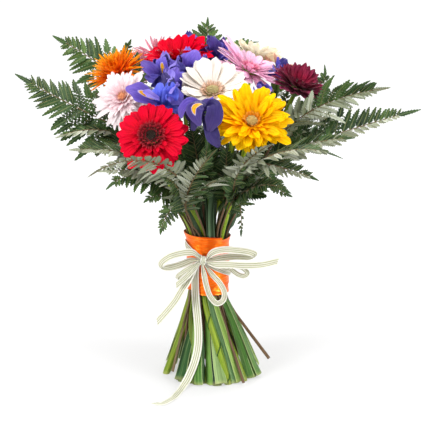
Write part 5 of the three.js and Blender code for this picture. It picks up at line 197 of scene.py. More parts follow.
         route=[(3.2, -3.8, -5), (2.9, -4.1, 1.9), (2.6, -4.3, 8.8), (2.2, -4.5, 15.7), (1.9, -4.8, 22.6), (1.6, -5, 29.5), (1.2, -5.2, 36.4), (0.9, -5.4, 43.3), (0.5, -5.7, 50.2), (0.2, -5.9, 57.1), (-0.2, -6, 64), (-0.5, -6.2, 70.9), (-0.9, -6.4, 77.8), (-1.2, -6.6, 84.7), (-1.6, -6.9, 91.6), (-1.8, -7.2, 98.5), (-2, -7.7, 105.4), (-2.2, -8.3, 112.3), (-2.3, -9, 119.2), (-2.4, -9.7, 126), (-2.7, -10.5, 132.9), (-2.9, -11.2, 139.8), (-3.1, -12, 146.6), (-3.2, -12.9, 153.5), (-3.1, -13.9, 160.3), (-2.9, -15.1, 167.1), (-2.4, -16.5, 173.9), (-1.8, -17.9, 180.6), (-1.2, -19.5, 187.3), (-0.5, -21, 194), (0.4, -22.7, 200.7), (1.8, -24.7, 207.1), (3.6, -27.1, 213.3), (5.3, -30.1, 219.3)],
         fronds=[
             dict(half=30, k=8, pts=[(5.3, -30.1, 219.3), (7.9, -35.6, 228.6), (10.7, -40.8, 237.4), (13.7, -45.6, 245.7), (17, -50.1, 253.5), (20.6, -54.3, 260.8), (24.4, -58.1, 267.5), (28.4, -61.6, 273.8), (32.7, -64.8, 279.5), (37.3, -67.6, 284.7), (42.1, -70.1, 289.4), (47.2, -72.3, 293.6), (52.5, -74.1, 297.3)], nrm=[(-0.65, -0.76, -0.04), (-0.65, -0.76, -0.04), (-0.65, -0.76, -0.04), (-0.65, -0.76, -0.04), (-0.65, -0.76, -0.04), (-0.65, -0.76, -0.04), (-0.65, -0.76, -0.04), (-0.65, -0.76, -0.04), (-0.65, -0.76, -0.04), (-0.65, -0.76, -0.04), (-0.65, -0.76, -0.04), (-0.65, -0.76, -0.04), (-0.65, -0.76, -0.04)]),
             dict(half=20, k=7, pts=[(7.9, -35.6, 228.6), (8.1, -47.7, 238.7), (8.4, -58.5, 248.2), (8.7, -67.9, 257.2), (9, -76, 265.6), (9.3, -82.7, 273.4), (9.7, -88.1, 280.7), (10, -92.1, 287.4), (10.4, -94.8, 293.5), (10.7, -96.2, 299.1), (11.1, -96.2, 304.1), (11.5, -94.8, 308.6), (11.9, -92.1, 312.4)], nrm=[(0.1, -0.9, 0.42), (0.1, -0.9, 0.42), (0.1, -0.9, 0.42), (0.1, -0.9, 0.42), (0.1, -0.9, 0.42), (0.1, -0.9, 0.42), (0.1, -0.9, 0.42), (0.1, -0.9, 0.42), (0.1, -0.9, 0.42), (0.1, -0.9, 0.42), (0.1, -0.9, 0.42), (0.1, -0.9, 0.42), (0.1, -0.9, 0.42)]),
             dict(half=20, k=6, pts=[(7.9, -35.6, 228.6), (12.1, -46.7, 236.4), (16.4, -56.9, 243.6), (20.6, -66.2, 250.2), (24.9, -74.4, 256.1), (29.1, -81.7, 261.5), (33.3, -88.1, 266.2), (37.6, -93.5, 270.4), (41.8, -97.9, 273.9), (46, -101.4, 276.8), (50.2, -103.9, 279), (54.4, -105.5, 280.7), (58.5, -106.1, 281.8)], nrm=[(0.1, -0.75, 0.66), (0.1, -0.75, 0.66), (0.1, -0.75, 0.66), (0.1, -0.75, 0.66), (0.1, -0.75, 0.66), (0.1, -0.75, 0.66), (0.1, -0.75, 0.66), (0.1, -0.75, 0.66), (0.1, -0.75, 0.66), (0.1, -0.75, 0.66), (0.1, -0.75, 0.66), (0.1, -0.75, 0.66), (0.1, -0.75, 0.66)]),
         ]),
    dict(name="side_left",
         route=[(-38.6, -10.3, -5), (-38, -10.9, 2.2), (-37.4, -11.4, 9.4), (-36.8, -12, 16.6), (-36.2, -12.5, 23.8), (-35.6, -13.1, 31), (-35.1, -13.7, 38.2), (-34.5, -14.3, 45.4), (-33.8, -14.9, 52.6), (-33.2, -15.5, 59.8), (-32.5, -15.9, 67), (-31.8, -16.1, 74.2), (-31.1, -15.9, 81.4), (-30.5, -15.3, 88.6), (-30, -14.2, 95.8), (-29.6, -12.9, 102.9), (-29.3, -11.5, 110), (-29.1, -10.1, 117.1), (-28.9, -8.7, 124.2), (-28.8, -7.5, 131.4), (-28.7, -6.5, 138.5), (-28.6, -5.7, 145.7), (-28.8, -5, 153), (-29.1, -4.3, 160.2), (-29.6, -3.4, 167.3), (-30.4, -2.2, 174.4), (-31.6, -0.5, 181.4), (-33, 1.5, 188.2), (-34.7, 3.7, 194.9), (-36.4, 6.1, 201.5), (-38.6, 8.4, 208), (-41.4, 10.4, 214.4), (-45.1, 12.2, 220.4), (-49.3, 13.9, 226)],
         fronds=[
             dict(half=36, k=8, pts=[(-49.3, 13.9, 226), (-60.9, 18.6, 239.2), (-72.2, 23, 251.1), (-83.3, 27.1, 261.8), (-94.2, 31, 271.1), (-104.9, 34.6, 279.2), (-115.3, 37.9, 286), (-125.5, 40.9, 291.5), (-135.5, 43.7, 295.8), (-145.3, 46.1, 298.8), (-154.9, 48.3, 300.4), (-164.2, 50.3, 300.9), (-173.3, 51.9, 300)], nrm=[(0.37, -0.42, 0.83), (0.37, -0.42, 0.83), (0.37, -0.42, 0.83), (0.37, -0.42, 0.83), (0.37, -0.42, 0.83), (0.37, -0.42, 0.83), (0.37, -0.42, 0.83), (0.37, -0.42, 0.83), (0.37, -0.42, 0.83), (0.37, -0.42, 0.83), (0.37, -0.42, 0.83), (0.37, -0.42, 0.83), (0.37, -0.42, 0.83)]),
             dict(half=26, k=8, pts=[(-45.4, 12.3, 220.9), (-51.3, 9.9, 227.1), (-57.2, 7.5, 232.7), (-62.9, 5.1, 237.7), (-68.6, 2.7, 242.2), (-74.2, 0.4, 246.2), (-79.7, -1.9, 249.6), (-85.2, -4.1, 252.5), (-90.5, -6.3, 254.9), (-95.8, -8.5, 256.7), (-101.1, -10.7, 258), (-106.2, -12.8, 258.7), (-111.3, -14.9, 258.9)], nrm=[(0.31, 0.13, 0.94), (0.31, 0.13, 0.94), (0.31, 0.13, 0.94), (0.31, 0.13, 0.94), (0.31, 0.13, 0.94), (0.31, 0.13, 0.94), (0.31, 0.13, 0.94), (0.31, 0.13, 0.94), (0.31, 0.13, 0.94), (0.31, 0.13, 0.94), (0.31, 0.13, 0.94), (0.31, 0.13, 0.94), (0.31, 0.13, 0.94)]),
             dict(half=26, k=8, pts=[(-45.4, 12.3, 220.9), (-47.2, 18, 226.6), (-48.9, 23.5, 231.8), (-50.6, 29, 236.5), (-52.3, 34.5, 240.7), (-54, 39.8, 244.4), (-55.6, 45.1, 247.5), (-57.2, 50.4, 250.2), (-58.8, 55.5, 252.4), (-60.4, 60.6, 254.1), (-62, 65.6, 255.3), (-63.5, 70.6, 256), (-65, 75.4, 256.1)], nrm=[(0.1, -0.32, 0.94), (0.1, -0.32, 0.94), (0.1, -0.32, 0.94), (0.1, -0.32, 0.94), (0.1, -0.32, 0.94), (0.1, -0.32, 0.94), (0.1, -0.32, 0.94), (0.1, -0.32, 0.94), (0.1, -0.32, 0.94), (0.1, -0.32, 0.94), (0.1, -0.32, 0.94), (0.1, -0.32, 0.94), (0.1, -0.32, 0.94)]),
         ]),
    dict(name="side_right",
         route=[(6.5, 32, -5), (5.9, 31.1, 2.2), (5.3, 30.1, 9.5), (4.8, 29.1, 16.7), (4.2, 28.2, 24), (3.6, 27.2, 31.2), (2.9, 26.2, 38.5), (2.2, 25.2, 45.7), (1.3, 24.2, 52.9), (0.3, 23.2, 60.1), (-0.9, 22.1, 67.3), (-2.1, 20.9, 74.4), (-3.3, 19.5, 81.5), (-4.4, 17.6, 88.5), (-5.2, 15.8, 95.5), (-5.5, 14.4, 102.7), (-5.3, 13.7, 110), (-4.8, 13.3, 117.3), (-4.1, 13.1, 124.6), (-3.3, 12.7, 131.9), (-2.4, 12.3, 139.2), (-1.4, 11.7, 146.4), (-0.3, 11.1, 153.7), (0.9, 10.4, 160.9), (2.3, 9.8, 168), (4, 9.3, 175.1), (6.3, 9.3, 182.1), (9.2, 9.6, 188.8), (12.4, 10.4, 195.4), (15.8, 11.2, 201.8), (19.3, 12.1, 208.2), (22.7, 13.4, 214.6), (26.4, 15.6, 220.5), (30.7, 17.9, 226)],
         fronds=[
             dict(half=36, k=8, pts=[(30.7, 17.9, 226), (43.1, 23.1, 239.1), (55.1, 27.9, 250.9), (66.9, 32.4, 261.5), (78.5, 36.6, 270.9), (89.7, 40.4, 279.1), (100.7, 43.9, 286), (111.4, 47.1, 291.7), (121.8, 49.9, 296.2), (131.9, 52.4, 299.5), (141.8, 54.6, 301.6), (151.4, 56.4, 302.4), (160.7, 57.9, 302)], nrm=[(-0.36, -0.41, 0.84), (-0.36, -0.41, 0.84), (-0.36, -0.41, 0.84), (-0.36, -0.41, 0.84), (-0.36, -0.41, 0.84), (-0.36, -0.41, 0.84), (-0.36, -0.41, 0.84), (-0.36, -0.41, 0.84), (-0.36, -0.41, 0.84), (-0.36, -0.41, 0.84), (-0.36, -0.41, 0.84), (-0.36, -0.41, 0.84), (-0.36, -0.41, 0.84)]),
             dict(half=26, k=8, pts=[(27.7, 16.3, 222.3), (33.9, 16.8, 228.3), (40.1, 17.3, 233.8), (46.2, 17.8, 238.8), (52.2, 18.3, 243.2), (58.1, 18.8, 247.1), (63.9, 19.3, 250.5), (69.7, 19.7, 253.3), (75.4, 20.2, 255.6), (81, 20.6, 257.4), (86.5, 21.1, 258.6), (92, 21.5, 259.4), (97.3, 22, 259.6)], nrm=[(-0.33, -0.03, 0.94), (-0.33, -0.03, 0.94), (-0.33, -0.03, 0.94), (-0.33, -0.03, 0.94), (-0.33, -0.03, 0.94), (-0.33, -0.03, 0.94), (-0.33, -0.03, 0.94), (-0.33, -0.03, 0.94), (-0.33, -0.03, 0.94), (-0.33, -0.03, 0.94), (-0.33, -0.03, 0.94), (-0.33, -0.03, 0.94), (-0.33, -0.03, 0.94)]),
             dict(half=26, k=8, pts=[(27.7, 16.3, 222.3), (30.5, 22.8, 229.1), (33.3, 29.1, 235.2), (36, 35.4, 240.8), (38.7, 41.6, 245.7), (41.3, 47.7, 250.1), (43.9, 53.7, 253.9), (46.5, 59.6, 257.1), (49.1, 65.5, 259.7), (51.6, 71.3, 261.7), (54.1, 77, 263.1), (56.5, 82.6, 263.9), (58.9, 88.2, 264.1)], nrm=[(-0.13, -0.3, 0.94), (-0.13, -0.3, 0.94), (-0.13, -0.3, 0.94), (-0.13, -0.3, 0.94), (-0.13, -0.3, 0.94), (-0.13, -0.3, 0.94), (-0.13, -0.3, 0.94), (-0.13, -0.3, 0.94), (-0.13, -0.3, 0.94), (-0.13, -0.3, 0.94), (-0.13, -0.3, 0.94), (-0.13, -0.3, 0.94), (-0.13, -0.3, 0.94)]),
         ]),
    dict(name="back",
         route=[(-26.8, 7.3, -5), (-26.6, 7.3, 2.2), (-26.4, 7.4, 9.3), (-26.2, 7.5, 16.5), (-25.9, 7.6, 23.7), (-25.7, 7.7, 30.8), (-25.5, 7.7, 38), (-25.3, 7.8, 45.2), (-25.1, 7.9, 52.3), (-24.8, 8.1, 59.5), (-24.5, 8.2, 66.7), (-24.1, 8.3, 73.8), (-23.5, 8.3, 81), (-22.7, 8.2, 88.1), (-21.9, 8, 95.2), (-21.1, 7.8, 102.4), (-20.5, 7.7, 109.5), (-20, 7.9, 116.7), (-19.5, 8.1, 123.8), (-18.9, 8.3, 130.9), (-18.2, 8.6, 138.1), (-17.5, 8.8, 145.2), (-16.8, 9, 152.4), (-16, 9.3, 159.5), (-15.2, 9.9, 166.6), (-14.4, 10.8, 173.6), (-13.5, 12.1, 180.7), (-12.7, 13.7, 187.6), (-12, 15.7, 194.5), (-11.4, 17.8, 201.3), (-10.9, 20.4, 207.9), (-10.8, 23.6, 214.3), (-11, 27.5, 220.4), (-11.3, 31.9, 226)],
         fronds=[
             dict(half=36, k=8, pts=[(-11.3, 31.9, 226), (-12.4, 44.5, 240), (-13.5, 56.8, 252.7), (-14.6, 68.9, 264), (-15.5, 80.8, 274), (-16.4, 92.5, 282.7), (-17.3, 103.9, 290), (-18.1, 115.1, 296), (-18.9, 126.1, 300.7), (-19.6, 136.9, 304), (-20.2, 147.5, 306), (-20.8, 157.8, 306.7), (-21.3, 167.9, 306)], nrm=[(0.08, -0.5, 0.86), (0.08, -0.5, 0.86), (0.08, -0.5, 0.86), (0.08, -0.5, 0.86), (0.08, -0.5, 0.86), (0.08, -0.5, 0.86), (0.08, -0.5, 0.86), (0.08, -0.5, 0.86), (0.08, -0.5, 0.86), (0.08, -0.5, 0.86), (0.08, -0.5, 0.86), (0.08, -0.5, 0.86), (0.08, -0.5, 0.86)]),
             dict(half=26, k=8, pts=[(-11, 27.9, 220.9), (-16.8, 31.3, 227.4), (-22.6, 34.7, 233.4), (-28.3, 38, 238.8), (-33.9, 41.3, 243.6), (-39.5, 44.6, 247.8), (-44.9, 47.8, 251.4), (-50.3, 50.9, 254.5), (-55.7, 54.1, 257), (-60.9, 57.1, 258.9), (-66.1, 60.2, 260.3), (-71.2, 63.2, 261.1), (-76.3, 66.1, 261.3)], nrm=[(0.29, -0.17, 0.94), (0.29, -0.17, 0.94), (0.29, -0.17, 0.94), (0.29, -0.17, 0.94), (0.29, -0.17, 0.94), (0.29, -0.17, 0.94), (0.29, -0.17, 0.94), (0.29, -0.17, 0.94), (0.29, -0.17, 0.94), (0.29, -0.17, 0.94), (0.29, -0.17, 0.94), (0.29, -0.17, 0.94), (0.29, -0.17, 0.94)]),
             dict(half=26, k=8, pts=[(-11, 27.9, 220.9), (-6.5, 33.7, 228), (-2, 39.4, 234.4), (2.3, 45, 240.2), (6.7, 50.6, 245.4), (10.9, 56.1, 250), (15.2, 61.5, 253.9), (19.3, 66.8, 257.2), (23.4, 72.1, 260), (27.5, 77.3, 262), (31.5, 82.4, 263.5), (35.4, 87.5, 264.3), (39.3, 92.5, 264.6)], nrm=[(-0.2, -0.26, 0.94), (-0.2, -0.26, 0.94), (-0.2, -0.26, 0.94), (-0.2, -0.26, 0.94), (-0.2, -0.26, 0.94), (-0.2, -0.26, 0.94), (-0.2, -0.26, 0.94), (-0.2, -0.26, 0.94), (-0.2, -0.26, 0.94), (-0.2, -0.26, 0.94), (-0.2, -0.26, 0.94), (-0.2, -0.26, 0.94), (-0.2, -0.26, 0.94)]),
         ]),
    dict(name="back_left",
         route=[(-42.6, 4.3, -5), (-41.7, 4.1, 5.3), (-40.8, 3.9, 15.5), (-39.9, 3.7, 25.8), (-39.1, 3.4, 36), (-38.2, 3.2, 46.3), (-37.4, 2.9, 56.5), (-36.6, 2.6, 66.8), (-35.8, 2.4, 77.1), (-34.7, 2.2, 87.3), (-33.5, 2.2, 97.5), (-32.5, 2.5, 107.8), (-31.9, 3.3, 118), (-31.3, 4.2, 128.3), (-30.6, 5.2, 138.5), (-29.8, 6.3, 148.7), (-28.9, 7.4, 158.9), (-28.2, 8.8, 169.1), (-28, 10.8, 179.2), (-28.7, 13.7, 189), (-30.2, 17.2, 198.6), (-32.2, 20.9, 208), (-34.2, 24.6, 217.3), (-36.4, 28.3, 226.7), (-38.5, 32, 236.1), (-40.6, 35.7, 245.5), (-42.6, 39.4, 254.9), (-44.7, 43, 264.3), (-46.6, 46.6, 273.7), (-48.6, 50.2, 283.2), (-50.5, 53.7, 292.7), (-52.5, 57.4, 302.1), (-55.2, 61.7, 311), (-59.3, 67.9, 318)],
         fronds=[
             dict(half=38, k=9, pts=[(-59.3, 67.9, 318), (-67.4, 80.1, 325.1), (-75.1, 91.7, 331.6), (-82.3, 102.7, 337.3), (-89.1, 113, 342.2), (-95.4, 122.8, 346.5), (-101.3, 131.9, 350), (-106.7, 140.4, 352.8), (-111.7, 148.3, 354.9), (-116.3, 155.7, 356.3), (-120.4, 162.3, 356.9), (-124.1, 168.4, 356.8), (-127.3, 173.9, 356)], nrm=[(0.37, -0.1, 0.93), (0.37, -0.1, 0.93), (0.37, -0.1, 0.93), (0.37, -0.1, 0.93), (0.37, -0.1, 0.93), (0.37, -0.1, 0.93), (0.37, -0.1, 0.93), (0.37, -0.1, 0.93), (0.37, -0.1, 0.93), (0.37, -0.1, 0.93), (0.37, -0.1, 0.93), (0.37, -0.1, 0.93), (0.37, -0.1, 0.93)]),
             dict(half=26, k=8, pts=[(-40.7, 35.9, 246), (-39.6, 43.2, 253.1), (-38.5, 50.4, 259.6), (-37.4, 57.6, 265.5), (-36.3, 64.6, 270.7), (-35.2, 71.5, 275.3), (-34.2, 78.4, 279.3), (-33.1, 85.2, 282.7), (-32.1, 91.8, 285.4), (-31.1, 98.4, 287.5), (-30.1, 104.9, 289), (-29.1, 111.3, 289.8), (-28.1, 117.6, 290.1)], nrm=[(-0.05, -0.33, 0.94), (-0.05, -0.33, 0.94), (-0.05, -0.33, 0.94), (-0.05, -0.33, 0.94), (-0.05, -0.33, 0.94), (-0.05, -0.33, 0.94), (-0.05, -0.33, 0.94), (-0.05, -0.33, 0.94), (-0.05, -0.33, 0.94), (-0.05, -0.33, 0.94), (-0.05, -0.33, 0.94), (-0.05, -0.33, 0.94), (-0.05, -0.33, 0.94)]),
             dict(half=26, k=8, pts=[(-49.6, 51.9, 287.9), (-56.3, 52.6, 291.6), (-63, 53.2, 294.9), (-69.6, 53.9, 298), (-76.1, 54.5, 300.7), (-82.5, 55.1, 303.1), (-88.9, 55.7, 305.2), (-95.1, 56.3, 306.9), (-101.3, 56.9, 308.3), (-107.4, 57.5, 309.4), (-113.4, 58.1, 310.2), (-119.3, 58.7, 310.6), (-125.2, 59.2, 310.7)], nrm=[(0.33, -0.03, 0.94), (0.33, -0.03, 0.94), (0.33, -0.03, 0.94), (0.33, -0.03, 0.94), (0.33, -0.03, 0.94), (0.33, -0.03, 0.94), (0.33, -0.03, 0.94), (0.33, -0.03, 0.94), (0.33, -0.03, 0.94), (0.33, -0.03, 0.94), (0.33, -0.03, 0.94), (0.33, -0.03, 0.94), (0.33, -0.03, 0.94)]),
         ]),
    dict(name="back_right",
         route=[(-16, 33.9, -5), (-15.2, 32.6, 5.2), (-14.3, 31.2, 15.3), (-13.5, 29.9, 25.5), (-13, 28.4, 35.6), (-12.8, 26.8, 45.8), (-12.9, 24.9, 55.9), (-13, 22.8, 65.9), (-12.7, 20.4, 75.9), (-12.1, 18, 85.9), (-11.4, 15.9, 95.9), (-10.6, 14.8, 106.1), (-9.7, 14.5, 116.3), (-8.6, 14.3, 126.5), (-7.4, 14, 136.7), (-6, 13.7, 146.9), (-4.6, 13.3, 157.1), (-3.2, 13.1, 167.3), (-1.6, 13.8, 177.4), (0.5, 15.7, 187.2), (3.1, 18.7, 196.7), (5.9, 22.1, 206), (8.6, 25.5, 215.3), (11.4, 29, 224.6), (14.1, 32.5, 233.8), (16.8, 36.1, 243.1), (19.6, 39.6, 252.3), (22.3, 43.2, 261.6), (25, 46.6, 270.9), (27.7, 50.1, 280.1), (30.4, 53.6, 289.4), (33.1, 57.1, 298.7), (36.3, 61.6, 307.3), (40.7, 67.9, 314)],
         fronds=[
             dict(half=38, k=9, pts=[(40.7, 67.9, 314), (49.3, 79.8, 320.1), (57.6, 91, 325.6), (65.4, 101.7, 330.5), (72.9, 111.7, 334.9), (80, 121.1, 338.7), (86.7, 129.9, 342), (93, 138.1, 344.7), (98.9, 145.7, 346.9), (104.4, 152.7, 348.5), (109.6, 159, 349.6), (114.3, 164.8, 350.1), (118.7, 169.9, 350)], nrm=[(-0.41, -0.01, 0.91), (-0.41, -0.01, 0.91), (-0.41, -0.01, 0.91), (-0.41, -0.01, 0.91), (-0.41, -0.01, 0.91), (-0.41, -0.01, 0.91), (-0.41, -0.01, 0.91), (-0.41, -0.01, 0.91), (-0.41, -0.01, 0.91), (-0.41, -0.01, 0.91), (-0.41, -0.01, 0.91), (-0.41, -0.01, 0.91), (-0.41, -0.01, 0.91)]),
             dict(half=26, k=8, pts=[(17.7, 37.2, 246), (15.7, 44.5, 253.3), (13.6, 51.7, 260), (11.6, 58.9, 266), (9.7, 65.9, 271.4), (7.7, 72.9, 276.1), (5.8, 79.7, 280.2), (3.9, 86.5, 283.6), (2, 93.1, 286.5), (0.2, 99.7, 288.6), (-1.6, 106.2, 290.1), (-3.4, 112.6, 291), (-5.2, 118.9, 291.2)], nrm=[(0.09, -0.32, 0.94), (0.09, -0.32, 0.94), (0.09, -0.32, 0.94), (0.09, -0.32, 0.94), (0.09, -0.32, 0.94), (0.09, -0.32, 0.94), (0.09, -0.32, 0.94), (0.09, -0.32, 0.94), (0.09, -0.32, 0.94), (0.09, -0.32, 0.94), (0.09, -0.32, 0.94), (0.09, -0.32, 0.94), (0.09, -0.32, 0.94)]),
             dict(half=26, k=8, pts=[(29.8, 52.8, 287.4), (35, 54.9, 290.5), (40.2, 57, 293.3), (45.3, 59, 295.8), (50.3, 61, 298), (55.3, 63, 300), (60.1, 65, 301.7), (65, 66.9, 303.2), (69.7, 68.9, 304.4), (74.4, 70.8, 305.3), (79.1, 72.6, 305.9), (83.6, 74.5, 306.3), (88.1, 76.3, 306.4)], nrm=[(-0.31, -0.12, 0.94), (-0.31, -0.12, 0.94), (-0.31, -0.12, 0.94), (-0.31, -0.12, 0.94), (-0.31, -0.12, 0.94), (-0.31, -0.12, 0.94), (-0.31, -0.12, 0.94), (-0.31, -0.12, 0.94), (-0.31, -0.12, 0.94), (-0.31, -0.12, 0.94), (-0.31, -0.12, 0.94), (-0.31, -0.12, 0.94), (-0.31, -0.12, 0.94)]),
         ]),
]
RIBBON = dict(knot=(-18.1, -39.6, 152.4), strips=[
    ("long_tail", 9.9, [(-21.8, -40.1, 153.2), (-27.5, -36.6, 142), (-28.2, -33.6, 123.2), (-27.4, -34.1, 102.6), (-25.8, -38.1, 83), (-24.1, -44.6, 64.1), (-24.4, -55.6, 46.9), (-28.7, -64.6, 29.1), (-36.8, -68.1, 9.4), (-45.1, -85, 1), (-56.3, -119.4, 1), (-67.7, -134.4, 1), (-76.2, -131.1, 1)]),
    ("left_tail", 9.5, [(-23.1, -40.6, 150.8), (-31.7, -44.1, 138.9), (-36.6, -46.6, 129.4), (-45.3, -49.1, 116), (-52.7, -51.1, 103.7), (-62.6, -53.1, 91.5), (-75, -55.1, 77.9)]),
    ("left_loop", 9.1, [(-21.8, -41.1, 156), (-31.6, -46.1, 164.3), (-46.2, -49.1, 163.8), (-61, -49.1, 158.8), (-69.8, -45.1, 150.1), (-68.9, -39.1, 143.3), (-59, -37.6, 142.9), (-45.4, -38.6, 147), (-31.7, -39.6, 152.4), (-21.8, -39.6, 152.4)]),
    ("left_short_loop", 7.1, [(-21.8, -41.1, 150.9), (-31.7, -45.1, 146.2), (-41.5, -47.1, 140.4), (-49, -46.1, 133.7), (-48.5, -42.6, 129.6), (-40.5, -40.6, 132.2), (-31.8, -40.1, 140.4), (-21.8, -40.1, 149.4)]),
    ("left_short_tail", 7.5, [(-21.8, -43.1, 150.2), (-32.9, -48.1, 140), (-41.5, -51.1, 131.9), (-51.3, -53.1, 124.2)]),
    ("right_loop", 8.7, [(-14.4, -41.1, 154.1), (-5.8, -46.1, 164.3), (7.7, -49.1, 168.5), (24.9, -50.1, 167.9), (39.7, -48.1, 165.1), (45.9, -44.1, 160.6), (39.9, -39.6, 156.9), (25.2, -36.6, 156.8), (7.8, -38.1, 155.9), (-5.8, -39.6, 153.7), (-14.4, -39.6, 152.4)]),
    ("right_tail", 9.1, [(-14.4, -42.1, 150.5), (-2.1, -46.1, 149.1), (15.1, -50.1, 149.8), (34.7, -53.1, 149.6), (54.3, -55.1, 151.1), (73.8, -56.1, 155.6)]),
    ("right_small_loop", 6.3, [(-13.2, -39.6, 149.2), (0.4, -39.1, 145.3), (15.3, -39.1, 141.4), (25.2, -39.1, 134.4), (32.6, -41.6, 133.1), (36.8, -44.1, 137.7), (31.3, -43.1, 143.1), (15.2, -41.6, 147.2), (0.4, -41.6, 149.8), (-13.2, -40.6, 151.4)]),
    ("hanging_loop", 6.7, [(-19.3, -42.1, 148.6), (-16.9, -44.6, 136.5), (-13.8, -46.6, 121.7), (-8.9, -48.6, 108.1), (-0.8, -48.6, 99.8), (6.6, -47.6, 103.3), (8.5, -45.6, 112.4), (3.5, -43.1, 123.3), (-7, -41.6, 135.1), (-15.7, -40.6, 146.9)]),
])
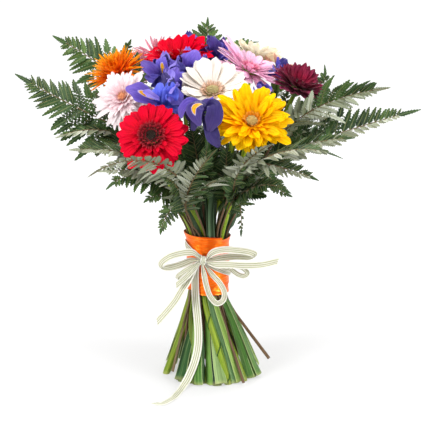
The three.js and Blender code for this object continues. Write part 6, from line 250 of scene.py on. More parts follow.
# pr, where a petal has one, sets its brightness in the iris skin: its low values are painted shade on petals that lie
# in shadow
IRIS_LEAVES = {
    "left": [
        dict(pts=[(0.0, -4.2, 4, 4.5), (-9.5, -1.2, 12, 8.5), (-20.8, 3.6, 20, 12.2), (-32.1, 7.7, 23, 11.6), (-42.8, 9.5, 22, 4.5)], face=(-0.15, 0.42, 0.9), kind=1.0, ruffle=0.25, crinkle=0.3, trough=-0.12, pr=0.62),
        dict(pts=[(-3.6, -2.4, 16, 2.6), (-10.7, 0.6, 27, 4.2), (-17.3, 3.6, 32, 4.8), (-22.0, 4.8, 33, 2.2)], mat=2, face=(-0.1, 0.3, 0.95), ruffle=0.4),
        dict(pts=[(1.2, -9.5, 6, 4), (-2.4, -1.2, 15, 8), (-3.6, 8.3, 17, 8.5), (-2.4, 16.7, 14, 4)], face=(-0.25, 0.2, 0.9), crinkle=2.0, ruffle=1.6, pr=0.95, hue=1.0),
        dict(pts=[(4.8, -11.9, 8, 5), (8.3, -2.4, 17, 9.5), (9.5, 8.3, 18, 9.5), (7.1, 17.8, 14, 4)], face=(0.2, 0.2, 0.95), crinkle=2.2, ruffle=1.6, pr=0.9, hue=1.0),
        dict(pts=[(2.4, -5.9, 6, 4), (10.7, -9.5, 12, 7.5), (17.8, -15.5, 14, 7), (21.4, -22.6, 12, 3)], face=(0.1, 0.4, 0.9), crinkle=1.6, ruffle=1.2, hue=0.8),
        dict(pts=[(0.0, -7.1, 6, 4), (-7.1, -9.5, 14, 6.5), (-13.1, -14.3, 14, 3)], face=(-0.2, 0.4, 0.9), hue=0.4),
        dict(pts=[(3.6, -2.4, 2, 4), (7.1, 9.5, 4, 8), (4.8, 21.4, 2, 8), (0.0, 29.8, -2, 3)], face=(0.1, -0.1, 1), crinkle=1.4, ruffle=1.4, hue=0.2),
    ],
    "middle": [
        dict(pts=[(-1.2, -15.5, 8, 5), (-2.4, -5.9, 15, 9.5), (-3.6, 3.6, 15, 9.5), (-4.8, 11.9, 10, 4)], face=(0, 0.1, 1), crinkle=2.0, ruffle=1.6, hue=0.9),
        dict(pts=[(0.0, 3.6, 4, 4.5), (-2.4, 13.1, 7, 8), (-3.6, 22.6, 5, 8.5), (-1.2, 30.9, 1, 3.5)], face=(-0.1, -0.1, 1), crinkle=1.0, ruffle=0.8, hue=0.1, pr=0.7),
        dict(pts=[(2.4, -5.9, 8, 5), (9.5, -13.1, 15, 9), (14.3, -22.6, 16, 9.5), (14.3, -34.5, 14, 4.5)], face=(0.1, 0.3, 0.95), crinkle=1.2, ruffle=1.2, hue=0.0, pr=0.1),
        dict(pts=[(1.2, -3.6, 6, 4), (5.9, -2.4, 10, 6), (10.7, -4.8, 10, 3)], face=(0.1, 0.4, 0.9), crinkle=1.4, hue=0.5),
    ],
    "upper": [
        dict(pts=[(0.0, -4.8, 4, 4), (-8.3, 2.4, 12, 7.5), (-16.7, 10.1, 14, 8.5), (-25.6, 17.8, 11, 3.5)], face=(-0.2, 0.45, 0.85), kind=0.0, ruffle=1.0, crinkle=0.8, hue=0.0, pr=0.5),
        dict(pts=[(1.2, -7.1, 8, 4.5), (-5.9, -5.4, 15, 7), (-14.3, -3.0, 16, 6), (-21.4, 0.0, 14, 2.5)], face=(0, 0.35, 0.92), ruffle=1.2, crinkle=1.0, hue=0.3),
        dict(pts=[(0.0, -1.2, 4, 4), (0.0, 8.3, 6, 7.5), (-1.2, 16.7, 5, 8), (1.2, 25.0, 1, 3.5)], face=(-0.3, 0, 1), kind=1.0, ruffle=1.0, crinkle=1.0, hue=0.2),
        dict(pts=[(3.6, -5.9, 4, 4.5), (8.3, 3.6, 5, 8.5), (9.5, 14.3, 3, 8.5), (5.9, 22.6, -1, 3.5)], face=(0.2, 0, 1), ruffle=1.2, crinkle=1.2, hue=0.1, pr=0.8),
        dict(pts=[(4.8, -8.3, 8, 4.5), (13.1, -5.9, 13, 7.5), (20.2, -1.2, 13, 7), (26.2, 4.8, 11, 3)], face=(0.1, 0.35, 0.95), ruffle=1.4, crinkle=1.4, hue=0.4),
    ],
    "centre": [
        dict(pts=[(-4.8, -3.6, 2, 5), (-2.4, 3.6, 6, 9.5), (1.8, 11.9, 10, 14.5), (5.4, 20.2, 7, 13.5), (8.3, 26.8, 4, 6)], face=(0, 0.4, 0.92), ruffle=0.3, crinkle=0.5, hue=0.0, pr=0.85, trough=-0.1),
        dict(pts=[(-3.6, -7.1, 8, 4.5), (-10.7, -2.4, 13, 8), (-15.5, 5.9, 11, 8), (-17.8, 14.3, 7, 3.5)], face=(-0.1, 0.2, 0.95), ruffle=1.2, crinkle=1.2, hue=0.3),
        dict(pts=[(-1.2, -9.5, 10, 5), (-3.6, -17.8, 16, 7), (-8.3, -23.8, 16, 3)], face=(0, 0.5, 0.85), ruffle=1.2, crinkle=1.2, hue=0.6),
    ],
    "front": [
        dict(pts=[(1.2, 9.5, 14, 4.5), (-7.1, 10.7, 24, 8), (-13.7, 5.9, 30, 10.5), (-11.9, -3.6, 29, 9), (-6.5, -14.3, 24, 3)], face=(-0.35, 0.3, 0.9), kind=1.0, ruffle=0.5, crinkle=0.5, trough=-0.25, hue=0.0, pr=0.2),
        dict(pts=[(-1.2, 9.5, 10, 4.5), (-10.7, 12.5, 17, 6.5), (-21.4, 11.9, 19, 7.5), (-27.4, 4.8, 17, 6), (-28.6, -4.8, 13, 2.5)], face=(-0.3, 0.55, 0.8), ruffle=0.5, crinkle=0.5, hue=0.0, pr=0.62),
        dict(pts=[(1.2, 9.5, 12, 5), (8.3, 10.7, 21, 8.5), (10.1, 1.2, 24, 10), (7.1, -10.7, 20, 9), (3.6, -20.2, 15, 4)], face=(0.25, 0.3, 0.92), ruffle=0.5, crinkle=0.6, hue=0.0, pr=0.06),
        dict(pts=[(0.0, -1.2, 8, 5), (4.8, -14.3, 14, 8), (8.3, -26.2, 14, 8.5), (15.5, -38.1, 11, 3)], face=(0, 0.2, 1), ruffle=0.6, crinkle=0.8, hue=0.1, pr=0.0),
        dict(pts=[(0.0, 3.6, 6, 5), (0.0, 10.7, 10, 10), (1.2, 15.5, 8, 9), (1.2, 19.0, 4, 3)], face=(0, 0.5, 0.9), ruffle=0.6, crinkle=0.6, hue=0.0, pr=0.15),
        dict(pts=[(-3.6, 3.6, 6, 4), (-11.9, -8.3, 10, 5.5), (-15.5, -19.0, 8, 3)], face=(-0.1, 0.2, 1), ruffle=0.6, crinkle=0.8, hue=0.1, pr=0.0),
    ],
    "top": [
        dict(pts=[(-1.2, 0.0, 0, 4), (-4.8, 10.7, 2, 7), (-5.9, 21.4, 0, 7), (-1.2, 29.8, -2, 3)], face=(0, 0, 1), ruffle=1.0, crinkle=1.0, hue=0.1, pr=0.8),
        dict(pts=[(1.2, 0.0, 2, 4), (4.8, 9.5, 4, 7.5), (4.8, 19.0, 2, 6.5), (2.4, 26.2, 0, 3)], face=(0.2, 0, 1), ruffle=1.0, crinkle=1.0, hue=0.3, pr=0.9),
    ],
    "rear": [
        dict(pts=[(-1.2, -1.2, 2, 5), (-5.9, 8.3, 5, 9), (-7.1, 17.8, 4, 10), (-4.8, 26.2, 0, 4)], face=(-0.1, 0.1, 1), ruffle=0.9, crinkle=1.0, hue=0.2, pr=0.6),
        dict(pts=[(1.2, -1.2, 2, 5), (7.1, 8.3, 5, 9), (8.3, 19.0, 3, 9), (4.8, 28.6, -1, 4)], face=(0.1, 0.1, 1), ruffle=0.9, crinkle=1.0, hue=0.3, pr=0.7),
    ],
}

MM = 0.001


def unit(a):
    a = np.asarray(a, float)
    return a / np.maximum(np.linalg.norm(a, axis=-1, keepdims=True), 1e-12)


def smooth(x):
    x = np.clip(x, 0, 1)
    return x * x * (3 - 2 * x)


# ------------------------------------------------------------------ meshes
class Mesh:
    """Collects closed shells. Attributes: pu along, pv across, pr random (given on some iris petals, where it sets
    their painted shade), ps side, pk kind.
    """

    def __init__(self):
        self.v, self.q, self.t, self.a, self.flag = [], [], [], [], []
        self.qm, self.tm = [], []
        self.n = 0
        self.ring = 0

    def put(self, v, quads, tris, att, flag, mat):
        v = np.asarray(v, float).reshape(-1, 3)
        if quads is not None and len(quads):
            self.q.append(np.asarray(quads).reshape(-1, 4) + self.n)
            self.qm.append(np.full(len(self.q[-1]), mat))
        if tris is not None and len(tris):
            self.t.append(np.asarray(tris).reshape(-1, 3) + self.n)
            self.tm.append(np.full(len(self.t[-1]), mat))
        self.v.append(v)
        self.a.append(np.asarray(att, float).reshape(-1, 5))
        f = np.asarray(flag).ravel()
        self.flag.append(np.where(f >= 0, f + self.ring, -1))
        self.ring += int(f.max(initial=-1)) + 1
        self.n += len(v)

    def sheets(self, g, thick, pr, kind, mat, pu=None, pv=None):
        """Thin closed sheets from grids of their middle surface, (count, along, across, 3), in millimetres."""
        g = np.asarray(g, float)
        if g.ndim == 3:
            g = g[None]
        n, a, b, _ = g.shape
        normal = unit(np.cross(np.gradient(g, axis=1), np.gradient(g, axis=2)))
        half = np.broadcast_to(np.asarray(thick, float) / 2, (n, a, b))[..., None]
        v = np.stack([g + normal * half, g - normal * half], 1)
        i = np.arange(2 * a * b).reshape(2, a, b)
        quads = [
            np.stack([i[0, :-1, :-1], i[0, 1:, :-1], i[0, 1:, 1:], i[0, :-1, 1:]], -1).reshape(-1, 4),
            np.stack([i[1, :-1, :-1], i[1, :-1, 1:], i[1, 1:, 1:], i[1, 1:, :-1]], -1).reshape(-1, 4),
            np.stack([i[0, 1:, 0], i[0, :-1, 0], i[1, :-1, 0], i[1, 1:, 0]], -1),
            np.stack([i[0, :-1, -1], i[0, 1:, -1], i[1, 1:, -1], i[1, :-1, -1]], -1),
            np.stack([i[0, 0, :-1], i[0, 0, 1:], i[1, 0, 1:], i[1, 0, :-1]], -1),
            np.stack([i[0, -1, 1:], i[0, -1, :-1], i[1, -1, :-1], i[1, -1, 1:]], -1),
        ]
        quads = np.concatenate(quads)
        quads = (quads[None] + (np.arange(n) * 2 * a * b)[:, None, None]).reshape(-1, 4)
        border = np.zeros((a, b), bool)
        border[[0, -1], :] = True
        border[:, [0, -1]] = True
        ids = (np.arange(n * 2).reshape(n, 2, 1, 1)) * np.ones((1, 1, a, b), int)
        flag = np.where(border, ids, -1)
        att = np.zeros((n, 2, a, b, 5))
        att[..., 0] = np.linspace(0, 1, a)[:, None] if pu is None else np.broadcast_to(pu, (n, a, b))[:, None]
        att[..., 1] = np.linspace(-1, 1, b)[None, :] if pv is None else np.broadcast_to(pv, (n, a, b))[:, None]
        att[..., 2] = np.broadcast_to(np.asarray(pr, float).reshape(-1, 1, 1, 1), (n, 2, a, b))
        att[:, 0, :, :, 3] = 1.0
        att[..., 4] = kind
        self.put(v.reshape(-1, 3), quads, None, att.reshape(-1, 5), flag.ravel(), mat)

    def tube(self, pts, ra, rb, sides, first, mat, pr=0.0, kind=0.0, cap_kind=1.0, lobes=None):
        """A capped tube along points; ra and rb are its half widths along the carried direction and across it."""
        pts = np.asarray(pts, float)
        m = len(pts)
        tan = unit(np.gradient(pts, axis=0))
        n = np.zeros_like(pts)
        d = np.asarray(first, float)
        for k in range(m):
            d = d - tan[k] * (d @ tan[k])
            d = d / max(np.linalg.norm(d), 1e-9)
            n[k] = d
        b = np.cross(tan, n)
        ra = np.broadcast_to(np.asarray(ra, float), m)
        rb = np.broadcast_to(np.asarray(rb, float), m)
        ang = np.arange(sides) * 2 * math.pi / sides
        c, s = np.cos(ang), np.sin(ang)
        bump = np.ones((m, sides)) if lobes is None else lobes(np.arange(m)[:, None] / (m - 1), ang[None, :])
        ring = (
            pts[:, None]
            + n[:, None] * (ra[:, None] * c * bump)[..., None]
            + b[:, None] * (rb[:, None] * s * bump)[..., None]
        )
        v = np.concatenate([ring.reshape(-1, 3), pts[:1], pts[-1:]])
        i = np.arange(m * sides).reshape(m, sides)
        j = np.roll(i, -1, axis=1)
        quads = np.stack([i[:-1], j[:-1], j[1:], i[1:]], -1).reshape(-1, 4)
        lo, hi = m * sides, m * sides + 1
        tris = np.concatenate(
            [
                np.stack([j[0], i[0], np.full(sides, lo)], -1),
                np.stack([i[-1], j[-1], np.full(sides, hi)], -1),
            ]
        )
        far = np.concatenate([[0], np.cumsum(np.linalg.norm(np.diff(pts, axis=0), axis=1))])
        att = np.zeros((m, sides, 5))
        att[..., 0] = far[:, None] / 100
        att[..., 1] = c
        att[..., 2] = pr
        att[..., 3] = s
        att[..., 4] = kind
        ends = np.zeros((2, 5))
        ends[:, 0] = [0, far[-1] / 100]
        ends[:, 2] = pr
        ends[:, 4] = cap_kind
        flag = np.full((m, sides), -1)
        flag[0], flag[-1] = 0, 1
        self.put(v, quads, tris, np.concatenate([att.reshape(-1, 5), ends]), np.concatenate([flag.ravel(), [-1, -1]]), mat)

    def buds(self, centres, up, size, height, pr, kind, mat, sides=5):
        """Small closed pointed buds."""
        centres, up = np.asarray(centres, float), unit(up)
        n = len(centres)
        side = unit(np.cross(up, np.array([0.31, 0.77, 0.55])))
        other = np.cross(up, side)
        rr, zz = [0.72, 1.0, 0.62], [0.0, 0.55, 0.92]
        ang = np.arange(sides) * 2 * math.pi / sides
        size = np.broadcast_to(np.asarray(size, float), n)
        height = np.broadcast_to(np.asarray(height, float), n)
        rings = [
            centres[:, None]
            + (side[:, None] * np.cos(ang)[None, :, None] + other[:, None] * np.sin(ang)[None, :, None]) * (size * r)[:, None, None]
            + up[:, None] * (height * z)[:, None, None]
            for r, z in zip(rr, zz)
        ]
        v = np.concatenate([np.stack(rings, 1).reshape(n, -1, 3), centres[:, None], (centres + up * height[:, None] * 1.12)[:, None]], 1)
        per = v.shape[1]
        i = np.arange(3 * sides).reshape(3, sides)
        j = np.roll(i, -1, axis=1)
        q = np.stack([i[:-1], j[:-1], j[1:], i[1:]], -1).reshape(-1, 4)
        t = np.concatenate([np.stack([j[0], i[0], np.full(sides, per - 2)], -1), np.stack([i[2], j[2], np.full(sides, per - 1)], -1)])
        off = (np.arange(n) * per)[:, None, None]
        att = np.zeros((n, per, 5))
        att[..., 0] = np.concatenate([np.repeat(zz, sides), [0, 1]])
        att[..., 2] = np.asarray(pr, float).reshape(-1, 1)
        att[..., 3] = 1
        att[..., 4] = kind
        self.put(v.reshape(-1, 3), (q[None] + off).reshape(-1, 4), (t[None] + off).reshape(-1, 3), att.reshape(-1, 5), np.full(n * per, -1), mat)

    def build(self, name, materials):
        v = np.concatenate(self.v) * MM
        quads = np.concatenate(self.q) if self.q else np.zeros((0, 4), int)
        tris = np.concatenate(self.t) if self.t else np.zeros((0, 3), int)
        me = bpy.data.meshes.new(name)
        me.vertices.add(len(v))
        me.vertices.foreach_set("co", v.astype(np.float32).ravel())
        corner = np.concatenate([quads.ravel(), tris.ravel()]).astype(np.int32)
        start = np.concatenate([np.arange(len(quads)) * 4, len(quads) * 4 + np.arange(len(tris)) * 3]).astype(np.int32)
        me.loops.add(len(corner))
        me.polygons.add(len(start))
        me.polygons.foreach_set("loop_start", start)
        me.polygons.foreach_set("vertices", corner)
        mats = np.concatenate((self.qm if self.q else []) + (self.tm if self.t else [])).astype(np.int32)
        me.polygons.foreach_set("material_index", mats)
        me.update(calc_edges=True)
        me.shade_smooth()
        ends = np.zeros(len(me.edges) * 2, np.int32)
        me.edges.foreach_get("vertices", ends)
        flag = np.concatenate(self.flag)
        a, b = flag[ends[0::2]], flag[ends[1::2]]
        sharp = me.attributes.new("sharp_edge", "BOOLEAN", "EDGE")
        sharp.data.foreach_set("value", ((a >= 0) & (a == b)).astype(bool))
        att = np.concatenate(self.a).astype(np.float32)
        for k, key in enumerate(("pu", "pv", "pr", "ps", "pk")):
            layer = me.attributes.new(key, "FLOAT", "POINT")
            layer.data.foreach_set("value", np.ascontiguousarray(att[:, k]))
        for m in materials:
            me.materials.append(m)
        me.validate()
        ob = bpy.data.objects.new(name, me)
        bpy.context.scene.collection.objects.link(ob)
        return ob


# ------------------------------------------------------------------ materials
class Nodes:
    def __init__(self, name):
        self.mat = bpy.data.materials.new(name)
        self.mat.use_nodes = True
        self.tree = self.mat.node_tree
        self.tree.nodes.clear()
        self.out = self.tree.nodes.new("ShaderNodeOutputMaterial")
        self.kept = {}

    def link(self, a, b):
        self.tree.links.new(a, b)

    def put(self, socket, value):
        if isinstance(value, bpy.types.NodeSocket):
            self.link(value, socket)
        elif value is not None:
            socket.default_value = value

    def attr(self, key):
        if key not in self.kept:
            n = self.tree.nodes.new("ShaderNodeAttribute")
            n.attribute_name = key
            self.kept[key] = n.outputs["Fac"]
        return self.kept[key]

    def place(self):
        if "place" not in self.kept:
            self.kept["place"] = self.tree.nodes.new("ShaderNodeTexCoord").outputs["Object"]
        return self.kept["place"]

    def math(self, op, a, b=None, c=None, clamp=False):
        n = self.tree.nodes.new("ShaderNodeMath")
        n.operation, n.use_clamp = op, clamp
        for k, x in enumerate((a, b, c)):
            if x is not None:
                self.put(n.inputs[k], x)
        return n.outputs[0]

    def vec(self, x, y, z):
        n = self.tree.nodes.new("ShaderNodeCombineXYZ")
        for k, value in enumerate((x, y, z)):
            self.put(n.inputs[k], value)
        return n.outputs[0]

    def noise(self, vector, scale, detail=3.0, rough=0.55, distort=0.0):
        n = self.tree.nodes.new("ShaderNodeTexNoise")
        self.put(n.inputs["Vector"], vector)
        n.inputs["Scale"].default_value = scale
        n.inputs["Detail"].default_value = detail
        n.inputs["Roughness"].default_value = rough
        n.inputs["Distortion"].default_value = distort
        return n.outputs["Fac"]

    def ramp(self, fac, stops, ease=False):
        n = self.tree.nodes.new("ShaderNodeValToRGB")
        e = n.color_ramp.elements
        while len(e) > 1:
            e.remove(e[-1])
        if ease:
            n.color_ramp.interpolation = "EASE"
        for k, (at, colour) in enumerate(stops):
            item = e[0] if k == 0 else e.new(at)
            item.position = at
            item.color = (*colour, 1.0) if hasattr(colour, "__len__") else (colour, colour, colour, 1.0)
        self.put(n.inputs["Fac"], fac)
        return n.outputs["Color"]

    def mix(self, fac, a, b, mode="MIX"):
        n = self.tree.nodes.new("ShaderNodeMix")
        n.data_type, n.blend_type = "RGBA", mode
        self.put(n.inputs[0], fac)
        for k, value in ((6, a), (7, b)):
            if isinstance(value, tuple):
                value = (*value, 1.0)
            self.put(n.inputs[k], value)
        return n.outputs[2]

    def bump(self, height, strength, distance):
        n = self.tree.nodes.new("ShaderNodeBump")
        n.inputs["Strength"].default_value = strength
        n.inputs["Distance"].default_value = distance
        self.link(height, n.inputs["Height"])
        return n.outputs["Normal"]

    def surface(self, colour, rough, normal, through=0.0, specular=0.35, sheen=0.0, extra=None, through_colour=None, aniso=0.0):
        p = self.tree.nodes.new("ShaderNodeBsdfPrincipled")
        self.put(p.inputs["Base Color"], colour)
        self.put(p.inputs["Roughness"], rough)
        p.inputs["Specular IOR Level"].default_value = specular
        p.inputs["Sheen Weight"].default_value = sheen
        p.inputs["Sheen Roughness"].default_value = 0.45
        p.inputs["Anisotropic"].default_value = aniso
        if normal is not None:
            self.link(normal, p.inputs["Normal"])
        for key, value in (extra or {}).items():
            self.put(p.inputs[key], value)
        top = p.outputs[0]
        if through > 0:
            t = self.tree.nodes.new("ShaderNodeBsdfTranslucent")
            self.put(t.inputs["Color"], colour if through_colour is None else through_colour)
            if normal is not None:
                self.link(normal, t.inputs["Normal"])
            m = self.tree.nodes.new("ShaderNodeMixShader")
            m.inputs[0].default_value = through
            self.link(p.outputs[0], m.inputs[1])
            self.link(t.outputs[0], m.inputs[2])
            top = m.outputs[0]
        self.link(top, self.out.inputs["Surface"])
        return self.mat


def srgb(h):
    c = [int(h[i : i + 2], 16) / 255 for i in (1, 3, 5)]
    return tuple(x / 12.92 if x <= 0.04045 else ((x + 0.055) / 1.055) ** 2.4 for x in c)


def petal_material(name, along, inner, back, vein, edge=None, vein_mix=0.5, rough=0.5, through=0.24, sheen=0.04, groove=1.0, streak=9.0, edge_from=0.55, shine=0.16):
    """Petal: colour along its length, inner whorls mixed towards inner, veins and grooves along it, a paler or darker edge and its own back."""
    m = Nodes(name)
    u, v, r, s, k = (m.attr(x) for x in ("pu", "pv", "pr", "ps", "pk"))
    grain = m.noise(m.vec(m.math("MULTIPLY", u, 1.1), m.math("MULTIPLY", v, streak * 0.35), m.math("MULTIPLY", r, 61.0)), 3.2, 4.0, 0.6)
    blotch = m.noise(m.vec(m.math("MULTIPLY", u, 2.3), m.math("ADD", v, 5.0), m.math("MULTIPLY", r, 23.0)), 1.6, 2.0, 0.5)
    colour = m.ramp(u, along)
    if inner is not None:
        colour = m.mix(m.math("MULTIPLY", k, 1.0, clamp=True), colour, m.ramp(u, inner))
    veins = m.ramp(grain, [(0.40, 0.0), (0.66, 1.0)])
    colour = m.mix(m.math("MULTIPLY", veins, vein_mix), colour, vein)
    if edge is not None:
        rim = m.math("ABSOLUTE", v)
        rim = m.math("SUBTRACT", rim, edge_from)
        rim = m.math("DIVIDE", rim, 1.0 - edge_from, clamp=True)
        colour = m.mix(m.math("MULTIPLY", rim, 0.8), colour, edge)
    fold = m.math("MULTIPLY", v, 9.4)
    fold = m.math("COSINE", m.math("ADD", fold, m.math("MULTIPLY", grain, 2.6)))
    dip = m.math("MULTIPLY", m.math("SUBTRACT", 1.0, fold), 0.10)
    colour = m.mix(dip, colour, vein)
    shade = m.math("ADD", m.math("MULTIPLY", r, 0.22), 0.84)
    shade = m.math("MULTIPLY", shade, m.math("ADD", m.math("MULTIPLY", blotch, 0.22), 0.89))
    colour = m.mix(1.0, colour, m.vec(shade, shade, shade), "MULTIPLY")
    colour = m.mix(m.math("SUBTRACT", 1.0, s, clamp=True), colour, m.mix(0.75, colour, back))
    height = m.math("ADD", m.math("MULTIPLY", fold, 0.55 * groove), m.math("MULTIPLY", grain, 0.8))
    roughness = m.math("ADD", m.math("MULTIPLY", grain, 0.22), rough - 0.1)
    return m.surface(colour, roughness, m.bump(height, 0.55, 0.0007), through, shine, sheen)


def bud_material(name, low, high, other, rough=0.6):
    m = Nodes(name)
    u, r = m.attr("pu"), m.attr("pr")
    colour = m.ramp(u, [(0.25, low), (0.95, high)])
    pick = m.ramp(m.noise(m.vec(m.math("MULTIPLY", r, 91.0), 3.0, 1.0), 1.0, 1.0), [(0.45, 0.0), (0.6, 1.0)])
    colour = m.mix(m.math("MULTIPLY", pick, 0.7), colour, other)
    grain = m.noise(m.place(), 900.0, 3.0)
    colour = m.mix(m.math("MULTIPLY", grain, 0.25), colour, low)
    return m.surface(colour, m.math("ADD", m.math("MULTIPLY", grain, 0.2), rough - 0.1), m.bump(grain, 0.4, 0.0004), 0.0, 0.3, 0.1)


# ------------------------------------------------------------------ shapes
def seeded(name):
    return np.random.default_rng(sum((i + 3) * ord(c) for i, c in enumerate(name)) % 100003)


def head_axes(axis):
    """Right, up and out of a head: azimuth 0 is to the right in the picture and 90 is up."""
    n = unit(axis)
    x = np.array([1.0, 0.0, 0.0])
    x = unit(x - n * (x @ n))
    return np.stack([x, np.cross(n, x), n])


def to_world(local, centre, axes):
    return np.asarray(centre, float) + np.asarray(local, float) @ axes


def whorl(mesh, rng, head, n, r0, r1, width, e0, e1, mat, kind, z0=0.0, pointed=0.0, thick=0.55, cells=(8, 4), shift=0.0, jitter=1.0, trough=0.20, hang=0.0, notch=0.0, twist=10.0, lengths=None, only=None, belly=0.66, ribs=0.22, up=0.0):
    """One whorl of ray florets. r0 and r1 are shares of the head's radius, e0 and e1 the slope in degrees at base and tip."""
    centre, axes, big = head["P"], head["axes"], head["R"]
    k = np.arange(n) if only is None else np.asarray(only)
    phi = (k + shift + 0.32 * jitter * rng.standard_normal(len(k)) * 0.6) * 2 * math.pi / n
    count = len(k)
    long = (r1 - r0) * big * (1 + 0.055 * jitter * rng.standard_normal(count))
    if lengths is not None:
        long = long * lengths(phi)
    a, b = cells[0] + 1, cells[1] + 1
    u = np.linspace(0, 1, a)[None, :, None]
    v = np.linspace(-1, 1, b)[None, None, :]
    down = np.maximum(0, -np.sin(phi)) * hang
    back = np.maximum(0, np.sin(phi)) * up
    s0 = np.radians(e0 + back + 4.5 * jitter * rng.standard_normal(count))[:, None, None]
    s1 = np.radians(e1 + back + 7.5 * jitter * rng.standard_normal(count) - down)[:, None, None]
    delta = s1 - s0
    delta = np.where(np.abs(delta) < 1e-3, 1e-3, delta)
    tip = 0.13 * (1 - pointed) + 0.03
    x = u * (1 - tip * np.abs(v) ** 2.3 * u**3) + (notch * 0.03 * np.cos(v * 9.4) * u**6)
    slope = s0 + delta * x
    length = long[:, None, None]
    r = r0 * big + length * (np.sin(slope) - np.sin(s0)) / delta
    z = z0 + length * (np.cos(s0) - np.cos(slope)) / delta
    rise = 0.42 + 0.58 * smooth(x / belly)
    if pointed > 0:
        fall = 1 - pointed * np.clip((x - belly) / (1 - belly), 0, 1) ** 1.35 * 0.93
    else:
        fall = 1 - 0.26 * np.clip((x - belly) / (1 - belly), 0, 1) ** 2
    wide = width / 2 * (1 + 0.08 * jitter * rng.standard_normal(count))[:, None, None] * rise * fall
    turn = np.radians(twist * rng.standard_normal(count))[:, None, None] * (0.25 + x)
    bend = (0.045 * jitter * rng.standard_normal(count))[:, None, None] * x**2
    ang = phi[:, None, None] + bend
    fold = (trough + 0.10 * rng.standard_normal(count))[:, None, None]
    lift = fold * (v**2) * wide + ribs * np.cos(9.4 * v) * smooth(1.3 - x)
    side = v * wide * (1 - 0.12 * np.abs(v) * np.abs(fold))
    q = side * np.cos(turn) - lift * np.sin(turn)
    h = side * np.sin(turn) + lift * np.cos(turn)
    rr = r - h * np.sin(slope)
    zz = z + h * np.cos(slope)
    local = np.stack([rr * np.cos(ang) - q * np.sin(ang), rr * np.sin(ang) + q * np.cos(ang), zz * np.ones_like(ang)], -1)
    t = thick * (0.45 + 0.55 * (1 - np.abs(v) ** 3)) * (1 - 0.45 * x)
    mesh.sheets(to_world(local, centre, axes), np.maximum(t, 0.16), rng.random(count), kind, mat, pu=x * np.ones((count, a, b)), pv=None)


def disc(mesh, rng, head, n, radius, z0, dome, size, height, mat, kind=0.0, inner=0.0):
    k = np.arange(n) + 0.5
    r = radius * np.sqrt(inner**2 + (1 - inner**2) * k / n)
    a = k * 2.39996
    z = z0 + dome * (1 - (r / radius) ** 2)
    c = np.stack([r * np.cos(a), r * np.sin(a), z], 1)
    out = np.stack([np.cos(a) * 0.5 * r / radius, np.sin(a) * 0.5 * r / radius, np.ones(n)], 1)
    mesh.buds(to_world(c, head["P"], head["axes"]), out @ head["axes"], size, height * (1 + 0.18 * rng.standard_normal(n)), rng.random(n), kind, mat)


def cup(mesh, rng, head, mat, core):
    """The green cup below a head with its two rows of bracts, and the receptacle under the disc."""
    k = head["R"] / 42
    rise = head["cup"] * head["R"]
    prof = [(-14.05, 3.4 * k), (-13.2, 4.9 * k), (-10, 8.0 * k), (-6.2, 11.4 * k), (-3.2, 12.6 * k), (-0.8, 12.0 * k), (1.2 + 0.04 * rise, 9.5 * k)]
    pts = np.array([(0, 0, z) for z, _ in prof])
    mesh.tube(to_world(pts, head["P"], head["axes"]), [r for _, r in prof], [r for _, r in prof], 28, head["axes"][0], mat, cap_kind=0.0)
    pts = np.array([(0, 0, z) for z in (-0.6, 1.0, 2.2, 3.0)])
    mesh.tube(to_world(pts, head["P"], head["axes"]), [9.5 * k, 9.4 * k, 7.5 * k, 3 * k], [9.5 * k, 9.4 * k, 7.5 * k, 3 * k], 20, head["axes"][0], core, cap_kind=0.0)
    for n, z0, r0, long, e0, e1, w, s in ((22, -11.5, 6.4 * k, 12 * k, 55, 20, 3.2 * k, 0.0), (24, -7.2, 10.2 * k, 11.5 * k, 48, 8, 3.0 * k, 0.5)):
        whorl(mesh, rng, head, n, r0 / head["R"], (r0 + long) / head["R"], w, e0, e1, mat, 0.0, z0=z0, pointed=1.0, thick=0.6, cells=(4, 2), shift=s, trough=-0.25, belly=0.3, ribs=0.0)


def gerbera(name, spec):
    rng = seeded(name)
    P = np.array(spec["P"])
    head = {"P": P, "axes": head_axes(spec["n"]), "R": spec["R"], "cup": spec["cup"]}
    mesh = Mesh()
    green, ray, fine, eye = 0, 1, 2, 3
    cup(mesh, rng, head, green, eye)
    for w in HEADS[name]["whorls"]:
        whorl(mesh, rng, head, mat={"ray": ray, "fine": fine}[w.pop("mat", "ray")], **w)
    for d in HEADS[name]["discs"]:
        disc(mesh, rng, head, mat=eye, **d)
    ob = mesh.build("gerbera_" + name + "_flower", [GREEN, *HEADS[name]["materials"]])
    node = "gerbera_" + name + "_bloom"
    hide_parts(node)
    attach(ob, "root")
    return ob


def spline(points, n):
    """Smooth curve through points, with n samples evenly spaced along it."""
    p = np.asarray(points, float)
    d = np.concatenate([[0], np.cumsum(np.sqrt(np.linalg.norm(np.diff(p, axis=0), axis=1)) + 1e-9)])
    m = len(p)
    tan = np.zeros_like(p)
    for i in range(m):
        if i == 0:
            tan[i] = (p[1] - p[0]) / (d[1] - d[0])
        elif i == m - 1:
            tan[i] = (p[-1] - p[-2]) / (d[-1] - d[-2])
        else:
            h0, h1 = d[i] - d[i - 1], d[i + 1] - d[i]
            tan[i] = ((p[i] - p[i - 1]) / h0 * h1 + (p[i + 1] - p[i]) / h1 * h0) / (h0 + h1)
    t = np.linspace(0, d[-1], max(n * 6, 60))
    k = np.clip(np.searchsorted(d, t, side="right") - 1, 0, m - 2)
    h = (d[k + 1] - d[k])[:, None]
    x = ((t - d[k])[:, None]) / h
    fine = (2 * x**3 - 3 * x**2 + 1) * p[k] + (x**3 - 2 * x**2 + x) * h * tan[k] + (-2 * x**3 + 3 * x**2) * p[k + 1] + (x**3 - x**2) * h * tan[k + 1]
    far = np.concatenate([[0], np.cumsum(np.linalg.norm(np.diff(fine, axis=0), axis=1))])
    at = np.linspace(0, far[-1], n)
    return np.stack([np.interp(at, far, fine[:, i]) for i in range(p.shape[1])], 1)


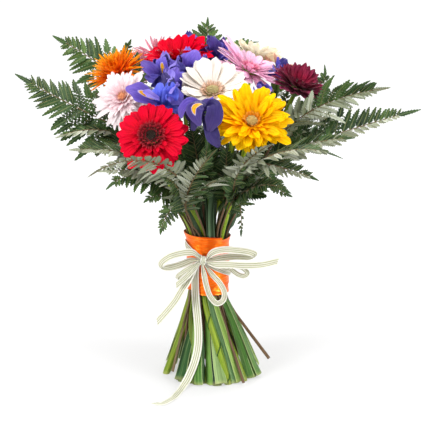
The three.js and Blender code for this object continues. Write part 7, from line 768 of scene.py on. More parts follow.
def iris_petal(mesh, rng, head, az, prof, mat, kind, cells=(18, 12), ruffle=1.0, trough=0.25, thick=0.5, lean=0.0, roll=0.0, crinkle=0.5, notch=0.0, wave=2.5, sag=0.0, hue=0.0):
    """prof is a list of (out, up, half width) along the petal in millimetres, in the plane at azimuth az."""
    p = spline(prof, cells[0] + 1)
    a, b = cells[0] + 1, cells[1] + 1
    u = np.linspace(0, 1, a)[:, None]
    v = np.linspace(-1, 1, b)[None, :]
    t = unit(np.gradient(p[:, :2], axis=0))
    nr, nz = -t[:, 1][:, None], t[:, 0][:, None]
    half = p[:, 2][:, None]
    # the end rows are arcs, so that the blade is rounded
    back = (0.10 * np.abs(v) ** 2 * u**4 - notch * 0.10 * np.exp(-((v / 0.28) ** 2)) * u**8 * -1) * np.ones((a, b))
    total = np.linalg.norm(np.diff(p[:, :2], axis=0), axis=1).sum()
    phase = rng.random(3) * 6.28
    edge = np.abs(v) ** 2.2
    h = trough * half * v**2 + ruffle * half * 0.15 * edge * np.sin(wave * 6.28 * u + phase[0] + 1.3 * np.sign(v)) * smooth((u - 0.15) / 0.3)
    h = h + crinkle * (np.sin(11 * u + 3 * v + phase[1]) * np.sin(7 * v - 5 * u + phase[2])) * 0.45 * smooth(u * 3)
    h = h - 0.8 * np.exp(-((v / 0.16) ** 2)) * smooth(u * 3)
    side = v * half * (1 - 0.10 * np.abs(v) * abs(trough)) + lean * u**2 * total
    out = p[:, 0][:, None] + nr * h - t[:, 0][:, None] * back * total
    up = p[:, 1][:, None] + nz * h - t[:, 1][:, None] * back * total
    c, s = math.cos(math.radians(roll)), math.sin(math.radians(roll))
    # roll turns the blade about its own line
    side2 = side * c
    out = out + nr * side * s * smooth(u * 2)
    up = up + nz * side * s * smooth(u * 2)
    th = math.radians(az)
    local = np.stack([out * math.cos(th) - side2 * math.sin(th), out * math.sin(th) + side2 * math.cos(th), up], -1)
    world = to_world(local, head["P"], head["axes"])
    world[..., 2] -= sag * u**2
    tt = thick * (0.4 + 0.6 * (1 - np.abs(v) ** 3)) * (1 - 0.3 * u) * np.ones((a, b))
    # pk holds ten times the share of blue, plus a half where the petal has a yellow signal
    mesh.sheets(world, tt, rng.random(), round(10 * hue) + 0.1 + 0.5 * kind if mat == 1 else 0.0, mat)


def laid_petal(mesh, rng, head, pts, mat=1, kind=0.0, face=(0.0, 0.0, 1.0), cells=(16, 10), ruffle=0.8, trough=0.1, crinkle=0.8, thick=0.5, hue=0.0, pr=None, wave=2.0, signal=None):
    """A petal laid along pts of (right, up, forward, half width) in millimetres from the head's centre, seen from the front of the bunch."""
    p = spline(pts, cells[0] + 1)
    frame = np.array([[1.0, 0, 0], [0, 0.225, 0.974], [0, -0.974, 0.225]])
    line = np.asarray(head["P"]) + p[:, :3] @ frame
    t = unit(np.gradient(line, axis=0))
    f = unit(np.asarray(face, float)) @ frame
    n = unit(f[None] - t * (t @ f)[:, None])
    s = np.cross(t, n)
    a, b = cells[0] + 1, cells[1] + 1
    u = np.linspace(0, 1, a)[:, None]
    v = np.linspace(-1, 1, b)[None, :]
    half = p[:, 3][:, None]
    phase = rng.random(4) * 6.28
    h = trough * half * v**2
    h = h + ruffle * half * 0.16 * np.abs(v) ** 2.2 * np.sin(wave * 6.28 * u + phase[0] + 1.3 * np.sign(v)) * smooth(u * 4)
    h = h + crinkle * 0.55 * np.sin(10 * u + 3 * v + phase[1]) * np.sin(6.5 * v - 4 * u + phase[2]) * smooth(u * 3)
    h = h - 0.9 * np.exp(-((v / 0.16) ** 2)) * smooth(u * 3)
    back = -0.55 * half * v**2 * smooth((u - 0.6) / 0.4)
    grid = line[:, None] + s[:, None] * (v * half * (1 + 0.04 * np.sin(9 * u + phase[3])))[..., None] + n[:, None] * h[..., None] + t[:, None] * back[..., None]
    tt = thick * (0.4 + 0.6 * (1 - np.abs(v) ** 3)) * (1 - 0.3 * u) * np.ones((a, b))
    # the upper side faces n
    code = round(10 * hue) + 0.1 + 0.5 * kind if mat == 1 else 0.0
    # a given pr replaces the random one and sets the petal's brightness: painted shade where it is low
    mesh.sheets(grid[:, ::-1], tt, rng.random() if pr is None else pr, code, mat)


def fall_profile(k, long=1.0, wide=1.0, rise=1.0, droop=1.0):
    return [
        (2.4 * k, 0, 2.6 * k),
        (7 * k, 7 * k * rise, 3.6 * k),
        (13 * k * long, 11.5 * k * rise, 6.0 * k * wide),
        (20 * k * long, 12.0 * k * rise, 10.5 * k * wide),
        (28 * k * long, (8.5 - 2.5 * (droop - 1)) * k, 12.6 * k * wide),
        (34.5 * k * long, (2.0 - 7 * (droop - 1)) * k, 10.0 * k * wide),
        (38 * k * long, (-4.5 - 10 * (droop - 1)) * k, 4.6 * k * wide),
    ]


def standard_profile(k, long=1.0, wide=1.0, out=1.0):
    return [
        (2.2 * k, 1, 1.6 * k),
        (5.0 * k * out, 8 * k, 2.4 * k),
        (8.5 * k * out, 17 * k * long, 5.4 * k * wide),
        (10.5 * k * out, 26 * k * long, 7.6 * k * wide),
        (11.0 * k * out, 34 * k * long, 6.6 * k * wide),
        (9.5 * k * out, 40 * k * long, 2.8 * k * wide),
    ]


def style_profile(k, long=1.0, wide=1.0):
    return [
        (1.8 * k, 2, 2.0 * k),
        (7 * k, 10 * k, 3.2 * k * wide),
        (13 * k * long, 15.5 * k, 4.8 * k * wide),
        (18.5 * k * long, 18.5 * k, 6.0 * k * wide),
        (22.5 * k * long, 22.5 * k, 5.4 * k * wide),
        (24.5 * k * long, 28.5 * k, 3.0 * k * wide),
    ]


def iris(name, spec, turn):
    rng = seeded("iris" + name)
    head = {"P": np.array(spec["P"]), "axes": head_axes(spec["n"]), "R": spec["R"], "cup": 0}
    plan = IRIS_PLANS.get(name, {})
    k = spec["R"] / 40.0
    mesh = Mesh()
    prof = [(-14.7, 3.3), (-12, 3.9), (-7, 4.3), (-3, 3.4), (1.5, 2.7), (6, 2.0)]
    mesh.tube(to_world([(0, 0, z) for z, _ in prof], head["P"], head["axes"]), [r for _, r in prof], [r for _, r in prof], 14, head["axes"][0], 0, cap_kind=0.0)
    # the two papery green bracts round the tube
    for az, long in ((turn + 20, 1.0), (turn + 200, 0.82)):
        iris_petal(mesh, rng, head, az, [(3.6, -14.2, 3.4), (5.2, -8, 4.6), (5.6, 0, 3.8), (5.4 + 1.5 * long, 9 * long, 0.8)], 0, 0.0, cells=(10, 6), ruffle=0.1, trough=-0.55, thick=0.5, crinkle=0.1)
    k = k * plan.get("scale", 1.0)
    tint = plan.get("tint", 0.0)
    falls = plan.get("falls") or [dict(az=turn + 120 * i) for i in range(3)]
    for f in falls:
        f = dict(f)
        az = f.pop("az")
        shape = {x: f.pop(x) for x in ("long", "wide", "rise", "droop") if x in f}
        shape["wide"] = shape.get("wide", 1.0) * 1.24
        style = f.pop("style", 1.0)
        signal = f.pop("signal", 1.0 if rng.random() < 0.3 else 0.0)
        iris_petal(mesh, rng, head, az, fall_profile(k, **shape), 1, signal, cells=(20, 14), ruffle=f.pop("ruffle", 1.0), trough=f.pop("trough", -0.18), crinkle=1.0, roll=f.pop("roll", 16 * rng.standard_normal()), lean=f.pop("lean", 0.10 * rng.standard_normal()), hue=f.pop("hue", tint + 0.25 * rng.random()), **f)
        if style > 0:
            iris_petal(mesh, rng, head, az, style_profile(k * style, 0.95 + 0.1 * rng.random(), 1.15), 2, 0.0, cells=(12, 8), ruffle=0.9, trough=-0.4, notch=1.0, crinkle=0.7)
    stands = plan.get("standards") or [dict(az=turn + 60 + 120 * i) for i in range(3)]
    for f in stands:
        f = dict(f)
        az = f.pop("az")
        shape = {x: f.pop(x) for x in ("long", "wide", "out") if x in f}
        shape["wide"] = shape.get("wide", 1.0) * 1.36
        f.setdefault("roll", 14 * rng.standard_normal())
        iris_petal(mesh, rng, head, az, standard_profile(k, **shape), 1, 0.0, cells=(18, 10), ruffle=f.pop("ruffle", 1.1), trough=f.pop("trough", 0.34), lean=f.pop("lean", 0.12 * rng.standard_normal()), notch=1.0, crinkle=1.1, hue=f.pop("hue", tint + 0.25 * rng.random()), **f)
    for f in IRIS_LEAVES.get(name, ()):
        laid_petal(mesh, rng, head, **f)
    ob = mesh.build("iris_" + name + "_flower", [GREEN, IRIS_BLUE, IRIS_STYLE])
    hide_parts("iris_" + name + "_bloom")
    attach(ob, "root")


def stem_radius(foot, waist, neck, z, top):
    z = np.asarray(z, float)
    low = foot + (waist - foot) * np.clip(z / 100, 0, 1) ** 1.2
    high = waist + (neck - waist) * np.clip((z - 150) / 40, 0, 1)
    return np.where(z < 100, low, high)


def trimmed(route, floor=0.0):
    """The route from where it crosses the ground."""
    p = np.asarray(route, float)
    k = int(np.argmax(p[:, 2] > floor))
    if k == 0:
        return p
    a, b = p[k - 1], p[k]
    return np.concatenate([[a + (b - a) * (floor - a[2]) / (b[2] - a[2])], p[k:]])


TAIL = [r for n, w, r in RIBBON["strips"] if n == "long_tail"][0]


def stem(kind, name, route):
    rng = seeded("stem" + name + kind)
    pts = trimmed(route, 0.0)
    top = pts[-1, 2]
    z = pts[:, 2]
    foot, waist, neck, flat = (5.0, 3.6, 2.7, 0.95) if kind == "gerbera" else (5.9, 3.9, 3.0, 0.72)
    r = stem_radius(foot, waist, neck, z, top)
    f = flat + (1 - flat) * np.clip(z / 110, 0, 1)
    out = unit(np.array([pts[0][0] - BASE[0], pts[0][1] - BASE[1], 0.0]))
    side = np.cross([0, 0, 1.0], out)
    n_ribs = 9 if kind == "gerbera" else 6
    ph = rng.random() * 6.28

    def lobes(u, a):
        return 1 + (0.022 if kind == "gerbera" else 0.03) * np.cos(n_ribs * a + ph + 2 * u) + 0.015 * np.sin(3 * a + 9 * u + ph)

    mesh = Mesh()
    # the cut face stays level
    pts2 = pts.copy()
    mesh.tube(pts2, r, r * f, 28, side, 0, pr=rng.random(), kind=0.0, cap_kind=1.0, lobes=lobes)
    v = mesh.v[0]
    v[: 28, 2] = 0.0
    v[:, 2] = np.maximum(v[:, 2], 0.0)
    if name == "light_pink":
        # thin green wire wound round this stem below the band
        low = spline(pts[z < 100], 90)
        a = np.linspace(0, 2.6 * 2 * math.pi, 90) + 1.2
        t = unit(np.gradient(low, axis=0))
        e1 = unit(np.cross(t, [0.0, 1.0, 0.0]))
        e2 = np.cross(t, e1)
        rw = (stem_radius(foot, waist, neck, low[:, 2], top) + 0.55)[:, None]
        turns = low + rw * (e1 * np.cos(a)[:, None] + e2 * np.sin(a)[:, None])
        turns[:, 2] = np.maximum(turns[:, 2], 0.8)
        mesh.tube(turns, np.full(90, 0.55), np.full(90, 0.55), 7, [0.2, 0.3, 0.9], 0, pr=0.5, kind=4.0, cap_kind=4.0)
    if kind == "iris":
        # flat leaf bases outside the stem, cut off with it
        for j in range(4):
            top_z = 100 + 12 * rng.random()
            at = pts[z < top_z]
            if len(at) < 5:
                continue
            at = spline(at, 18)
            uu = np.linspace(0, 1, 18)[:, None]
            swing = (0.0, 0.95, -0.95, 0.2)[j] + 0.30 * rng.standard_normal()
            face = np.array([out[0] * math.cos(swing) - out[1] * math.sin(swing), out[0] * math.sin(swing) + out[1] * math.cos(swing), 0.0])
            tan = unit(np.gradient(at, axis=0))
            face = unit(face[None] - tan * (tan @ face)[:, None])
            across = np.cross(tan, face)
            rr = stem_radius(foot, waist, neck, at[:, 2], top)[:, None] * (0.82 + 0.14 * j)
            half = (6.0 + 2.4 * rng.random()) * (1 - 0.50 * uu**0.7)
            splay = (0.6, 5.0, -5.0, 2.0)[j] * (0.6 + 0.8 * rng.random()) * (1 - uu) ** 1.6
            v = np.linspace(-1, 1, 9)[None, :]
            bow = 0.30 * half * v**2 + 0.35 * np.sin(4 * uu + 4 * v + 2 * j)
            away = rr + 0.5 + 0.5 * j + 1.4 * (1 - smooth(uu / 0.12)) * rng.random()
            grid = at[:, None] + face[:, None] * (away - bow)[..., None] + across[:, None] * (v * half + splay)[..., None]
            ragged = 0.3 + 0.9 * np.abs(np.sin(5 * v + j)) * (1 - smooth(uu / 0.06))
            grid[..., 2] = np.maximum(grid[..., 2], ragged)
            flat_r = np.hypot(grid[..., 0] - BAND[0], grid[..., 1] - BAND[1])
            limit = np.where(grid[..., 2] > 98, 24.6, 400.0)
            pull = np.minimum(1, limit / np.maximum(flat_r, 1e-6))
            grid[..., 0] = BAND[0] + (grid[..., 0] - BAND[0]) * pull
            grid[..., 1] = BAND[1] + (grid[..., 1] - BAND[1]) * pull
            tail = np.array([q for q in TAIL if q[2] > 1.5])[::-1]
            xt, yt = (np.interp(grid[..., 2], tail[:, 2], tail[:, c]) for c in (0, 1))
            near = smooth((11.0 - np.abs(grid[..., 0] - xt)) / 4.0)
            grid[..., 1] = grid[..., 1] * (1 - near) + np.maximum(grid[..., 1], yt + 3.2) * near
            mesh.sheets(grid[:, ::-1], 0.6, rng.random(), 2.0, 0, pu=(at[:, 2] / 100)[:, None] * np.ones((1, 9)))
        # long leaves that rise with the stem from the band into the bunch
        for j in range(3):
            z0, z1 = 128 + 26 * rng.random(), min(top - 26, 262 + 52 * rng.random())
            tall = name in ("right", "hollow", "rear")
            if tall:
                z1 = top - 12 - 9 * j
            at = pts[(z > z0) & (z < z1)]
            if len(at) < 4:
                continue
            at = spline(at, 20)
            uu = np.linspace(0, 1, 20)[:, None]
            turn = (rng.random() + j) * 2.1
            face = np.array([math.cos(turn), math.sin(turn), 0.0])
            across = np.array([-math.sin(turn), math.cos(turn), 0.0])
            tan = unit(np.gradient(at, axis=0))
            across = unit(across[None] - tan * (tan @ across)[:, None])
            out = face[None] * (3.4 + 7.0 * smooth((uu - 0.35) / 0.65) ** 1.5 * (0.4 + rng.random()))
            v = np.linspace(-1, 1, 9)[None, :]
            half = (6.2 + 2.4 * rng.random()) * (1.35 if tall else 1.0) * (0.55 + 0.45 * smooth(uu / 0.3)) * (1 - smooth((uu - (0.8 if tall else 0.55)) / (0.2 if tall else 0.45)) * 0.93)
            cup_ = 0.42 * half * v**2 + 0.5 * np.sin(5 * uu + 3 * v + j)
            grid = at[:, None] + out[:, None] + across[:, None] * (v * half)[..., None] + face[None, None] * (-cup_)[..., None]
            flat = np.hypot(grid[..., 0] - BAND[0], grid[..., 1] - BAND[1])
            limit = np.where(grid[..., 2] < 182, 24.4 + 2.6 * np.clip((grid[..., 2] - 170) / 12, 0, 1), 400.0)
            pull = np.minimum(1, limit / np.maximum(flat, 1e-6))
            grid[..., 0] = BAND[0] + (grid[..., 0] - BAND[0]) * pull
            grid[..., 1] = BAND[1] + (grid[..., 1] - BAND[1]) * pull
            mesh.sheets(grid, 0.5, rng.random(), 3.0, 0, pu=uu * np.ones((20, 9)))
    ob = mesh.build("%s_%s_stalk" % (kind, name), [STEM_YELLOW if kind == "gerbera" else STEM_BLUE])
    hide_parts("%s_%s_stem" % (kind, name))
    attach(ob, "root")


def frond(mesh, rng, rachis, upper, half, pairs, droop=0.0022, density=1.5, wild=1.0, vee=0.0, level=0.0, high_side=1.0, low_side=1.0, fuller=1.0, tint=0.12, turned=False, split=False, pale=0.0, plain=True):
    """A frond: rachis with long pointed leaflets (pinnae) cut into forward teeth, the largest with free pinnules below, and a toothed tip."""
    c = np.asarray(rachis, float)
    far = np.concatenate([[0], np.cumsum(np.linalg.norm(np.diff(c, axis=0), axis=1))])
    total = far[-1]
    tan = unit(np.gradient(c, axis=0))
    n = np.asarray(upper, float)
    n = n * (1 - level) + np.array([0.0, 0.0, 1.0]) * level
    n = unit(n - tan * (n * tan).sum(1, keepdims=True))
    s = np.cross(n, tan)

    def place(a, b, h):
        a = np.clip(a, -0.02 * total, total * 1.04)
        q = [np.interp(a, far, x[:, i]) for x in (c, tan, n, s) for i in range(3)]
        C, T, N, S = (np.stack(q[i : i + 3], -1) for i in (0, 3, 6, 9))
        over = np.where(a > total, a - total, np.where(a < 0, a, 0))
        S, N = unit(S), unit(N)
        rise = vee * (np.sqrt(b**2 + 9) - 3)
        flat = 1 / math.sqrt(1 + vee**2)
        return C + T * over[..., None] + S * (b * flat)[..., None] + N * (h + rise * flat - droop * b**2)[..., None]

    blades = {}

    def blade(a0, side, th, p0, q0, turn, long, wide, m, rows, hang, tone, taper=0.62):
        """One toothed blade, laid out in its leaflet's own plane."""
        j = np.arange(2 * m + 1)
        i = j / (2 * m)
        peak = j % 2 == 1
        body = np.minimum(1, 0.55 + 3.2 * i) * (1 - i) ** taper
        cut = 0.27 + 0.15 * (1 - i)
        w = wide * body * np.where(peak, 1.0, 1 - cut) * (1 + 0.07 * rng.standard_normal(len(i)))
        w[0] = max(0.25, wide * 0.10)
        w[-1] = 0.14
        y = np.linspace(-1, 1, rows)[None, :]
        ay = np.abs(y)
        fwd = np.where(peak, 0.62, 0.16) * w
        bend = 0.05 * rng.standard_normal() * long
        x = i[:, None] * long + (ay**1.3) * fwd[:, None]
        z = y * w[:, None] + (i[:, None] ** 2) * bend
        lift = 0.16 * w[:, None] * ay * np.where(peak, 1.0, -0.6)[:, None] - 0.10 * w[:, None] * y**2 - hang * (i[:, None] ** 2) * long
        ct, st = math.cos(turn), math.sin(turn)
        p = p0 + x * ct - z * st
        q = q0 + x * st + z * ct
        blades.setdefault((m, rows), []).append((a0, side, th, p, q, lift, i[:, None] * np.ones((1, rows)), tone))

    k = max(4, int(round(pairs * density)))
    w = 0.30 + 0.70 * (1 - np.linspace(0, 1, k)) ** 0.75
    t = np.concatenate([[0], np.cumsum(w)[:-1]]) / w.sum() * 0.84 + 0.035
    gap = w / w.sum() * 0.84 * total
    reach = half * 1.04 * (1 - t) * (1 + 0.50 * np.sin(math.pi * t)) * np.minimum(1, 0.80 + 2.2 * t) + 3.0
    for side in (1.0, -1.0):
        for j in range(k):
            off = gap[j] * (0.22 * side + 0.07 * rng.standard_normal() * wild)
            a0 = t[j] * total + off
            ell = reach[j] * (1 + 0.07 * rng.standard_normal())
            high = np.interp(a0, far, s[:, 2]) * side > 0
            ell = ell * ((high_side if t[j] > pale else min(high_side, 0.75)) if high else low_side)
            th = math.radians((66 - 20 * t[j]) * (1 if high or not split else 0.7) + 4.0 * rng.standard_normal())
            roll = 0.26 * rng.standard_normal() * wild
            lift = 0.09 * rng.standard_normal() * wild
            curl = 0.003 * (1 + rng.standard_normal()) * wild
            tone = float(np.clip(0.5 + 0.24 * rng.standard_normal(), 0, 1))
            wide = min(0.80 * gap[j] * math.sin(th) + 0.9, 0.29 * ell + 1.0) * fuller
            frame = (a0, side, th)
            marks = {key: len(v) for key, v in blades.items()}
            if ell > (37 if plain else 24) and wide > (4.0 if plain else 4.6):
                m1 = int(round(0.56 * ell / (wide * 0.76)))
                for e in range(m1):
                    ii = (e + 0.55) / m1 * 0.56
                    out = wide * 1.36 * (1 - ii) ** 0.7 * (0.86 + 0.14 * min(1, ii * 8))
                    for sg in (1.0, -1.0):
                        at = (ii + (0.10 / m1) * (sg - 1)) * ell
                        blade(*frame, at, 0.0, sg * math.radians(52 + 5 * rng.standard_normal()), out, min(out * 0.50, 0.50 * ell / m1 + 0.5), 3, 3, 0.05, tone + 0.08 * rng.standard_normal(), 0.85)
                blade(*frame, 0.52 * ell, 0.0, 0.0, 0.48 * ell, wide * 0.86, 5, 5, 0.04, tone)
            else:
                m = 9 if plain and ell > 20 else (7 if ell > 20 else (5 if ell > 11 else 4))
                blade(*frame, 0.02 * ell, 0.0, 0.0, ell, wide, m, 5 if ell > 15 else 3, 0.04, tone)
            for key, v in blades.items():
                for e in range(marks.get(key, 0), len(v)):
                    a, sd, tt, p, q, h, uu, tn = v[e]
                    v[e] = (a, sd, tt, p, q, h + roll * q + lift * p - curl * p**2, uu, tn)
            line = np.linspace(0, 0.93, 4) * ell
            pts = place(a0 + line * math.cos(th), side * line * math.sin(th), lift * line - curl * line**2 - 0.12)
            mesh.tube(pts, np.linspace(0.5, 0.18, 4), np.linspace(0.5, 0.18, 4), 4, [0.2, 0.3, 0.93], 1, pr=0.7, cap_kind=0.0)
    blade(t[-1] * total + gap[-1] * 0.7, 1.0, 0.0, 0.0, 0.0, 0.0, total * 1.02 - t[-1] * total - gap[-1] * 0.7, max(3.0, 0.07 * half + 1.6), 8, 5, 0.0, 0.5)
    for key, rows in blades.items():
        g, us, prs, at, below = [], [], [], [], []
        for a0, side, th, p, q, h, uu, tone in rows:
            A = a0 + p * math.cos(th) - q * math.sin(th) * side
            B = side * p * math.sin(th) + q * math.cos(th)
            g.append(place(A, B, h))
            us.append(uu)
            prs.append(float(np.clip(tone, 0, 1)))
            at.append(a0)
            below.append(np.interp(a0, far, s[:, 2]) * side < 0)
        g = np.stack(g)
        # the grid's own normal has to point along the frond's upper side
        m = g.shape[1] // 2
        v = g.shape[2] // 2
        nn = np.cross(g[:, m + 1, v] - g[:, m, v], g[:, m, v + 1] - g[:, m, v - 1])
        ref = np.stack([np.interp(at, far, n[:, i]) for i in range(3)], 1)
        flip = (nn * ref).sum(1) < 0
        if turned:
            flip = ~flip
        if split:
            flip = flip ^ (np.array(below) | (np.array(at) < pale * total))
        g[flip] = g[flip][:, :, ::-1]
        mesh.sheets(g, 0.34, np.array(prs), tint, 0, pu=np.stack(us))
    r = np.linspace(1.0, 0.35, len(c))
    mesh.tube(c - n * 0.25, r, r, 7, n[0], 1, pr=0.4, cap_kind=0.0)


def fern(name, spec):
    rng = seeded("fern" + name)
    mesh = Mesh()
    route = trimmed(spec["route"], 0.0)
    z = route[:, 2]
    r = stem_radius(2.0, 1.7, 1.25, z, z[-1]) * (1.2 if name == "low_right" else 1.0)
    mesh.tube(route, r, r * 0.86, 10, [0.3, 1, 0], 1, pr=rng.random() * 0.5, cap_kind=1.0)
    mesh.v[0][:, 2] = np.maximum(mesh.v[0][:, 2], 0.0)
    spine = route
    looks = FERN_LOOKS.get(name, {})
    small = [dict(pts=spline(q, 26), nrm=(-0.05, -0.96, 0.27), half=h, k=5) for q, h in SMALL_FRONDS.get(name, [])]
    for i, b in enumerate(list(spec["fronds"]) + small):
        look = looks[min(i, len(looks) - 1)] if isinstance(looks, tuple) else looks
        c = np.array(b["pts"])
        d = ((spine - c[0]) ** 2).sum(1)
        j = int(np.argmin(d))
        if d[j] > 9:
            a = spine[max(0, j - 6)]
            t = unit(spine[max(1, j)] - spine[max(0, j - 1)])
            mid = (a + c[0]) / 2 + t * 2
            mesh.tube(spline([a, mid, c[0], c[1]], 12), np.linspace(1.1, 0.9, 12), np.linspace(1.1, 0.9, 12), 7, [0.3, 0.2, 0.9], 1, pr=0.4, cap_kind=0.0)
        frond(mesh, rng, c, b["nrm"], b["half"], b["k"], **look)
        spine = np.concatenate([spine, c])
    ob = mesh.build("fern_" + name + "_spray", [FERN_LEAF, FERN_STALK])
    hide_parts("fern_" + name)
    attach(ob, "root")


# ------------------------------------------------------------------ finishes
GREEN = None


def green_material():
    m = Nodes("flower_cup_green")
    p = m.place()
    g = m.noise(p, 260.0, 4.0)
    f = m.noise(p, 60.0, 2.0)
    colour = m.ramp(g, [(0.25, srgb("#3f5a22")), (0.75, srgb("#6f8f3a"))])
    colour = m.mix(m.math("MULTIPLY", f, 0.5), colour, srgb("#86a04c"))
    return m.surface(colour, m.math("ADD", m.math("MULTIPLY", g, 0.2), 0.45), m.bump(g, 0.5, 0.0006), 0.0, 0.3, 0.2)


GREEN = green_material()


def stem_material(name, low, high, pale, brown, streak, leaves):
    m = Nodes(name)
    u, c, r, s, k = (m.attr(x) for x in ("pu", "pv", "pr", "ps", "pk"))
    ribs = m.noise(m.vec(m.math("MULTIPLY", c, streak), m.math("MULTIPLY", s, streak), m.math("ADD", m.math("MULTIPLY", u, 0.45), m.math("MULTIPLY", r, 9.0))), 3.0, 4.0, 0.62)
    fine = m.noise(m.vec(m.math("MULTIPLY", c, streak * 3.4), m.math("MULTIPLY", s, streak * 3.4), m.math("ADD", m.math("MULTIPLY", u, 0.3), m.math("MULTIPLY", r, 17.0))), 3.0, 2.0, 0.5)
    broad = m.noise(m.vec(m.math("MULTIPLY", c, 1.2), m.math("MULTIPLY", s, 1.2), m.math("ADD", m.math("MULTIPLY", u, 1.2), m.math("MULTIPLY", r, 31.0))), 1.6, 3.0)
    spots = m.noise(m.place(), 420.0, 3.0)
    colour = m.ramp(ribs, [(0.36, low), (0.62, high)])
    colour = m.mix(m.ramp(broad, [(0.35, 0.0), (0.75, 0.55)]), colour, pale)
    colour = m.mix(m.ramp(fine, [(0.52, 0.0), (0.68, 0.45)]), colour, pale)
    colour = m.mix(m.ramp(fine, [(0.30, 0.5), (0.44, 0.0)]), colour, low)
    colour = m.mix(m.ramp(spots, [(0.62, 0.0), (0.78, 0.5)]), colour, brown)
    shade = m.math("ADD", m.math("MULTIPLY", r, 0.86), 0.40)
    colour = m.mix(1.0, colour, m.vec(shade, shade, shade), "MULTIPLY")
    # leaf bases: parallel veins, a paler rim, and every leaf its own green
    is_leaf = m.math("GREATER_THAN", k, 1.5)
    vein = m.math("COSINE", m.math("ADD", m.math("MULTIPLY", c, 40.0), m.math("MULTIPLY", ribs, 3.0)))
    own = m.ramp(r, leaves)
    leaf = m.mix(m.math("MULTIPLY", m.math("ADD", vein, 1.0), 0.22), own, m.mix(0.55, own, srgb("#1f3f16")))
    leaf = m.mix(m.ramp(broad, [(0.35, 0.0), (0.8, 0.45)]), leaf, m.mix(0.5, own, srgb("#24481c")))
    leaf = m.mix(m.ramp(ribs, [(0.34, 0.62), (0.50, 0.0)]), leaf, m.mix(0.7, own, srgb("#10280c")))
    leaf = m.mix(m.ramp(ribs, [(0.54, 0.0), (0.66, 0.5)]), leaf, m.mix(0.5, own, srgb("#b4cc84")))
    edge = m.ramp(m.math("ABSOLUTE", c), [(0.84, 0.0), (0.97, 0.7)])
    leaf = m.mix(edge, leaf, srgb("#b7c58a"))
    leaf = m.mix(m.ramp(spots, [(0.64, 0.0), (0.8, 0.4)]), leaf, brown)
    colour = m.mix(is_leaf, colour, leaf)
    # the long leaves: grey green below, darker up into the bunch under the heads, where the dark is painted shade
    blade = m.mix(m.math("MULTIPLY", m.math("ADD", vein, 1.0), 0.25), m.ramp(u, [(0.05, srgb("#8aa08c")), (0.35, srgb("#5e7858")), (0.7, srgb("#26401e")), (1.0, srgb("#28441e"))]), srgb("#2a4024"))
    colour = m.mix(m.math("GREATER_THAN", k, 2.5), colour, blade)
    # the wire
    colour = m.mix(m.math("GREATER_THAN", k, 3.5), colour, srgb("#1e4a22"))
    # the cut face: pale, with darker bundles
    is_cut = m.math("MULTIPLY", m.math("GREATER_THAN", k, 0.5), m.math("LESS_THAN", k, 1.5))
    cut = m.ramp(m.noise(m.place(), 1400.0, 2.0), [(0.4, srgb("#c9cf98")), (0.62, srgb("#8f9d5a"))])
    colour = m.mix(is_cut, colour, cut)
    # drier and paler just above the cut
    foot = m.math("SUBTRACT", 1.0, m.math("MULTIPLY", u, 22.0), clamp=True)
    colour = m.mix(m.math("MULTIPLY", foot, 0.4), colour, srgb("#b9b578"))
    height = m.math("ADD", m.math("ADD", ribs, m.math("MULTIPLY", fine, 0.5)), m.math("MULTIPLY", spots, 0.3))
    height = m.math("ADD", height, m.math("MULTIPLY", m.math("MULTIPLY", vein, is_leaf), 0.35))
    rough = m.math("ADD", m.math("MULTIPLY", ribs, 0.25), 0.34)
    return m.surface(colour, rough, m.bump(height, 0.6, 0.0009), 0.04, 0.25, 0.0)


STEM_YELLOW = stem_material("gerbera_stem_skin", srgb("#3a6610"), srgb("#8cb022"), srgb("#ccd43e"), srgb("#4c5216"), 1.3, [(0.0, srgb("#5d8a34")), (1.0, srgb("#8aa84a"))])
STEM_BLUE = stem_material("iris_stem_skin", srgb("#1c4a12"), srgb("#4f8426"), srgb("#84a84c"), srgb("#2f4216"), 1.5, [(0.05, srgb("#1c352e")), (0.2, srgb("#3f6e2c")), (0.36, srgb("#6c9a3a")), (0.5, srgb("#2e5a46")), (0.64, srgb("#86a648")), (0.8, srgb("#8ea37c")), (0.95, srgb("#487a22"))])


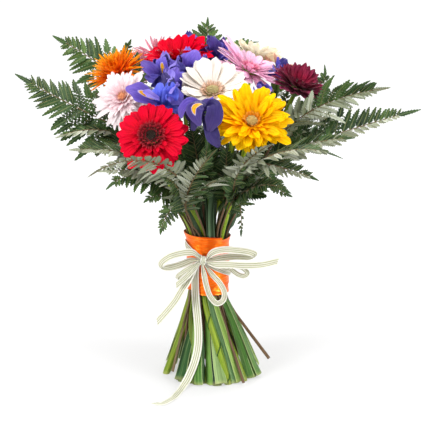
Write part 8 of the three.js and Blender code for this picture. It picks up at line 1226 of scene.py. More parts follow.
def fern_leaf():
    m = Nodes("fern_leaflet")
    u, v, r, s = (m.attr(x) for x in ("pu", "pv", "pr", "ps"))
    p = m.place()
    g = m.noise(p, 320.0, 4.0, 0.6)
    f = m.noise(p, 38.0, 3.0)
    top = m.ramp(r, [(0.05, srgb("#0c180c")), (0.5, srgb("#182b13")), (0.95, srgb("#304c22"))])
    top = m.mix(m.math("MULTIPLY", f, 0.45), top, srgb("#0d200f"))
    top = m.mix(m.math("MULTIPLY", m.ramp(u, [(0.1, 0.0), (1.0, 1.0)]), 0.28), top, srgb("#3f6428"))
    low = m.ramp(r, [(0.1, srgb("#686c5a")), (0.6, srgb("#9a9c89")), (0.95, srgb("#c8cabd"))])
    low = m.mix(m.math("MULTIPLY", f, 0.4), low, srgb("#565a48"))
    fresh = m.attr("pk")
    top = m.mix(m.math("MULTIPLY", fresh, 0.75), top, m.ramp(r, [(0.05, srgb("#2c461e")), (0.5, srgb("#44642c")), (0.95, srgb("#6c8c44"))]))
    low = m.mix(m.math("MULTIPLY", fresh, 0.6), low, m.ramp(r, [(0.1, srgb("#56703c")), (0.6, srgb("#7d9a58")), (0.95, srgb("#a3bc80"))]))
    colour = m.mix(s, low, top)
    rib = m.math("SUBTRACT", 1.0, m.math("MULTIPLY", m.math("ABSOLUTE", v), 5.0), clamp=True)
    colour = m.mix(m.math("MULTIPLY", rib, 0.45), colour, srgb("#7d9058"))
    rim = m.ramp(m.math("ABSOLUTE", v), [(0.75, 0.0), (1.0, 0.5)])
    colour = m.mix(m.math("MULTIPLY", rim, s), colour, srgb("#4a6b34"))
    lateral = m.math("COSINE", m.math("ADD", m.math("MULTIPLY", u, 30.0), m.math("MULTIPLY", m.math("ABSOLUTE", v), 8.0)))
    height = m.math("ADD", m.math("ADD", g, m.math("MULTIPLY", lateral, 0.25)), m.math("MULTIPLY", rib, -0.6))
    rough = m.math("ADD", m.math("MULTIPLY", g, 0.25), 0.33)
    return m.surface(colour, rough, m.bump(height, 0.5, 0.0005), 0.08, 0.22, 0.0)


def fern_stalk():
    m = Nodes("fern_stalk_skin")
    u, c, r, s, k = (m.attr(x) for x in ("pu", "pv", "pr", "ps", "pk"))
    g = m.noise(m.vec(m.math("MULTIPLY", c, 1.5), m.math("MULTIPLY", s, 1.5), m.math("MULTIPLY", u, 1.4)), 3.0, 4.0)
    f = m.noise(m.place(), 26.0, 2.0)
    colour = m.ramp(g, [(0.3, srgb("#301c12")), (0.7, srgb("#6c4a30"))])
    green = m.ramp(g, [(0.3, srgb("#56602c")), (0.7, srgb("#8f9658"))])
    colour = m.mix(m.ramp(r, [(0.35, 0.0), (0.75, 0.9)]), colour, green)
    colour = m.mix(m.math("MULTIPLY", f, 0.5), colour, srgb("#5d4a2c"))
    colour = m.mix(m.math("MULTIPLY", k, 0.8), colour, srgb("#c2a878"))
    return m.surface(colour, m.math("ADD", m.math("MULTIPLY", g, 0.25), 0.35), m.bump(g, 0.5, 0.0004), 0.0, 0.35)


FERN_LEAF = fern_leaf()
FERN_STALK = fern_stalk()


def iris_blue():
    m = Nodes("iris_petal_skin")
    u, v, r, s, code = (m.attr(x) for x in ("pu", "pv", "pr", "ps", "pk"))
    k = m.math("GREATER_THAN", m.math("FRACT", code), 0.35)
    blue = m.math("MULTIPLY", m.math("FLOOR", code), 0.1)
    av = m.math("ABSOLUTE", v)
    grain = m.noise(m.vec(m.math("MULTIPLY", u, 1.6), m.math("MULTIPLY", v, 4.2), m.math("MULTIPLY", r, 41.0)), 3.2, 4.0, 0.62)
    blotch = m.noise(m.vec(u, v, m.math("MULTIPLY", r, 17.0)), 1.9, 3.0, 0.5)
    violet = m.ramp(u, [(0.05, srgb("#33227c")), (0.35, srgb("#4b349e")), (0.7, srgb("#654cb4")), (1.0, srgb("#7e65c4"))])
    bright = m.ramp(u, [(0.05, srgb("#2c3094")), (0.35, srgb("#3a40b2")), (0.7, srgb("#4e56c8")), (1.0, srgb("#646cd6"))])
    colour = m.mix(blue, violet, bright)
    colour = m.mix(m.ramp(blotch, [(0.42, 0.0), (0.75, 0.45)]), colour, m.mix(blue, srgb("#846ed4"), srgb("#6478e8")))
    colour = m.mix(m.math("MULTIPLY", m.ramp(grain, [(0.45, 0.0), (0.7, 1.0)]), 0.5), colour, m.mix(blue, srgb("#2b2286"), srgb("#2030a0")))
    rim = m.ramp(av, [(0.72, 0.0), (1.0, 0.4)])
    colour = m.mix(rim, colour, m.mix(blue, srgb("#8c7cdc"), srgb("#7c8cf0")))
    # each petal darker or lighter by its pr: random tone on the falls and standards, but on the laid petals pr is
    # given, and its low values are painted shade on petals lying in shadow
    shade = m.math("ADD", m.math("MULTIPLY", r, 0.92), 0.26)
    colour = m.mix(1.0, colour, m.vec(shade, shade, shade), "MULTIPLY")
    # the yellow signal on some falls, with a white edge
    wob = m.math("MULTIPLY", m.math("SUBTRACT", grain, 0.5), 0.5)
    along = m.math("ABSOLUTE", m.math("DIVIDE", m.math("SUBTRACT", u, 0.42), 0.28))
    shape = m.math("ADD", m.math("POWER", along, 2.2), m.math("POWER", m.math("DIVIDE", av, 0.34), 2.0))
    shape = m.math("ADD", shape, wob)
    white = m.math("MULTIPLY", m.ramp(shape, [(0.74, 1.0), (1.0, 0.0)]), k)
    yellow = m.math("MULTIPLY", m.ramp(shape, [(0.55, 1.0), (0.78, 0.0)]), k)
    white = m.math("MULTIPLY", white, s)
    yellow = m.math("MULTIPLY", yellow, s)
    colour = m.mix(m.math("MULTIPLY", white, 0.75), colour, srgb("#c8c0ea"))
    colour = m.mix(yellow, colour, m.ramp(grain, [(0.3, srgb("#f0b400")), (0.7, srgb("#c07c10"))]))
    height = m.math("ADD", m.math("MULTIPLY", grain, 1.0), m.math("MULTIPLY", m.math("COSINE", m.math("MULTIPLY", v, 34.0)), 0.16))
    return m.surface(colour, m.math("ADD", m.math("MULTIPLY", grain, 0.25), 0.35), m.bump(height, 0.6, 0.0008), 0.24, 0.25, 0.0)


def iris_style():
    m = Nodes("iris_style_skin")
    u, v, r = (m.attr(x) for x in ("pu", "pv", "pr"))
    grain = m.noise(m.vec(m.math("MULTIPLY", u, 1.4), m.math("MULTIPLY", v, 4.0), m.math("MULTIPLY", r, 33.0)), 3.0, 4.0)
    colour = m.ramp(u, [(0.1, srgb("#7766c8")), (0.6, srgb("#9484da")), (1.0, srgb("#7c68ce"))])
    colour = m.mix(m.ramp(grain, [(0.45, 0.0), (0.7, 0.6)]), colour, srgb("#4a3cb2"))
    colour = m.mix(m.math("MULTIPLY", m.math("ABSOLUTE", v), 0.35), colour, srgb("#a79de0"))
    return m.surface(colour, m.math("ADD", m.math("MULTIPLY", grain, 0.2), 0.4), m.bump(grain, 0.5, 0.0007), 0.24, 0.25, 0.05)


IRIS_BLUE = iris_blue()
IRIS_STYLE = iris_style()

def petals(name, stops, inner, back, vein, **kw):
    f = lambda rows: [(a, srgb(c)) for a, c in rows]
    return petal_material(name, f(stops), None if inner is None else f(inner), srgb(back), srgb(vein), **{k: (srgb(v) if k == "edge" else v) for k, v in kw.items()})


def buds_of(name, low, high, other):
    return bud_material(name, srgb(low), srgb(high), srgb(other))


def reach_of(*bumps):
    """Length factor round a head: 1 plus bumps of (azimuth in degrees, change, width in degrees)."""
    return lambda p: 1 + sum(c * np.exp(-((np.angle(np.exp(1j * (p - math.radians(a)))) / math.radians(w)) ** 2)) for a, c, w in bumps)


YELLOW_REACH = reach_of((275, -0.32, 55))
CREAM_REACH = reach_of((0, -0.28, 50), (150, 0.08, 45))
PINK_REACH = reach_of((135, 0.24, 24), (80, -0.34, 38), (40, -0.14, 30))
HEADS = {
    "red_front": dict(
        slot="petal_red",
        materials=[
            petals("red_ray", [(0.0, "#86000f"), (0.3, "#d2001f"), (1.0, "#e60030")], [(0.0, "#6a000c"), (0.5, "#bc001a"), (1.0, "#da082c")], "#b8042a", "#90000f", through=0.2, vein_mix=0.38, shine=0.06, sheen=0.0),
            petals("red_floret", [(0.0, "#2a0408"), (0.5, "#74040f"), (1.0, "#c42434")], None, "#5c0812", "#4a0410", through=0.1, vein_mix=0.3),
            buds_of("red_eye_buds", "#120808", "#36100e", "#3c3a1c"),
        ],
        whorls=[
            dict(n=25, r0=0.30, r1=1.0, width=11.4, e0=-6, e1=-14, kind=0, z0=-1.6, notch=0.6, belly=0.76),
            dict(n=24, r0=0.28, r1=0.95, width=11.0, e0=4, e1=-8, kind=0, z0=0.2, shift=0.5, notch=0.6, belly=0.76),
            dict(n=24, r0=0.26, r1=0.56, width=4.6, e0=24, e1=6, kind=0.5, z0=1.2, cells=(6, 4), jitter=1.6),
            dict(n=64, r0=0.24, r1=0.44, width=2.3, e0=42, e1=16, kind=0, z0=1.6, mat="fine", cells=(4, 2), pointed=0.8, jitter=2.0, thick=0.4),
            dict(n=58, r0=0.19, r1=0.34, width=2.0, e0=66, e1=36, kind=0, z0=2.2, mat="fine", cells=(4, 2), pointed=0.8, jitter=2.0, thick=0.4),
            dict(n=44, r0=0.14, r1=0.25, width=1.6, e0=78, e1=58, kind=0, z0=2.4, mat="fine", cells=(4, 2), pointed=0.8, jitter=2.2, thick=0.4),
        ],
        discs=[dict(n=150, radius=8.2, z0=3.0, dome=-1.4, size=0.62, height=3.0)],
    ),
    "yellow": dict(
        slot="petal_yellow",
        materials=[
            petals("yellow_ray", [(0.0, "#ff8a00"), (0.28, "#ffb400"), (0.58, "#ffd600"), (1.0, "#ffe400")], [(0.0, "#ff8a00"), (0.45, "#ffb400"), (1.0, "#ffd800")], "#ffcc00", "#ffac00", through=0.42, vein_mix=0.3, rough=0.5, shine=0.08, sheen=0.0),
            petals("yellow_floret", [(0.0, "#e87800"), (0.5, "#ff9a10"), (1.0, "#ffc040")], None, "#e88a00", "#d86400", through=0.2, vein_mix=0.3),
            buds_of("yellow_eye_buds", "#b09a4c", "#dcc080", "#c8ac60"),
        ],
        whorls=[
            dict(lengths=YELLOW_REACH, n=25, r0=0.20, r1=1.04, width=11.6, e0=-2, e1=-12, kind=0, z0=-1.6, pointed=0.42, belly=0.66, hang=6, up=16, jitter=1.5, trough=0.28),
            dict(lengths=YELLOW_REACH, n=24, r0=0.19, r1=0.99, width=11.4, e0=10, e1=2, kind=0, z0=0.0, shift=0.5, pointed=0.42, belly=0.66, hang=4, up=16, jitter=1.5, trough=0.28),
            dict(lengths=YELLOW_REACH, n=22, r0=0.18, r1=0.88, width=10.4, e0=22, e1=12, kind=0.15, z0=1.2, pointed=0.45, belly=0.62, up=14, jitter=1.7, trough=0.3),
            dict(n=20, r0=0.17, r1=0.68, width=7.4, e0=36, e1=24, kind=0.4, z0=2.0, shift=0.4, pointed=0.55, belly=0.55, cells=(7, 4), up=10, jitter=2.0, trough=0.35),
            dict(n=26, r0=0.16, r1=0.46, width=3.8, e0=52, e1=40, kind=0.7, z0=2.6, shift=0.2, pointed=0.8, belly=0.5, cells=(6, 2), jitter=1.8),
            dict(n=44, r0=0.14, r1=0.30, width=2.0, e0=70, e1=52, kind=0, z0=3.0, mat="fine", cells=(4, 2), pointed=0.9, jitter=1.8, thick=0.4),
        ],
        discs=[dict(n=100, radius=6.0, z0=3.4, dome=1.0, size=0.60, height=2.4)],
    ),
    "white": dict(
        slot="petal_white",
        materials=[
            petals("white_ray", [(0.0, "#f2dfc4"), (0.2, "#f8f0e6"), (1.0, "#faf6f2")], None, "#f8f2ea", "#f0dfcc", through=0.30, vein_mix=0.3, groove=1.2),
            petals("white_floret", [(0.0, "#c8946a"), (0.5, "#e8b898"), (1.0, "#fae0d0")], None, "#d8b484", "#b88850", through=0.15, vein_mix=0.3),
            buds_of("white_eye_buds", "#8f8a50", "#c8b888", "#b8a878"),
        ],
        whorls=[
            dict(lengths=reach_of((270, -0.2, 60)), n=21, r0=0.25, r1=1.10, width=15.4, e0=8, e1=5, kind=0, z0=-1.4, notch=0.7, up=24, belly=0.74),
            dict(lengths=reach_of((270, -0.25, 60)), n=20, r0=0.24, r1=1.06, width=15.0, e0=18, e1=14, kind=0, z0=0.4, shift=0.5, notch=0.7, up=22, belly=0.74),
            dict(n=50, r0=0.22, r1=0.40, width=1.9, e0=34, e1=14, kind=0, z0=1.8, mat="fine", cells=(4, 2), pointed=0.8, jitter=1.8, thick=0.4),
            dict(n=46, r0=0.17, r1=0.33, width=1.8, e0=52, e1=34, kind=0, z0=2.2, mat="fine", cells=(4, 2), pointed=0.8, jitter=1.8, thick=0.4),
        ],
        discs=[dict(n=110, radius=6.6, z0=2.8, dome=0.6, size=0.62, height=2.4)],
    ),
    "light_pink": dict(
        slot="petal_light_pink",
        materials=[
            petals("light_pink_ray", [(0.0, "#f8c4cc"), (0.28, "#fdeef0"), (1.0, "#ffffff")], [(0.0, "#f4a8b6"), (0.5, "#fbdde2"), (1.0, "#fff6f7")], "#fdf0f2", "#fad8de", through=0.42, vein_mix=0.2),
            petals("light_pink_floret", [(0.0, "#e89484"), (0.6, "#f4b8a4"), (1.0, "#fbdccc")], None, "#f0a898", "#e08070", through=0.15, vein_mix=0.3),
            buds_of("light_pink_eye_buds", "#c87848", "#f0b488", "#e09468"),
        ],
        whorls=[
            dict(lengths=lambda p: 0.88 - 0.30 * np.exp(-((np.angle(np.exp(1j * (p - 0.0))) / 0.7) ** 2)) + 0.26 * np.exp(-((np.angle(np.exp(1j * (p - 3.5))) / 0.75) ** 2)), n=21, r0=0.24, r1=1.06, width=7.8, e0=-10, e1=-20, kind=0, z0=-1.6, pointed=0.66, belly=0.6, hang=10, jitter=1.5),
            dict(lengths=lambda p: 0.88 - 0.30 * np.exp(-((np.angle(np.exp(1j * (p - 0.0))) / 0.7) ** 2)) + 0.26 * np.exp(-((np.angle(np.exp(1j * (p - 3.5))) / 0.75) ** 2)), n=21, r0=0.23, r1=1.0, width=7.6, e0=6, e1=-6, kind=0, z0=0.0, shift=0.5, pointed=0.62, belly=0.6, jitter=1.5),
            dict(lengths=lambda p: 0.88 - 0.30 * np.exp(-((np.angle(np.exp(1j * (p - 0.0))) / 0.7) ** 2)) + 0.26 * np.exp(-((np.angle(np.exp(1j * (p - 3.5))) / 0.75) ** 2)), n=20, r0=0.21, r1=0.86, width=6.8, e0=24, e1=12, kind=0.35, z0=1.0, pointed=0.62, belly=0.6, jitter=1.5),
            dict(n=20, r0=0.18, r1=0.62, width=5.4, e0=44, e1=30, kind=0.8, z0=1.8, shift=0.5, pointed=0.7, belly=0.55, cells=(6, 4)),
            dict(n=24, r0=0.14, r1=0.42, width=3.4, e0=58, e1=44, kind=1, z0=2.4, pointed=0.75, belly=0.5, cells=(5, 2)),
            dict(n=36, r0=0.10, r1=0.24, width=1.9, e0=72, e1=60, kind=0, z0=2.8, mat="fine", cells=(4, 2), pointed=0.9, jitter=1.6, thick=0.4),
        ],
        discs=[dict(n=70, radius=4.8, z0=3.4, dome=0.8, size=0.60, height=2.6)],
    ),
    "orange": dict(
        slot="petal_orange",
        materials=[
            petals("orange_ray", [(0.0, "#f03c00"), (0.22, "#ff7c00"), (0.55, "#ffa400"), (1.0, "#ffca10")], [(0.0, "#f06000"), (0.4, "#ffa000"), (1.0, "#ffdc20")], "#fa8408", "#f45c00", through=0.5, vein_mix=0.35, groove=0.6),
            petals("orange_floret", [(0.0, "#d84808"), (0.6, "#ff8c10"), (1.0, "#ffc030")], None, "#e05810", "#d04008", through=0.15, vein_mix=0.3),
            buds_of("orange_eye_buds", "#8a4010", "#d88020", "#b86018"),
        ],
        whorls=[
            dict(n=34, r0=0.24, r1=1.04, width=5.4, e0=4, e1=8, kind=0, z0=-1.8, pointed=0.9, belly=0.4, jitter=1.8, hang=30, cells=(7, 2), trough=0.5),
            dict(n=34, r0=0.23, r1=1.0, width=5.4, e0=18, e1=24, kind=0.1, z0=-0.6, shift=0.5, pointed=0.9, belly=0.4, jitter=1.8, hang=14, cells=(7, 2), trough=0.5),
            dict(n=34, r0=0.20, r1=0.94, width=5.2, e0=32, e1=38, kind=0.4, z0=0.6, pointed=0.9, belly=0.4, jitter=1.8, cells=(7, 2), trough=0.5),
            dict(n=32, r0=0.16, r1=0.84, width=4.8, e0=46, e1=50, kind=0.7, z0=1.6, shift=0.4, pointed=0.9, belly=0.4, jitter=1.8, cells=(7, 2), trough=0.5),
            dict(n=30, r0=0.12, r1=0.72, width=4.4, e0=60, e1=60, kind=1, z0=2.2, pointed=0.9, belly=0.4, jitter=1.8, cells=(6, 2), trough=0.5),
            dict(n=28, r0=0.06, r1=0.58, width=3.8, e0=74, e1=72, kind=1, z0=2.6, pointed=0.9, belly=0.4, jitter=1.8, cells=(6, 2), trough=0.5),
        ],
        discs=[dict(n=50, radius=4.4, z0=3.2, dome=0.6, size=0.6, height=3.0)],
    ),
    "red_back": dict(
        slot="petal_red",
        materials=[
            petals("red_back_ray", [(0.0, "#9c0014"), (0.35, "#e20022"), (1.0, "#f60030")], None, "#d80430", "#b0001a", through=0.34, vein_mix=0.3, shine=0.06, sheen=0.0),
            petals("red_back_floret", [(0.0, "#4a0810"), (0.5, "#a01020"), (1.0, "#e05868")], None, "#6c0812", "#5a0410", through=0.1, vein_mix=0.3),
            buds_of("red_back_eye_buds", "#2a0c0a", "#6a2016", "#6c4a2a"),
        ],
        whorls=[
            dict(n=19, r0=0.27, r1=1.04, width=13.6, e0=6, e1=2, kind=0, z0=-1.6, notch=0.6, hang=8, up=30),
            dict(n=18, r0=0.26, r1=0.98, width=13.2, e0=20, e1=18, kind=0, z0=0.2, shift=0.5, notch=0.6, up=28),
            dict(n=12, r0=0.25, r1=0.80, width=9.6, e0=36, e1=36, kind=0, z0=1.2, shift=0.2, jitter=1.5, up=20),
            dict(n=50, r0=0.18, r1=0.36, width=2.2, e0=64, e1=46, kind=0, z0=2.0, mat="fine", cells=(4, 2), pointed=0.8, jitter=1.8, thick=0.4),
        ],
        discs=[dict(n=110, radius=7.4, z0=3.0, dome=0.2, size=0.62, height=3.0)],
    ),
    "pink_right": dict(
        slot="petal_pink",
        materials=[
            petals("pink_ray", [(0.0, "#f078ac"), (0.2, "#fab4da"), (0.5, "#ffd8f0"), (1.0, "#ffecf8")], [(0.0, "#e85c90"), (0.5, "#f8aed0"), (1.0, "#fcd4e8")], "#fed8ee", "#f4a4cc", through=0.46, vein_mix=0.34, edge="#f9d8e6", edge_from=0.6),
            petals("pink_floret", [(0.0, "#d0406c"), (0.6, "#ec84a4"), (1.0, "#fbd0dc")], None, "#e06c90", "#c83868", through=0.15, vein_mix=0.3),
            buds_of("pink_eye_buds", "#c8547c", "#f0a0bc", "#e07c9c"),
        ],
        whorls=[
            dict(lengths=PINK_REACH, n=22, r0=0.24, r1=1.06, width=9.4, e0=-4, e1=0, kind=0, z0=-1.6, jitter=1.3, up=24, pointed=0.3),
            dict(lengths=PINK_REACH, n=20, r0=0.23, r1=1.0, width=9.0, e0=12, e1=14, kind=0, z0=0.2, shift=0.5, jitter=1.3, up=22, pointed=0.3),
            dict(n=14, r0=0.22, r1=0.66, width=5.6, e0=36, e1=30, kind=0.6, z0=1.2, jitter=1.6, cells=(7, 4)),
            dict(n=46, r0=0.16, r1=0.34, width=2.1, e0=58, e1=40, kind=0, z0=2.0, mat="fine", cells=(4, 2), pointed=0.85, jitter=1.8, thick=0.4),
        ],
        discs=[dict(n=70, radius=4.6, z0=3.0, dome=0.5, size=0.6, height=2.8)],
    ),
    "burgundy": dict(
        slot="petal_burgundy",
        materials=[
            petals("burgundy_ray", [(0.0, "#540a20"), (0.4, "#961c4c"), (1.0, "#942e58")], [(0.0, "#5c061e"), (0.5, "#a8123c"), (1.0, "#8c1c44")], "#781838", "#56061e", through=0.26, vein_mix=0.4, sheen=0.08),
            petals("burgundy_floret", [(0.0, "#22040a"), (0.6, "#5c0c1e"), (1.0, "#903048")], None, "#3a0612", "#2a0410", through=0.1, vein_mix=0.3),
            buds_of("burgundy_eye_buds", "#1c0808", "#3c1014", "#4c3020"),
        ],
        whorls=[
            dict(n=24, r0=0.30, r1=1.06, width=9.8, e0=2, e1=4, kind=0, z0=-1.6, notch=1.0, trough=0.3, up=36),
            dict(n=23, r0=0.29, r1=1.02, width=9.4, e0=16, e1=20, kind=0.3, z0=0.0, shift=0.5, notch=1.0, trough=0.3, up=34),
            dict(n=22, r0=0.27, r1=0.98, width=8.8, e0=32, e1=38, kind=0.7, z0=1.0, shift=0.2, notch=1.0, trough=0.3, up=26),
            dict(n=18, r0=0.24, r1=0.76, width=6.4, e0=50, e1=50, kind=1, z0=1.6, trough=0.3, up=14),
            dict(n=40, r0=0.16, r1=0.34, width=1.9, e0=68, e1=56, kind=0, z0=2.0, mat="fine", cells=(4, 2), pointed=0.85, jitter=1.8, thick=0.4),
        ],
        discs=[dict(n=90, radius=5.6, z0=3.0, dome=0.2, size=0.6, height=2.8)],
    ),
    "pink_back": dict(
        slot="petal_pink",
        materials=[
            petals("pink_back_ray", [(0.0, "#ec6088"), (0.4, "#fab4c8"), (1.0, "#ffe2e8")], None, "#fdccd8", "#ee8ca6", through=0.5, vein_mix=0.4, edge="#fbe0e6", edge_from=0.5),
            petals("pink_back_floret", [(0.0, "#c83c60"), (0.6, "#e88098"), (1.0, "#f8c8d0")], None, "#d86480", "#c03058", through=0.15, vein_mix=0.3),
            buds_of("pink_back_eye_buds", "#905030", "#d09060", "#b87048"),
        ],
        whorls=[
            dict(n=40, r0=0.24, r1=1.12, width=4.2, e0=2, e1=-34, kind=0, z0=-1.6, pointed=0.7, belly=0.5, jitter=1.8, cells=(8, 2)),
            dict(n=38, r0=0.23, r1=1.04, width=4.2, e0=20, e1=-12, kind=0, z0=0.0, shift=0.5, pointed=0.7, belly=0.5, jitter=1.8, cells=(8, 2)),
            dict(n=30, r0=0.21, r1=0.84, width=4.0, e0=40, e1=22, kind=0, z0=1.0, pointed=0.7, belly=0.5, jitter=1.8, cells=(7, 2)),
            dict(n=44, r0=0.16, r1=0.36, width=2.1, e0=62, e1=44, kind=0, z0=2.0, mat="fine", cells=(4, 2), pointed=0.85, jitter=1.8, thick=0.4),
        ],
        discs=[dict(n=100, radius=6.6, z0=3.0, dome=0.5, size=0.6, height=2.8)],
    ),
    "cream": dict(
        slot="petal_cream",
        materials=[
            petals("cream_ray", [(0.0, "#fdeccc"), (0.3, "#fffcf4"), (0.8, "#fffdf6"), (1.0, "#ffefcc")], None, "#fffbf0", "#fdeed2", through=0.72, vein_mix=0.25, edge="#fde6bc", edge_from=0.74),
            petals("cream_floret", [(0.0, "#d09850"), (0.6, "#ecc080"), (1.0, "#f8e0b8")], None, "#dca868", "#c08040", through=0.15, vein_mix=0.3),
            buds_of("cream_eye_buds", "#c8a868", "#f0dca8", "#dcc488"),
        ],
        whorls=[
            dict(lengths=CREAM_REACH, n=24, r0=0.26, r1=1.04, width=8.4, e0=14, e1=10, kind=0, z0=-1.6, notch=0.6, up=14),
            dict(lengths=CREAM_REACH, n=23, r0=0.25, r1=0.99, width=8.2, e0=24, e1=20, kind=0, z0=0.2, shift=0.5, notch=0.6, up=12),
            dict(n=48, r0=0.20, r1=0.36, width=2.0, e0=52, e1=34, kind=0, z0=2.0, mat="fine", cells=(4, 2), pointed=0.85, jitter=1.8, thick=0.4),
        ],
        discs=[dict(n=130, radius=7.8, z0=3.0, dome=0.7, size=0.62, height=2.6)],
    ),
    "peach": dict(
        slot="petal_cream",
        materials=[
            petals("peach_ray", [(0.0, "#ea9c78"), (0.35, "#f4c4a8"), (1.0, "#f9dccb")], None, "#f3c6ae", "#e8a484", through=0.26, vein_mix=0.4),
            petals("peach_floret", [(0.0, "#d07848"), (0.6, "#eca880"), (1.0, "#f8d0b8")], None, "#e09068", "#c86840", through=0.15, vein_mix=0.3),
            buds_of("peach_eye_buds", "#905828", "#d09860", "#b87848"),
        ],
        whorls=[
            dict(n=22, r0=0.26, r1=1.04, width=8.4, e0=2, e1=0, kind=0, z0=-1.6, notch=0.6),
            dict(n=21, r0=0.25, r1=0.98, width=8.2, e0=18, e1=16, kind=0, z0=0.2, shift=0.5, notch=0.6),
            dict(n=40, r0=0.18, r1=0.35, width=2.0, e0=54, e1=38, kind=0, z0=2.0, mat="fine", cells=(4, 2), pointed=0.85, jitter=1.8, thick=0.4),
        ],
        discs=[dict(n=100, radius=6.2, z0=3.0, dome=0.5, size=0.6, height=2.6)],
    ),
}

# falls: az in the head's own picture plane, 0 right, 90 up, 180 left
IRIS_PLANS = {
    "left": dict(
        falls=[dict(az=330, long=0.7, wide=0.8, signal=0.0), dict(az=56, long=0.7, wide=0.9, droop=1.1, signal=0.0)],
        standards=[dict(az=118, long=0.5, wide=1.0, out=1.6), dict(az=0, long=0.6, wide=1.0, out=1.2)],
        tint=0.2,
    ),
    "middle": dict(
        falls=[dict(az=130, wide=1.0, signal=0.0, long=0.8)],
        standards=[dict(az=40, long=0.3, wide=0.8), dict(az=180, long=0.5, wide=1.0)],
        tint=0.3,
    ),
    "upper": dict(
        falls=[dict(az=80, long=0.8, wide=0.9, signal=0.0), dict(az=340, long=0.7, wide=0.8, signal=0.0)],
        standards=[dict(az=40, long=0.7, wide=1.0), dict(az=150, long=0.6, wide=1.0)],
        tint=0.1,
    ),
    "centre": dict(
        falls=[dict(az=316, long=0.35, wide=0.7, signal=0.0), dict(az=100, long=0.7, wide=0.9, signal=0.0)],
        standards=[dict(az=150, long=0.55, wide=0.9), dict(az=20, long=0.3, wide=0.8)],
        tint=0.1,
    ),
    "front": dict(
        falls=[dict(az=100, long=0.5, wide=0.8, rise=0.7, signal=0.0, style=0)],
        standards=[dict(az=96, long=0.36, wide=1.0, out=0.9)],
    ),
    "top": dict(
        falls=[dict(az=170, long=0.8, wide=0.8, rise=1.1, droop=0.9, signal=0.0), dict(az=290, wide=0.9, signal=0.0), dict(az=50, wide=0.9)],
        standards=[dict(az=110, long=0.95, wide=0.8, out=0.5), dict(az=240, long=0.8, wide=0.8), dict(az=350, long=0.8, wide=0.8)],
    ),
    "hollow": dict(scale=0.66, tint=0.1),
    "right": dict(scale=0.80, tint=0.3),
}
# small side fronds that fill the hollows behind the heads
SMALL_FRONDS = {
    "pale_right": [([(66, -18, 296), (73, -6, 312), (79, 4, 328), (84, 10, 344), (88, 13, 360)], 18.0)],
    "core_left": [([(-16, -36, 262), (-15, -41, 285), (-14, -44, 305), (-13, -45, 324)], 15.0)],
    "long_right": [([(50, -30, 266), (58, -32, 283), (66, -33, 300), (73, -34, 316)], 15.0)],
}
FERN_LOOKS = {
    "pale_left": dict(high_side=0.75, density=2.1, fuller=0.85),
    "pale_right": (
        dict(density=1.8, tint=0.3, high_side=1.3, fuller=1.1, turned=True, split=True, pale=0.38),
        dict(density=1.4, tint=0.5, high_side=1.6, low_side=1.6, fuller=1.5),
        dict(density=1.7, tint=0.15, turned=True, vee=0.8),
        dict(density=1.5, tint=0.3),
    ),
    "front": (dict(density=2.3, split=True, high_side=1.15, low_side=1.15, fuller=0.9), dict(density=2.2)),
    "top_back": (
        dict(density=1.5, fuller=1.15, tint=0.75, high_side=1.35, low_side=1.35),
        dict(density=1.5, fuller=1.1, tint=0.75, vee=0.8),
        dict(density=1.3, fuller=1.15, tint=0.75),
    ),
    "upper_left": dict(density=1.4, tint=0.55, plain=True),
    "left": (
        dict(density=1.6, tint=0.1),
        dict(density=1.6, tint=0.1, split=True, low_side=0.75),
        dict(density=1.6, tint=0.1, split=True, low_side=0.75),
        dict(density=1.6, tint=0.1),
    ),
    "lower_left": dict(split=True, low_side=0.8),
    "low_left": dict(tint=0.5),
    "low_right": (
        dict(low_side=0.75, density=1.9, split=True, fuller=0.9),
        dict(low_side=0.8, density=1.9, fuller=0.8),
        dict(low_side=0.75, density=1.9, split=True, fuller=0.9),
    ),
    "long_right": (
        dict(low_side=0.6, high_side=1.05, density=1.7, split=True),
        dict(low_side=0.7, density=1.8, split=True),
        dict(low_side=0.85, density=1.6),
        dict(low_side=0.85, density=1.6),
    ),
    "back_right": (dict(vee=0.6, density=1.7), dict(), dict(vee=1.0, high_side=1.2, low_side=1.2, density=2.0)),
    "drop_right": (dict(low_side=0.75), dict(low_side=0.75), dict(density=2.0, turned=True, split=True, pale=0.5)),
    "core_left": dict(density=1.75, fuller=1.2),
    "core_right": dict(density=1.75, fuller=1.2),
}


# ------------------------------------------------------------------ flowers, leaves and stems
for g in GERBERAS:
    gerbera(g["name"], g)
    stem("gerbera", g["name"], g["route"])
for k, g in enumerate(IRISES):
    iris(g["name"], g, (k * 37) % 120)
    stem("iris", g["name"], g["route"])
for g in FERNS:
    fern(g["name"], g)

# ------------------------------------------------------------------ satin band
def satin():
    m = Nodes("satin_orange_cloth")
    u, v, r, s = (m.attr(x) for x in ("pu", "pv", "pr", "ps"))
    p = m.place()
    fold = m.noise(m.vec(m.math("MULTIPLY", u, 3.0), m.math("MULTIPLY", v, 3.6), 0.0), 2.2, 3.0, 0.5, 0.4)
    weave = m.noise(m.vec(m.math("MULTIPLY", u, 12.0), m.math("MULTIPLY", v, 130.0), 2.0), 2.0, 3.0)
    # orange lighter and darker in patches with the folds, which also shape the bump: the lighter patches are painted
    # highlight standing in for the satin's sheen, the darker ones painted shade
    colour = m.ramp(fold, [(0.25, srgb("#ff5a10")), (0.5, srgb("#ff7418")), (0.75, srgb("#ff9c48"))])
    colour = m.mix(m.math("MULTIPLY", weave, 0.14), colour, srgb("#ff5c00"))
    rim = m.ramp(m.math("ABSOLUTE", v), [(0.93, 0.0), (0.975, 1.0)])
    colour = m.mix(m.math("MULTIPLY", rim, 0.5), colour, srgb("#ff8a3a"))
    height = m.math("ADD", m.math("MULTIPLY", fold, 3.0), m.math("MULTIPLY", weave, 0.10))
    height = m.math("ADD", height, m.math("MULTIPLY", rim, 0.5))
    rough = m.math("ADD", m.math("MULTIPLY", weave, 0.06), 0.27)
    return m.surface(colour, rough, m.bump(height, 0.5, 0.0011), 0.0, 0.3, 0.0, extra={"Metallic": 0.93})


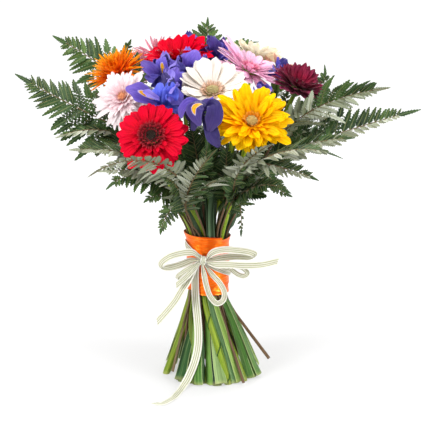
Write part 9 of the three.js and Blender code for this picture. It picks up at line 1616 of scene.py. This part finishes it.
def striped():
    m = Nodes("striped_ribbon_cloth")
    u, v, r, s = (m.attr(x) for x in ("pu", "pv", "pr", "ps"))
    weave = m.noise(m.vec(m.math("MULTIPLY", u, 60.0), m.math("MULTIPLY", v, 30.0), 1.0), 2.0, 2.0)
    wear = m.noise(m.vec(m.math("MULTIPLY", u, 1.2), v, 4.0), 2.4, 3.0)
    stripe = m.math("COSINE", m.math("MULTIPLY", v, 12.6))
    band = m.ramp(stripe, [(0.30, 0.0), (0.62, 1.0)])
    colour = m.mix(band, srgb("#e2e1d6"), srgb("#989d5c"))
    rim = m.ramp(m.math("ABSOLUTE", v), [(0.80, 0.0), (0.88, 1.0)])
    colour = m.mix(rim, colour, srgb("#f5f4ef"))
    colour = m.mix(m.math("MULTIPLY", wear, 0.3), colour, srgb("#e8e6d2"))
    # picots: the outermost threads stand out along both edges
    ticks = m.math("COSINE", m.math("MULTIPLY", u, 420.0))
    height = m.math("ADD", m.math("MULTIPLY", band, -0.8), m.math("MULTIPLY", weave, 0.5))
    height = m.math("ADD", height, m.math("MULTIPLY", m.math("MULTIPLY", rim, ticks), 0.4))
    rough = m.math("ADD", m.math("MULTIPLY", weave, 0.2), 0.45)
    return m.surface(colour, rough, m.bump(height, 0.45, 0.0004), 0.34, 0.25, 0.1)


SATIN = satin()
STRIPED = striped()


def band():
    """Satin ribbon 40 mm wide, wound round the stems for three and a quarter turns."""
    turns, wide = 3.25, 40.0
    n, m = 236, 26
    th = np.linspace(0, turns * 2 * math.pi, n + 1)[:, None]
    v = np.linspace(-1, 1, m + 1)[None, :]
    share = th / th[-1]
    # the first turn lies at the bottom, the last at the top, with a slant between them
    mid = 125.4 + (161.0 - 125.4) * smooth((share - 0.16) / 0.68)
    tilt = 0.10 * np.sin(th * 1.0 + 0.6) * np.sin(share * math.pi)
    z = mid + v * wide / 2 * (1 - 0.02 * np.sin(5 * th)) + 3.4 * tilt * 10 * 0.35
    r = 25.75 + 1.25 * share
    r = r + 0.22 * np.sin(3 * th + 2.0 * v) * (1 - v**2) + 0.16 * np.sin(v * 9 + 1.7 * th) + 0.10 * np.sin(7 * th - 4 * v)
    # every edge rolls out a little, and the top edge flares over the leaves
    r = r + 0.35 * np.abs(v) ** 6
    a = th - math.pi / 2 - 0.9
    z = z - 2.0 * np.cos(a) * share
    r = r + 3.1 * np.clip((z - 169.0) / 12.5, 0, 1) ** 1.5
    z = np.clip(z, 104.8, 183.0)
    g = np.stack([BAND[0] + r * np.cos(a), BAND[1] + r * np.sin(a), z * np.ones_like(r)], -1)
    mesh = Mesh()
    length = turns * 2 * math.pi * 26.4
    mesh.sheets(g, 0.22, 0.5, 0.0, 0, pu=(share * length / 100)[None] * np.ones((1, n + 1, m + 1)))
    ob = mesh.build("satin_band_cloth", [SATIN])
    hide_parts("satin_band")
    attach(ob, "root")
    return length


def strip_frames(p, first_flat=6.0):
    """Width directions along a ribbon: as level with the bouquet's face as it can be."""
    t = unit(np.gradient(p, axis=0))
    out = []
    prev = None
    for k in range(len(p)):
        radial = unit([p[k, 0] - BAND[0], p[k, 1] - BAND[1], 0])
        # the cloth shows its face to the front, as it was arranged
        radial = unit(0.35 * radial + 0.65 * np.array([0.0, -0.974, 0.225]))
        if p[k, 2] < first_flat:
            radial = np.array([0, 0, 1.0])
        a = np.cross(radial, t[k])
        if prev is not None and a @ prev < 0:
            a = -a
        if prev is not None:
            a = a * 0.35 + prev * 0.65
        a = a - t[k] * (a @ t[k])
        a = a / max(np.linalg.norm(a), 1e-6)
        prev = a
        out.append(a)
    out = np.array(out)
    return t, out, np.cross(t, out)


def ribbon():
    mesh = Mesh()
    rng = seeded("ribbon")
    area = 0.0
    total = 0.0
    run = 0.0
    for name, wide, route in RIBBON["strips"]:
        pts = np.array(route)
        long = np.linalg.norm(np.diff(pts, axis=0), axis=1).sum()
        n = int(max(24, long / 1.6))
        p = spline(pts, n + 1)
        t, a, nn = strip_frames(p)
        u = np.linspace(0, 1, n + 1)[:, None]
        v = np.linspace(-1, 1, 13)[None, :]
        # the cloth is 10 mm wide everywhere, gathered at the knot and folded lengthwise where it looks narrower
        free = np.minimum(smooth(u * long / 16), 1.0 if name.endswith("tail") else smooth((1 - u) * long / 16))
        shown = wide / 2 * (0.42 + 0.58 * free)
        deep = np.sqrt(np.maximum(5.0**2 - shown**2, 0)) * 0.34
        ph = rng.random(3) * 6.28
        wave = np.sin(v * 3.6 + ph[0] * 0.2 + 0.8 * np.sin(u * 5 + ph[1]))
        lift = deep * wave + 0.5 * np.sin(u * long / 9 + ph[2]) * free
        side = v * shown
        grid = p[:, None] + a[:, None] * side[..., None] + nn[:, None] * (lift * np.ones_like(side))[..., None]
        if name.endswith("tail"):
            # the end is cut at a slant
            grid = grid + t[:, None] * (v * 0.30 * wide * smooth((u - 0.9) / 0.1))[..., None]
        grid[..., 2] = np.maximum(grid[..., 2], 0.35)
        mesh.sheets(grid, 0.26, rng.random(), 0.0, 0, pu=((run + u * long) / 100)[None] * np.ones((1, n + 1, 13)))
        run += long
    # one turn round the band, slanting
    n = 120
    th = np.linspace(0.02, 2 * math.pi - 0.02, n + 1)[:, None]
    v = np.linspace(-1, 1, 11)[None, :]
    k = RIBBON["knot"]
    r = 28.6 + 0.5 * np.cos(v * 4.2 + 0.7 * np.sin(3 * th)) + 0.25 * np.sin(5 * th)
    a = th - math.pi / 2 - 0.2
    x = BAND[0] + r * np.cos(a)
    y = BAND[1] + r * np.sin(a)
    z = k[2] - 0.65 * (x - k[0]) + v * 4.3 * (1 + 0.12 * np.sin(4 * th))
    mesh.sheets(np.stack([x, y, z], -1), 0.26, 0.4, 0.0, 0, pu=(run / 100 + th * 0.28)[None] * np.ones((1, n + 1, 11)))
    run += 2 * math.pi * 28.6 * 1.19
    # the knot: the ribbon goes twice round itself
    for j, (rx, rz, tiltk, w) in enumerate(((4.2, 5.2, 0.35, 3.7), (4.4, 5.5, -0.45, 3.4))):
        th = np.linspace(0, 2 * math.pi * 0.97, 43)[:, None]
        v = np.linspace(-1, 1, 11)[None, :]
        squeeze = 1 - 0.12 * v**2
        yy = -np.cos(th) * (3.4 + 0.5 * j) * squeeze
        zz = np.sin(th) * rz * squeeze
        xx = v * w + 0.5 * np.sin(2 * th + j)
        lift = 0.35 * np.cos(v * 7 + th)
        x = k[0] + xx * math.cos(tiltk) - zz * math.sin(tiltk) * 0.5
        y = k[1] - 0.9 + yy * (1 + lift * 0.1)
        z = k[2] + zz + xx * math.sin(tiltk)
        mesh.sheets(np.stack([x, y, z], -1), 0.3, 0.6 + 0.2 * j, 0.0, 0, pu=(run / 100 + th * 0.05)[None] * np.ones((1, 43, 11)))
        run += 2 * math.pi * 5.2
    # folded cloth inside the knot
    core = [(k[0] - 3.2, k[1] - 0.8, k[2] + 2.4), (k[0], k[1] - 0.9, k[2]), (k[0] + 3.2, k[1] - 0.8, k[2] - 2.0)]
    mesh.tube(spline(core, 9), [1.2, 1.9, 2.3, 2.6, 2.7, 2.6, 2.3, 1.9, 1.2], [1.7, 2.9, 3.7, 4.1, 4.2, 4.1, 3.7, 2.9, 1.7], 18, [0, 1, 0], 0, pr=0.3, cap_kind=0.0)
    ob = mesh.build("striped_ribbon_cloth", [STRIPED])
    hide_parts("striped_ribbon_bow")
    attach(ob, "root")
    return run


print("satin ribbon mm", band())
print("striped ribbon mm", ribbon())


# ------------------------------------------------------------------ floor, light and camera
def floor():
    me = bpy.data.meshes.new("pale_floor")
    s = 40.0
    me.from_pydata([(-s, -s, -0.0004), (s, -s, -0.0004), (s, s, -0.0004), (-s, s, -0.0004)], [], [(0, 1, 2, 3)])
    ob = bpy.data.objects.new("pale_floor", me)
    bpy.context.scene.collection.objects.link(ob)
    m = Nodes("pale_floor_paint")
    g = m.noise(m.place(), 3.0, 2.0)
    colour = m.ramp(g, [(0.0, (0.265, 0.265, 0.265)), (1.0, (0.275, 0.275, 0.275))])
    # the paper glows evenly, a little more where the lamps do not reach
    far = m.tree.nodes.new("ShaderNodeVectorMath")
    far.operation = "LENGTH"
    m.put(far.inputs[0], m.place())
    away = m.math("DIVIDE", far.outputs["Value"], 8.0, clamp=True)
    glow = m.ramp(away, [(0.0, (0.545,) * 3), (0.045, (0.56,) * 3), (0.10, (0.68,) * 3), (0.21, (0.82,) * 3), (0.44, (0.86,) * 3), (1.0, (0.90,) * 3)])
    mat = m.surface(colour, 0.8, None, 0.0, 0.15, extra={"Emission Color": glow, "Emission Strength": 1.0})
    me.materials.append(mat)


floor()
world = bpy.data.worlds.new("studio_white")
bpy.context.scene.world = world
world.use_nodes = True
world.node_tree.nodes["Background"].inputs[0].default_value = (1.0, 1.0, 1.0, 1.0)
world.node_tree.nodes["Background"].inputs[1].default_value = 0.34


def softbox(name, place, aim, wide, tall, watts, colour=(1.0, 1.0, 1.0)):
    data = bpy.data.lights.new(name, "AREA")
    data.shape = "RECTANGLE"
    data.size, data.size_y = wide, tall
    data.energy = watts
    data.color = colour
    ob = bpy.data.objects.new(name, data)
    bpy.context.scene.collection.objects.link(ob)
    ob.location = place
    d = np.array(aim, float) - np.array(place, float)
    d = d / np.linalg.norm(d)
    from mathutils import Vector

    ob.rotation_euler = Vector(d).to_track_quat("-Z", "Y").to_euler()
    return ob


softbox("softbox_left", (-1.5, -1.35, 1.25), (0, 0, 0.26), 0.6, 1.3, 39.5)
softbox("softbox_right", (1.6, -1.1, 1.0), (0, 0, 0.26), 0.5, 1.2, 25.0)
softbox("softbox_top", (0.0, -0.5, 2.2), (0, 0, 0.25), 1.4, 1.0, 27.0)
softbox("panel_low_left", (-0.50, -0.43, 0.16), (0, 0, 0.15), 0.10, 0.30, 1.1)
softbox("panel_low_right", (0.545, -0.355, 0.16), (0, 0, 0.15), 0.10, 0.30, 1.0)
softbox("softbox_back", (0.35, 1.25, 1.35), (0, 0, 0.36), 1.1, 0.7, 20.0)
sun = bpy.data.lights.new("even_light", "SUN")
sun.energy = 1.12
sun.angle = math.radians(60)
sun_ob = bpy.data.objects.new("even_light", sun)
bpy.context.scene.collection.objects.link(sun_ob)
sun_ob.rotation_euler = (0.0, 0.0, 0.0)

camera = bpy.data.cameras.new("camera")
camera.sensor_fit = "HORIZONTAL"
camera.sensor_width = 36.0
camera.lens = 113.86
camera.clip_start = 0.05
camera.clip_end = 200.0
cam = bpy.data.objects.new("camera", camera)
bpy.context.scene.collection.objects.link(cam)
cam.location = (-0.0033, -1.66453, 0.58528)
cam.rotation_euler = (math.radians(77.0), 0.0, 0.0)
bpy.context.scene.camera = cam
bpy.context.scene.view_settings.view_transform = "Standard"
bpy.context.scene.view_settings.look = "None"
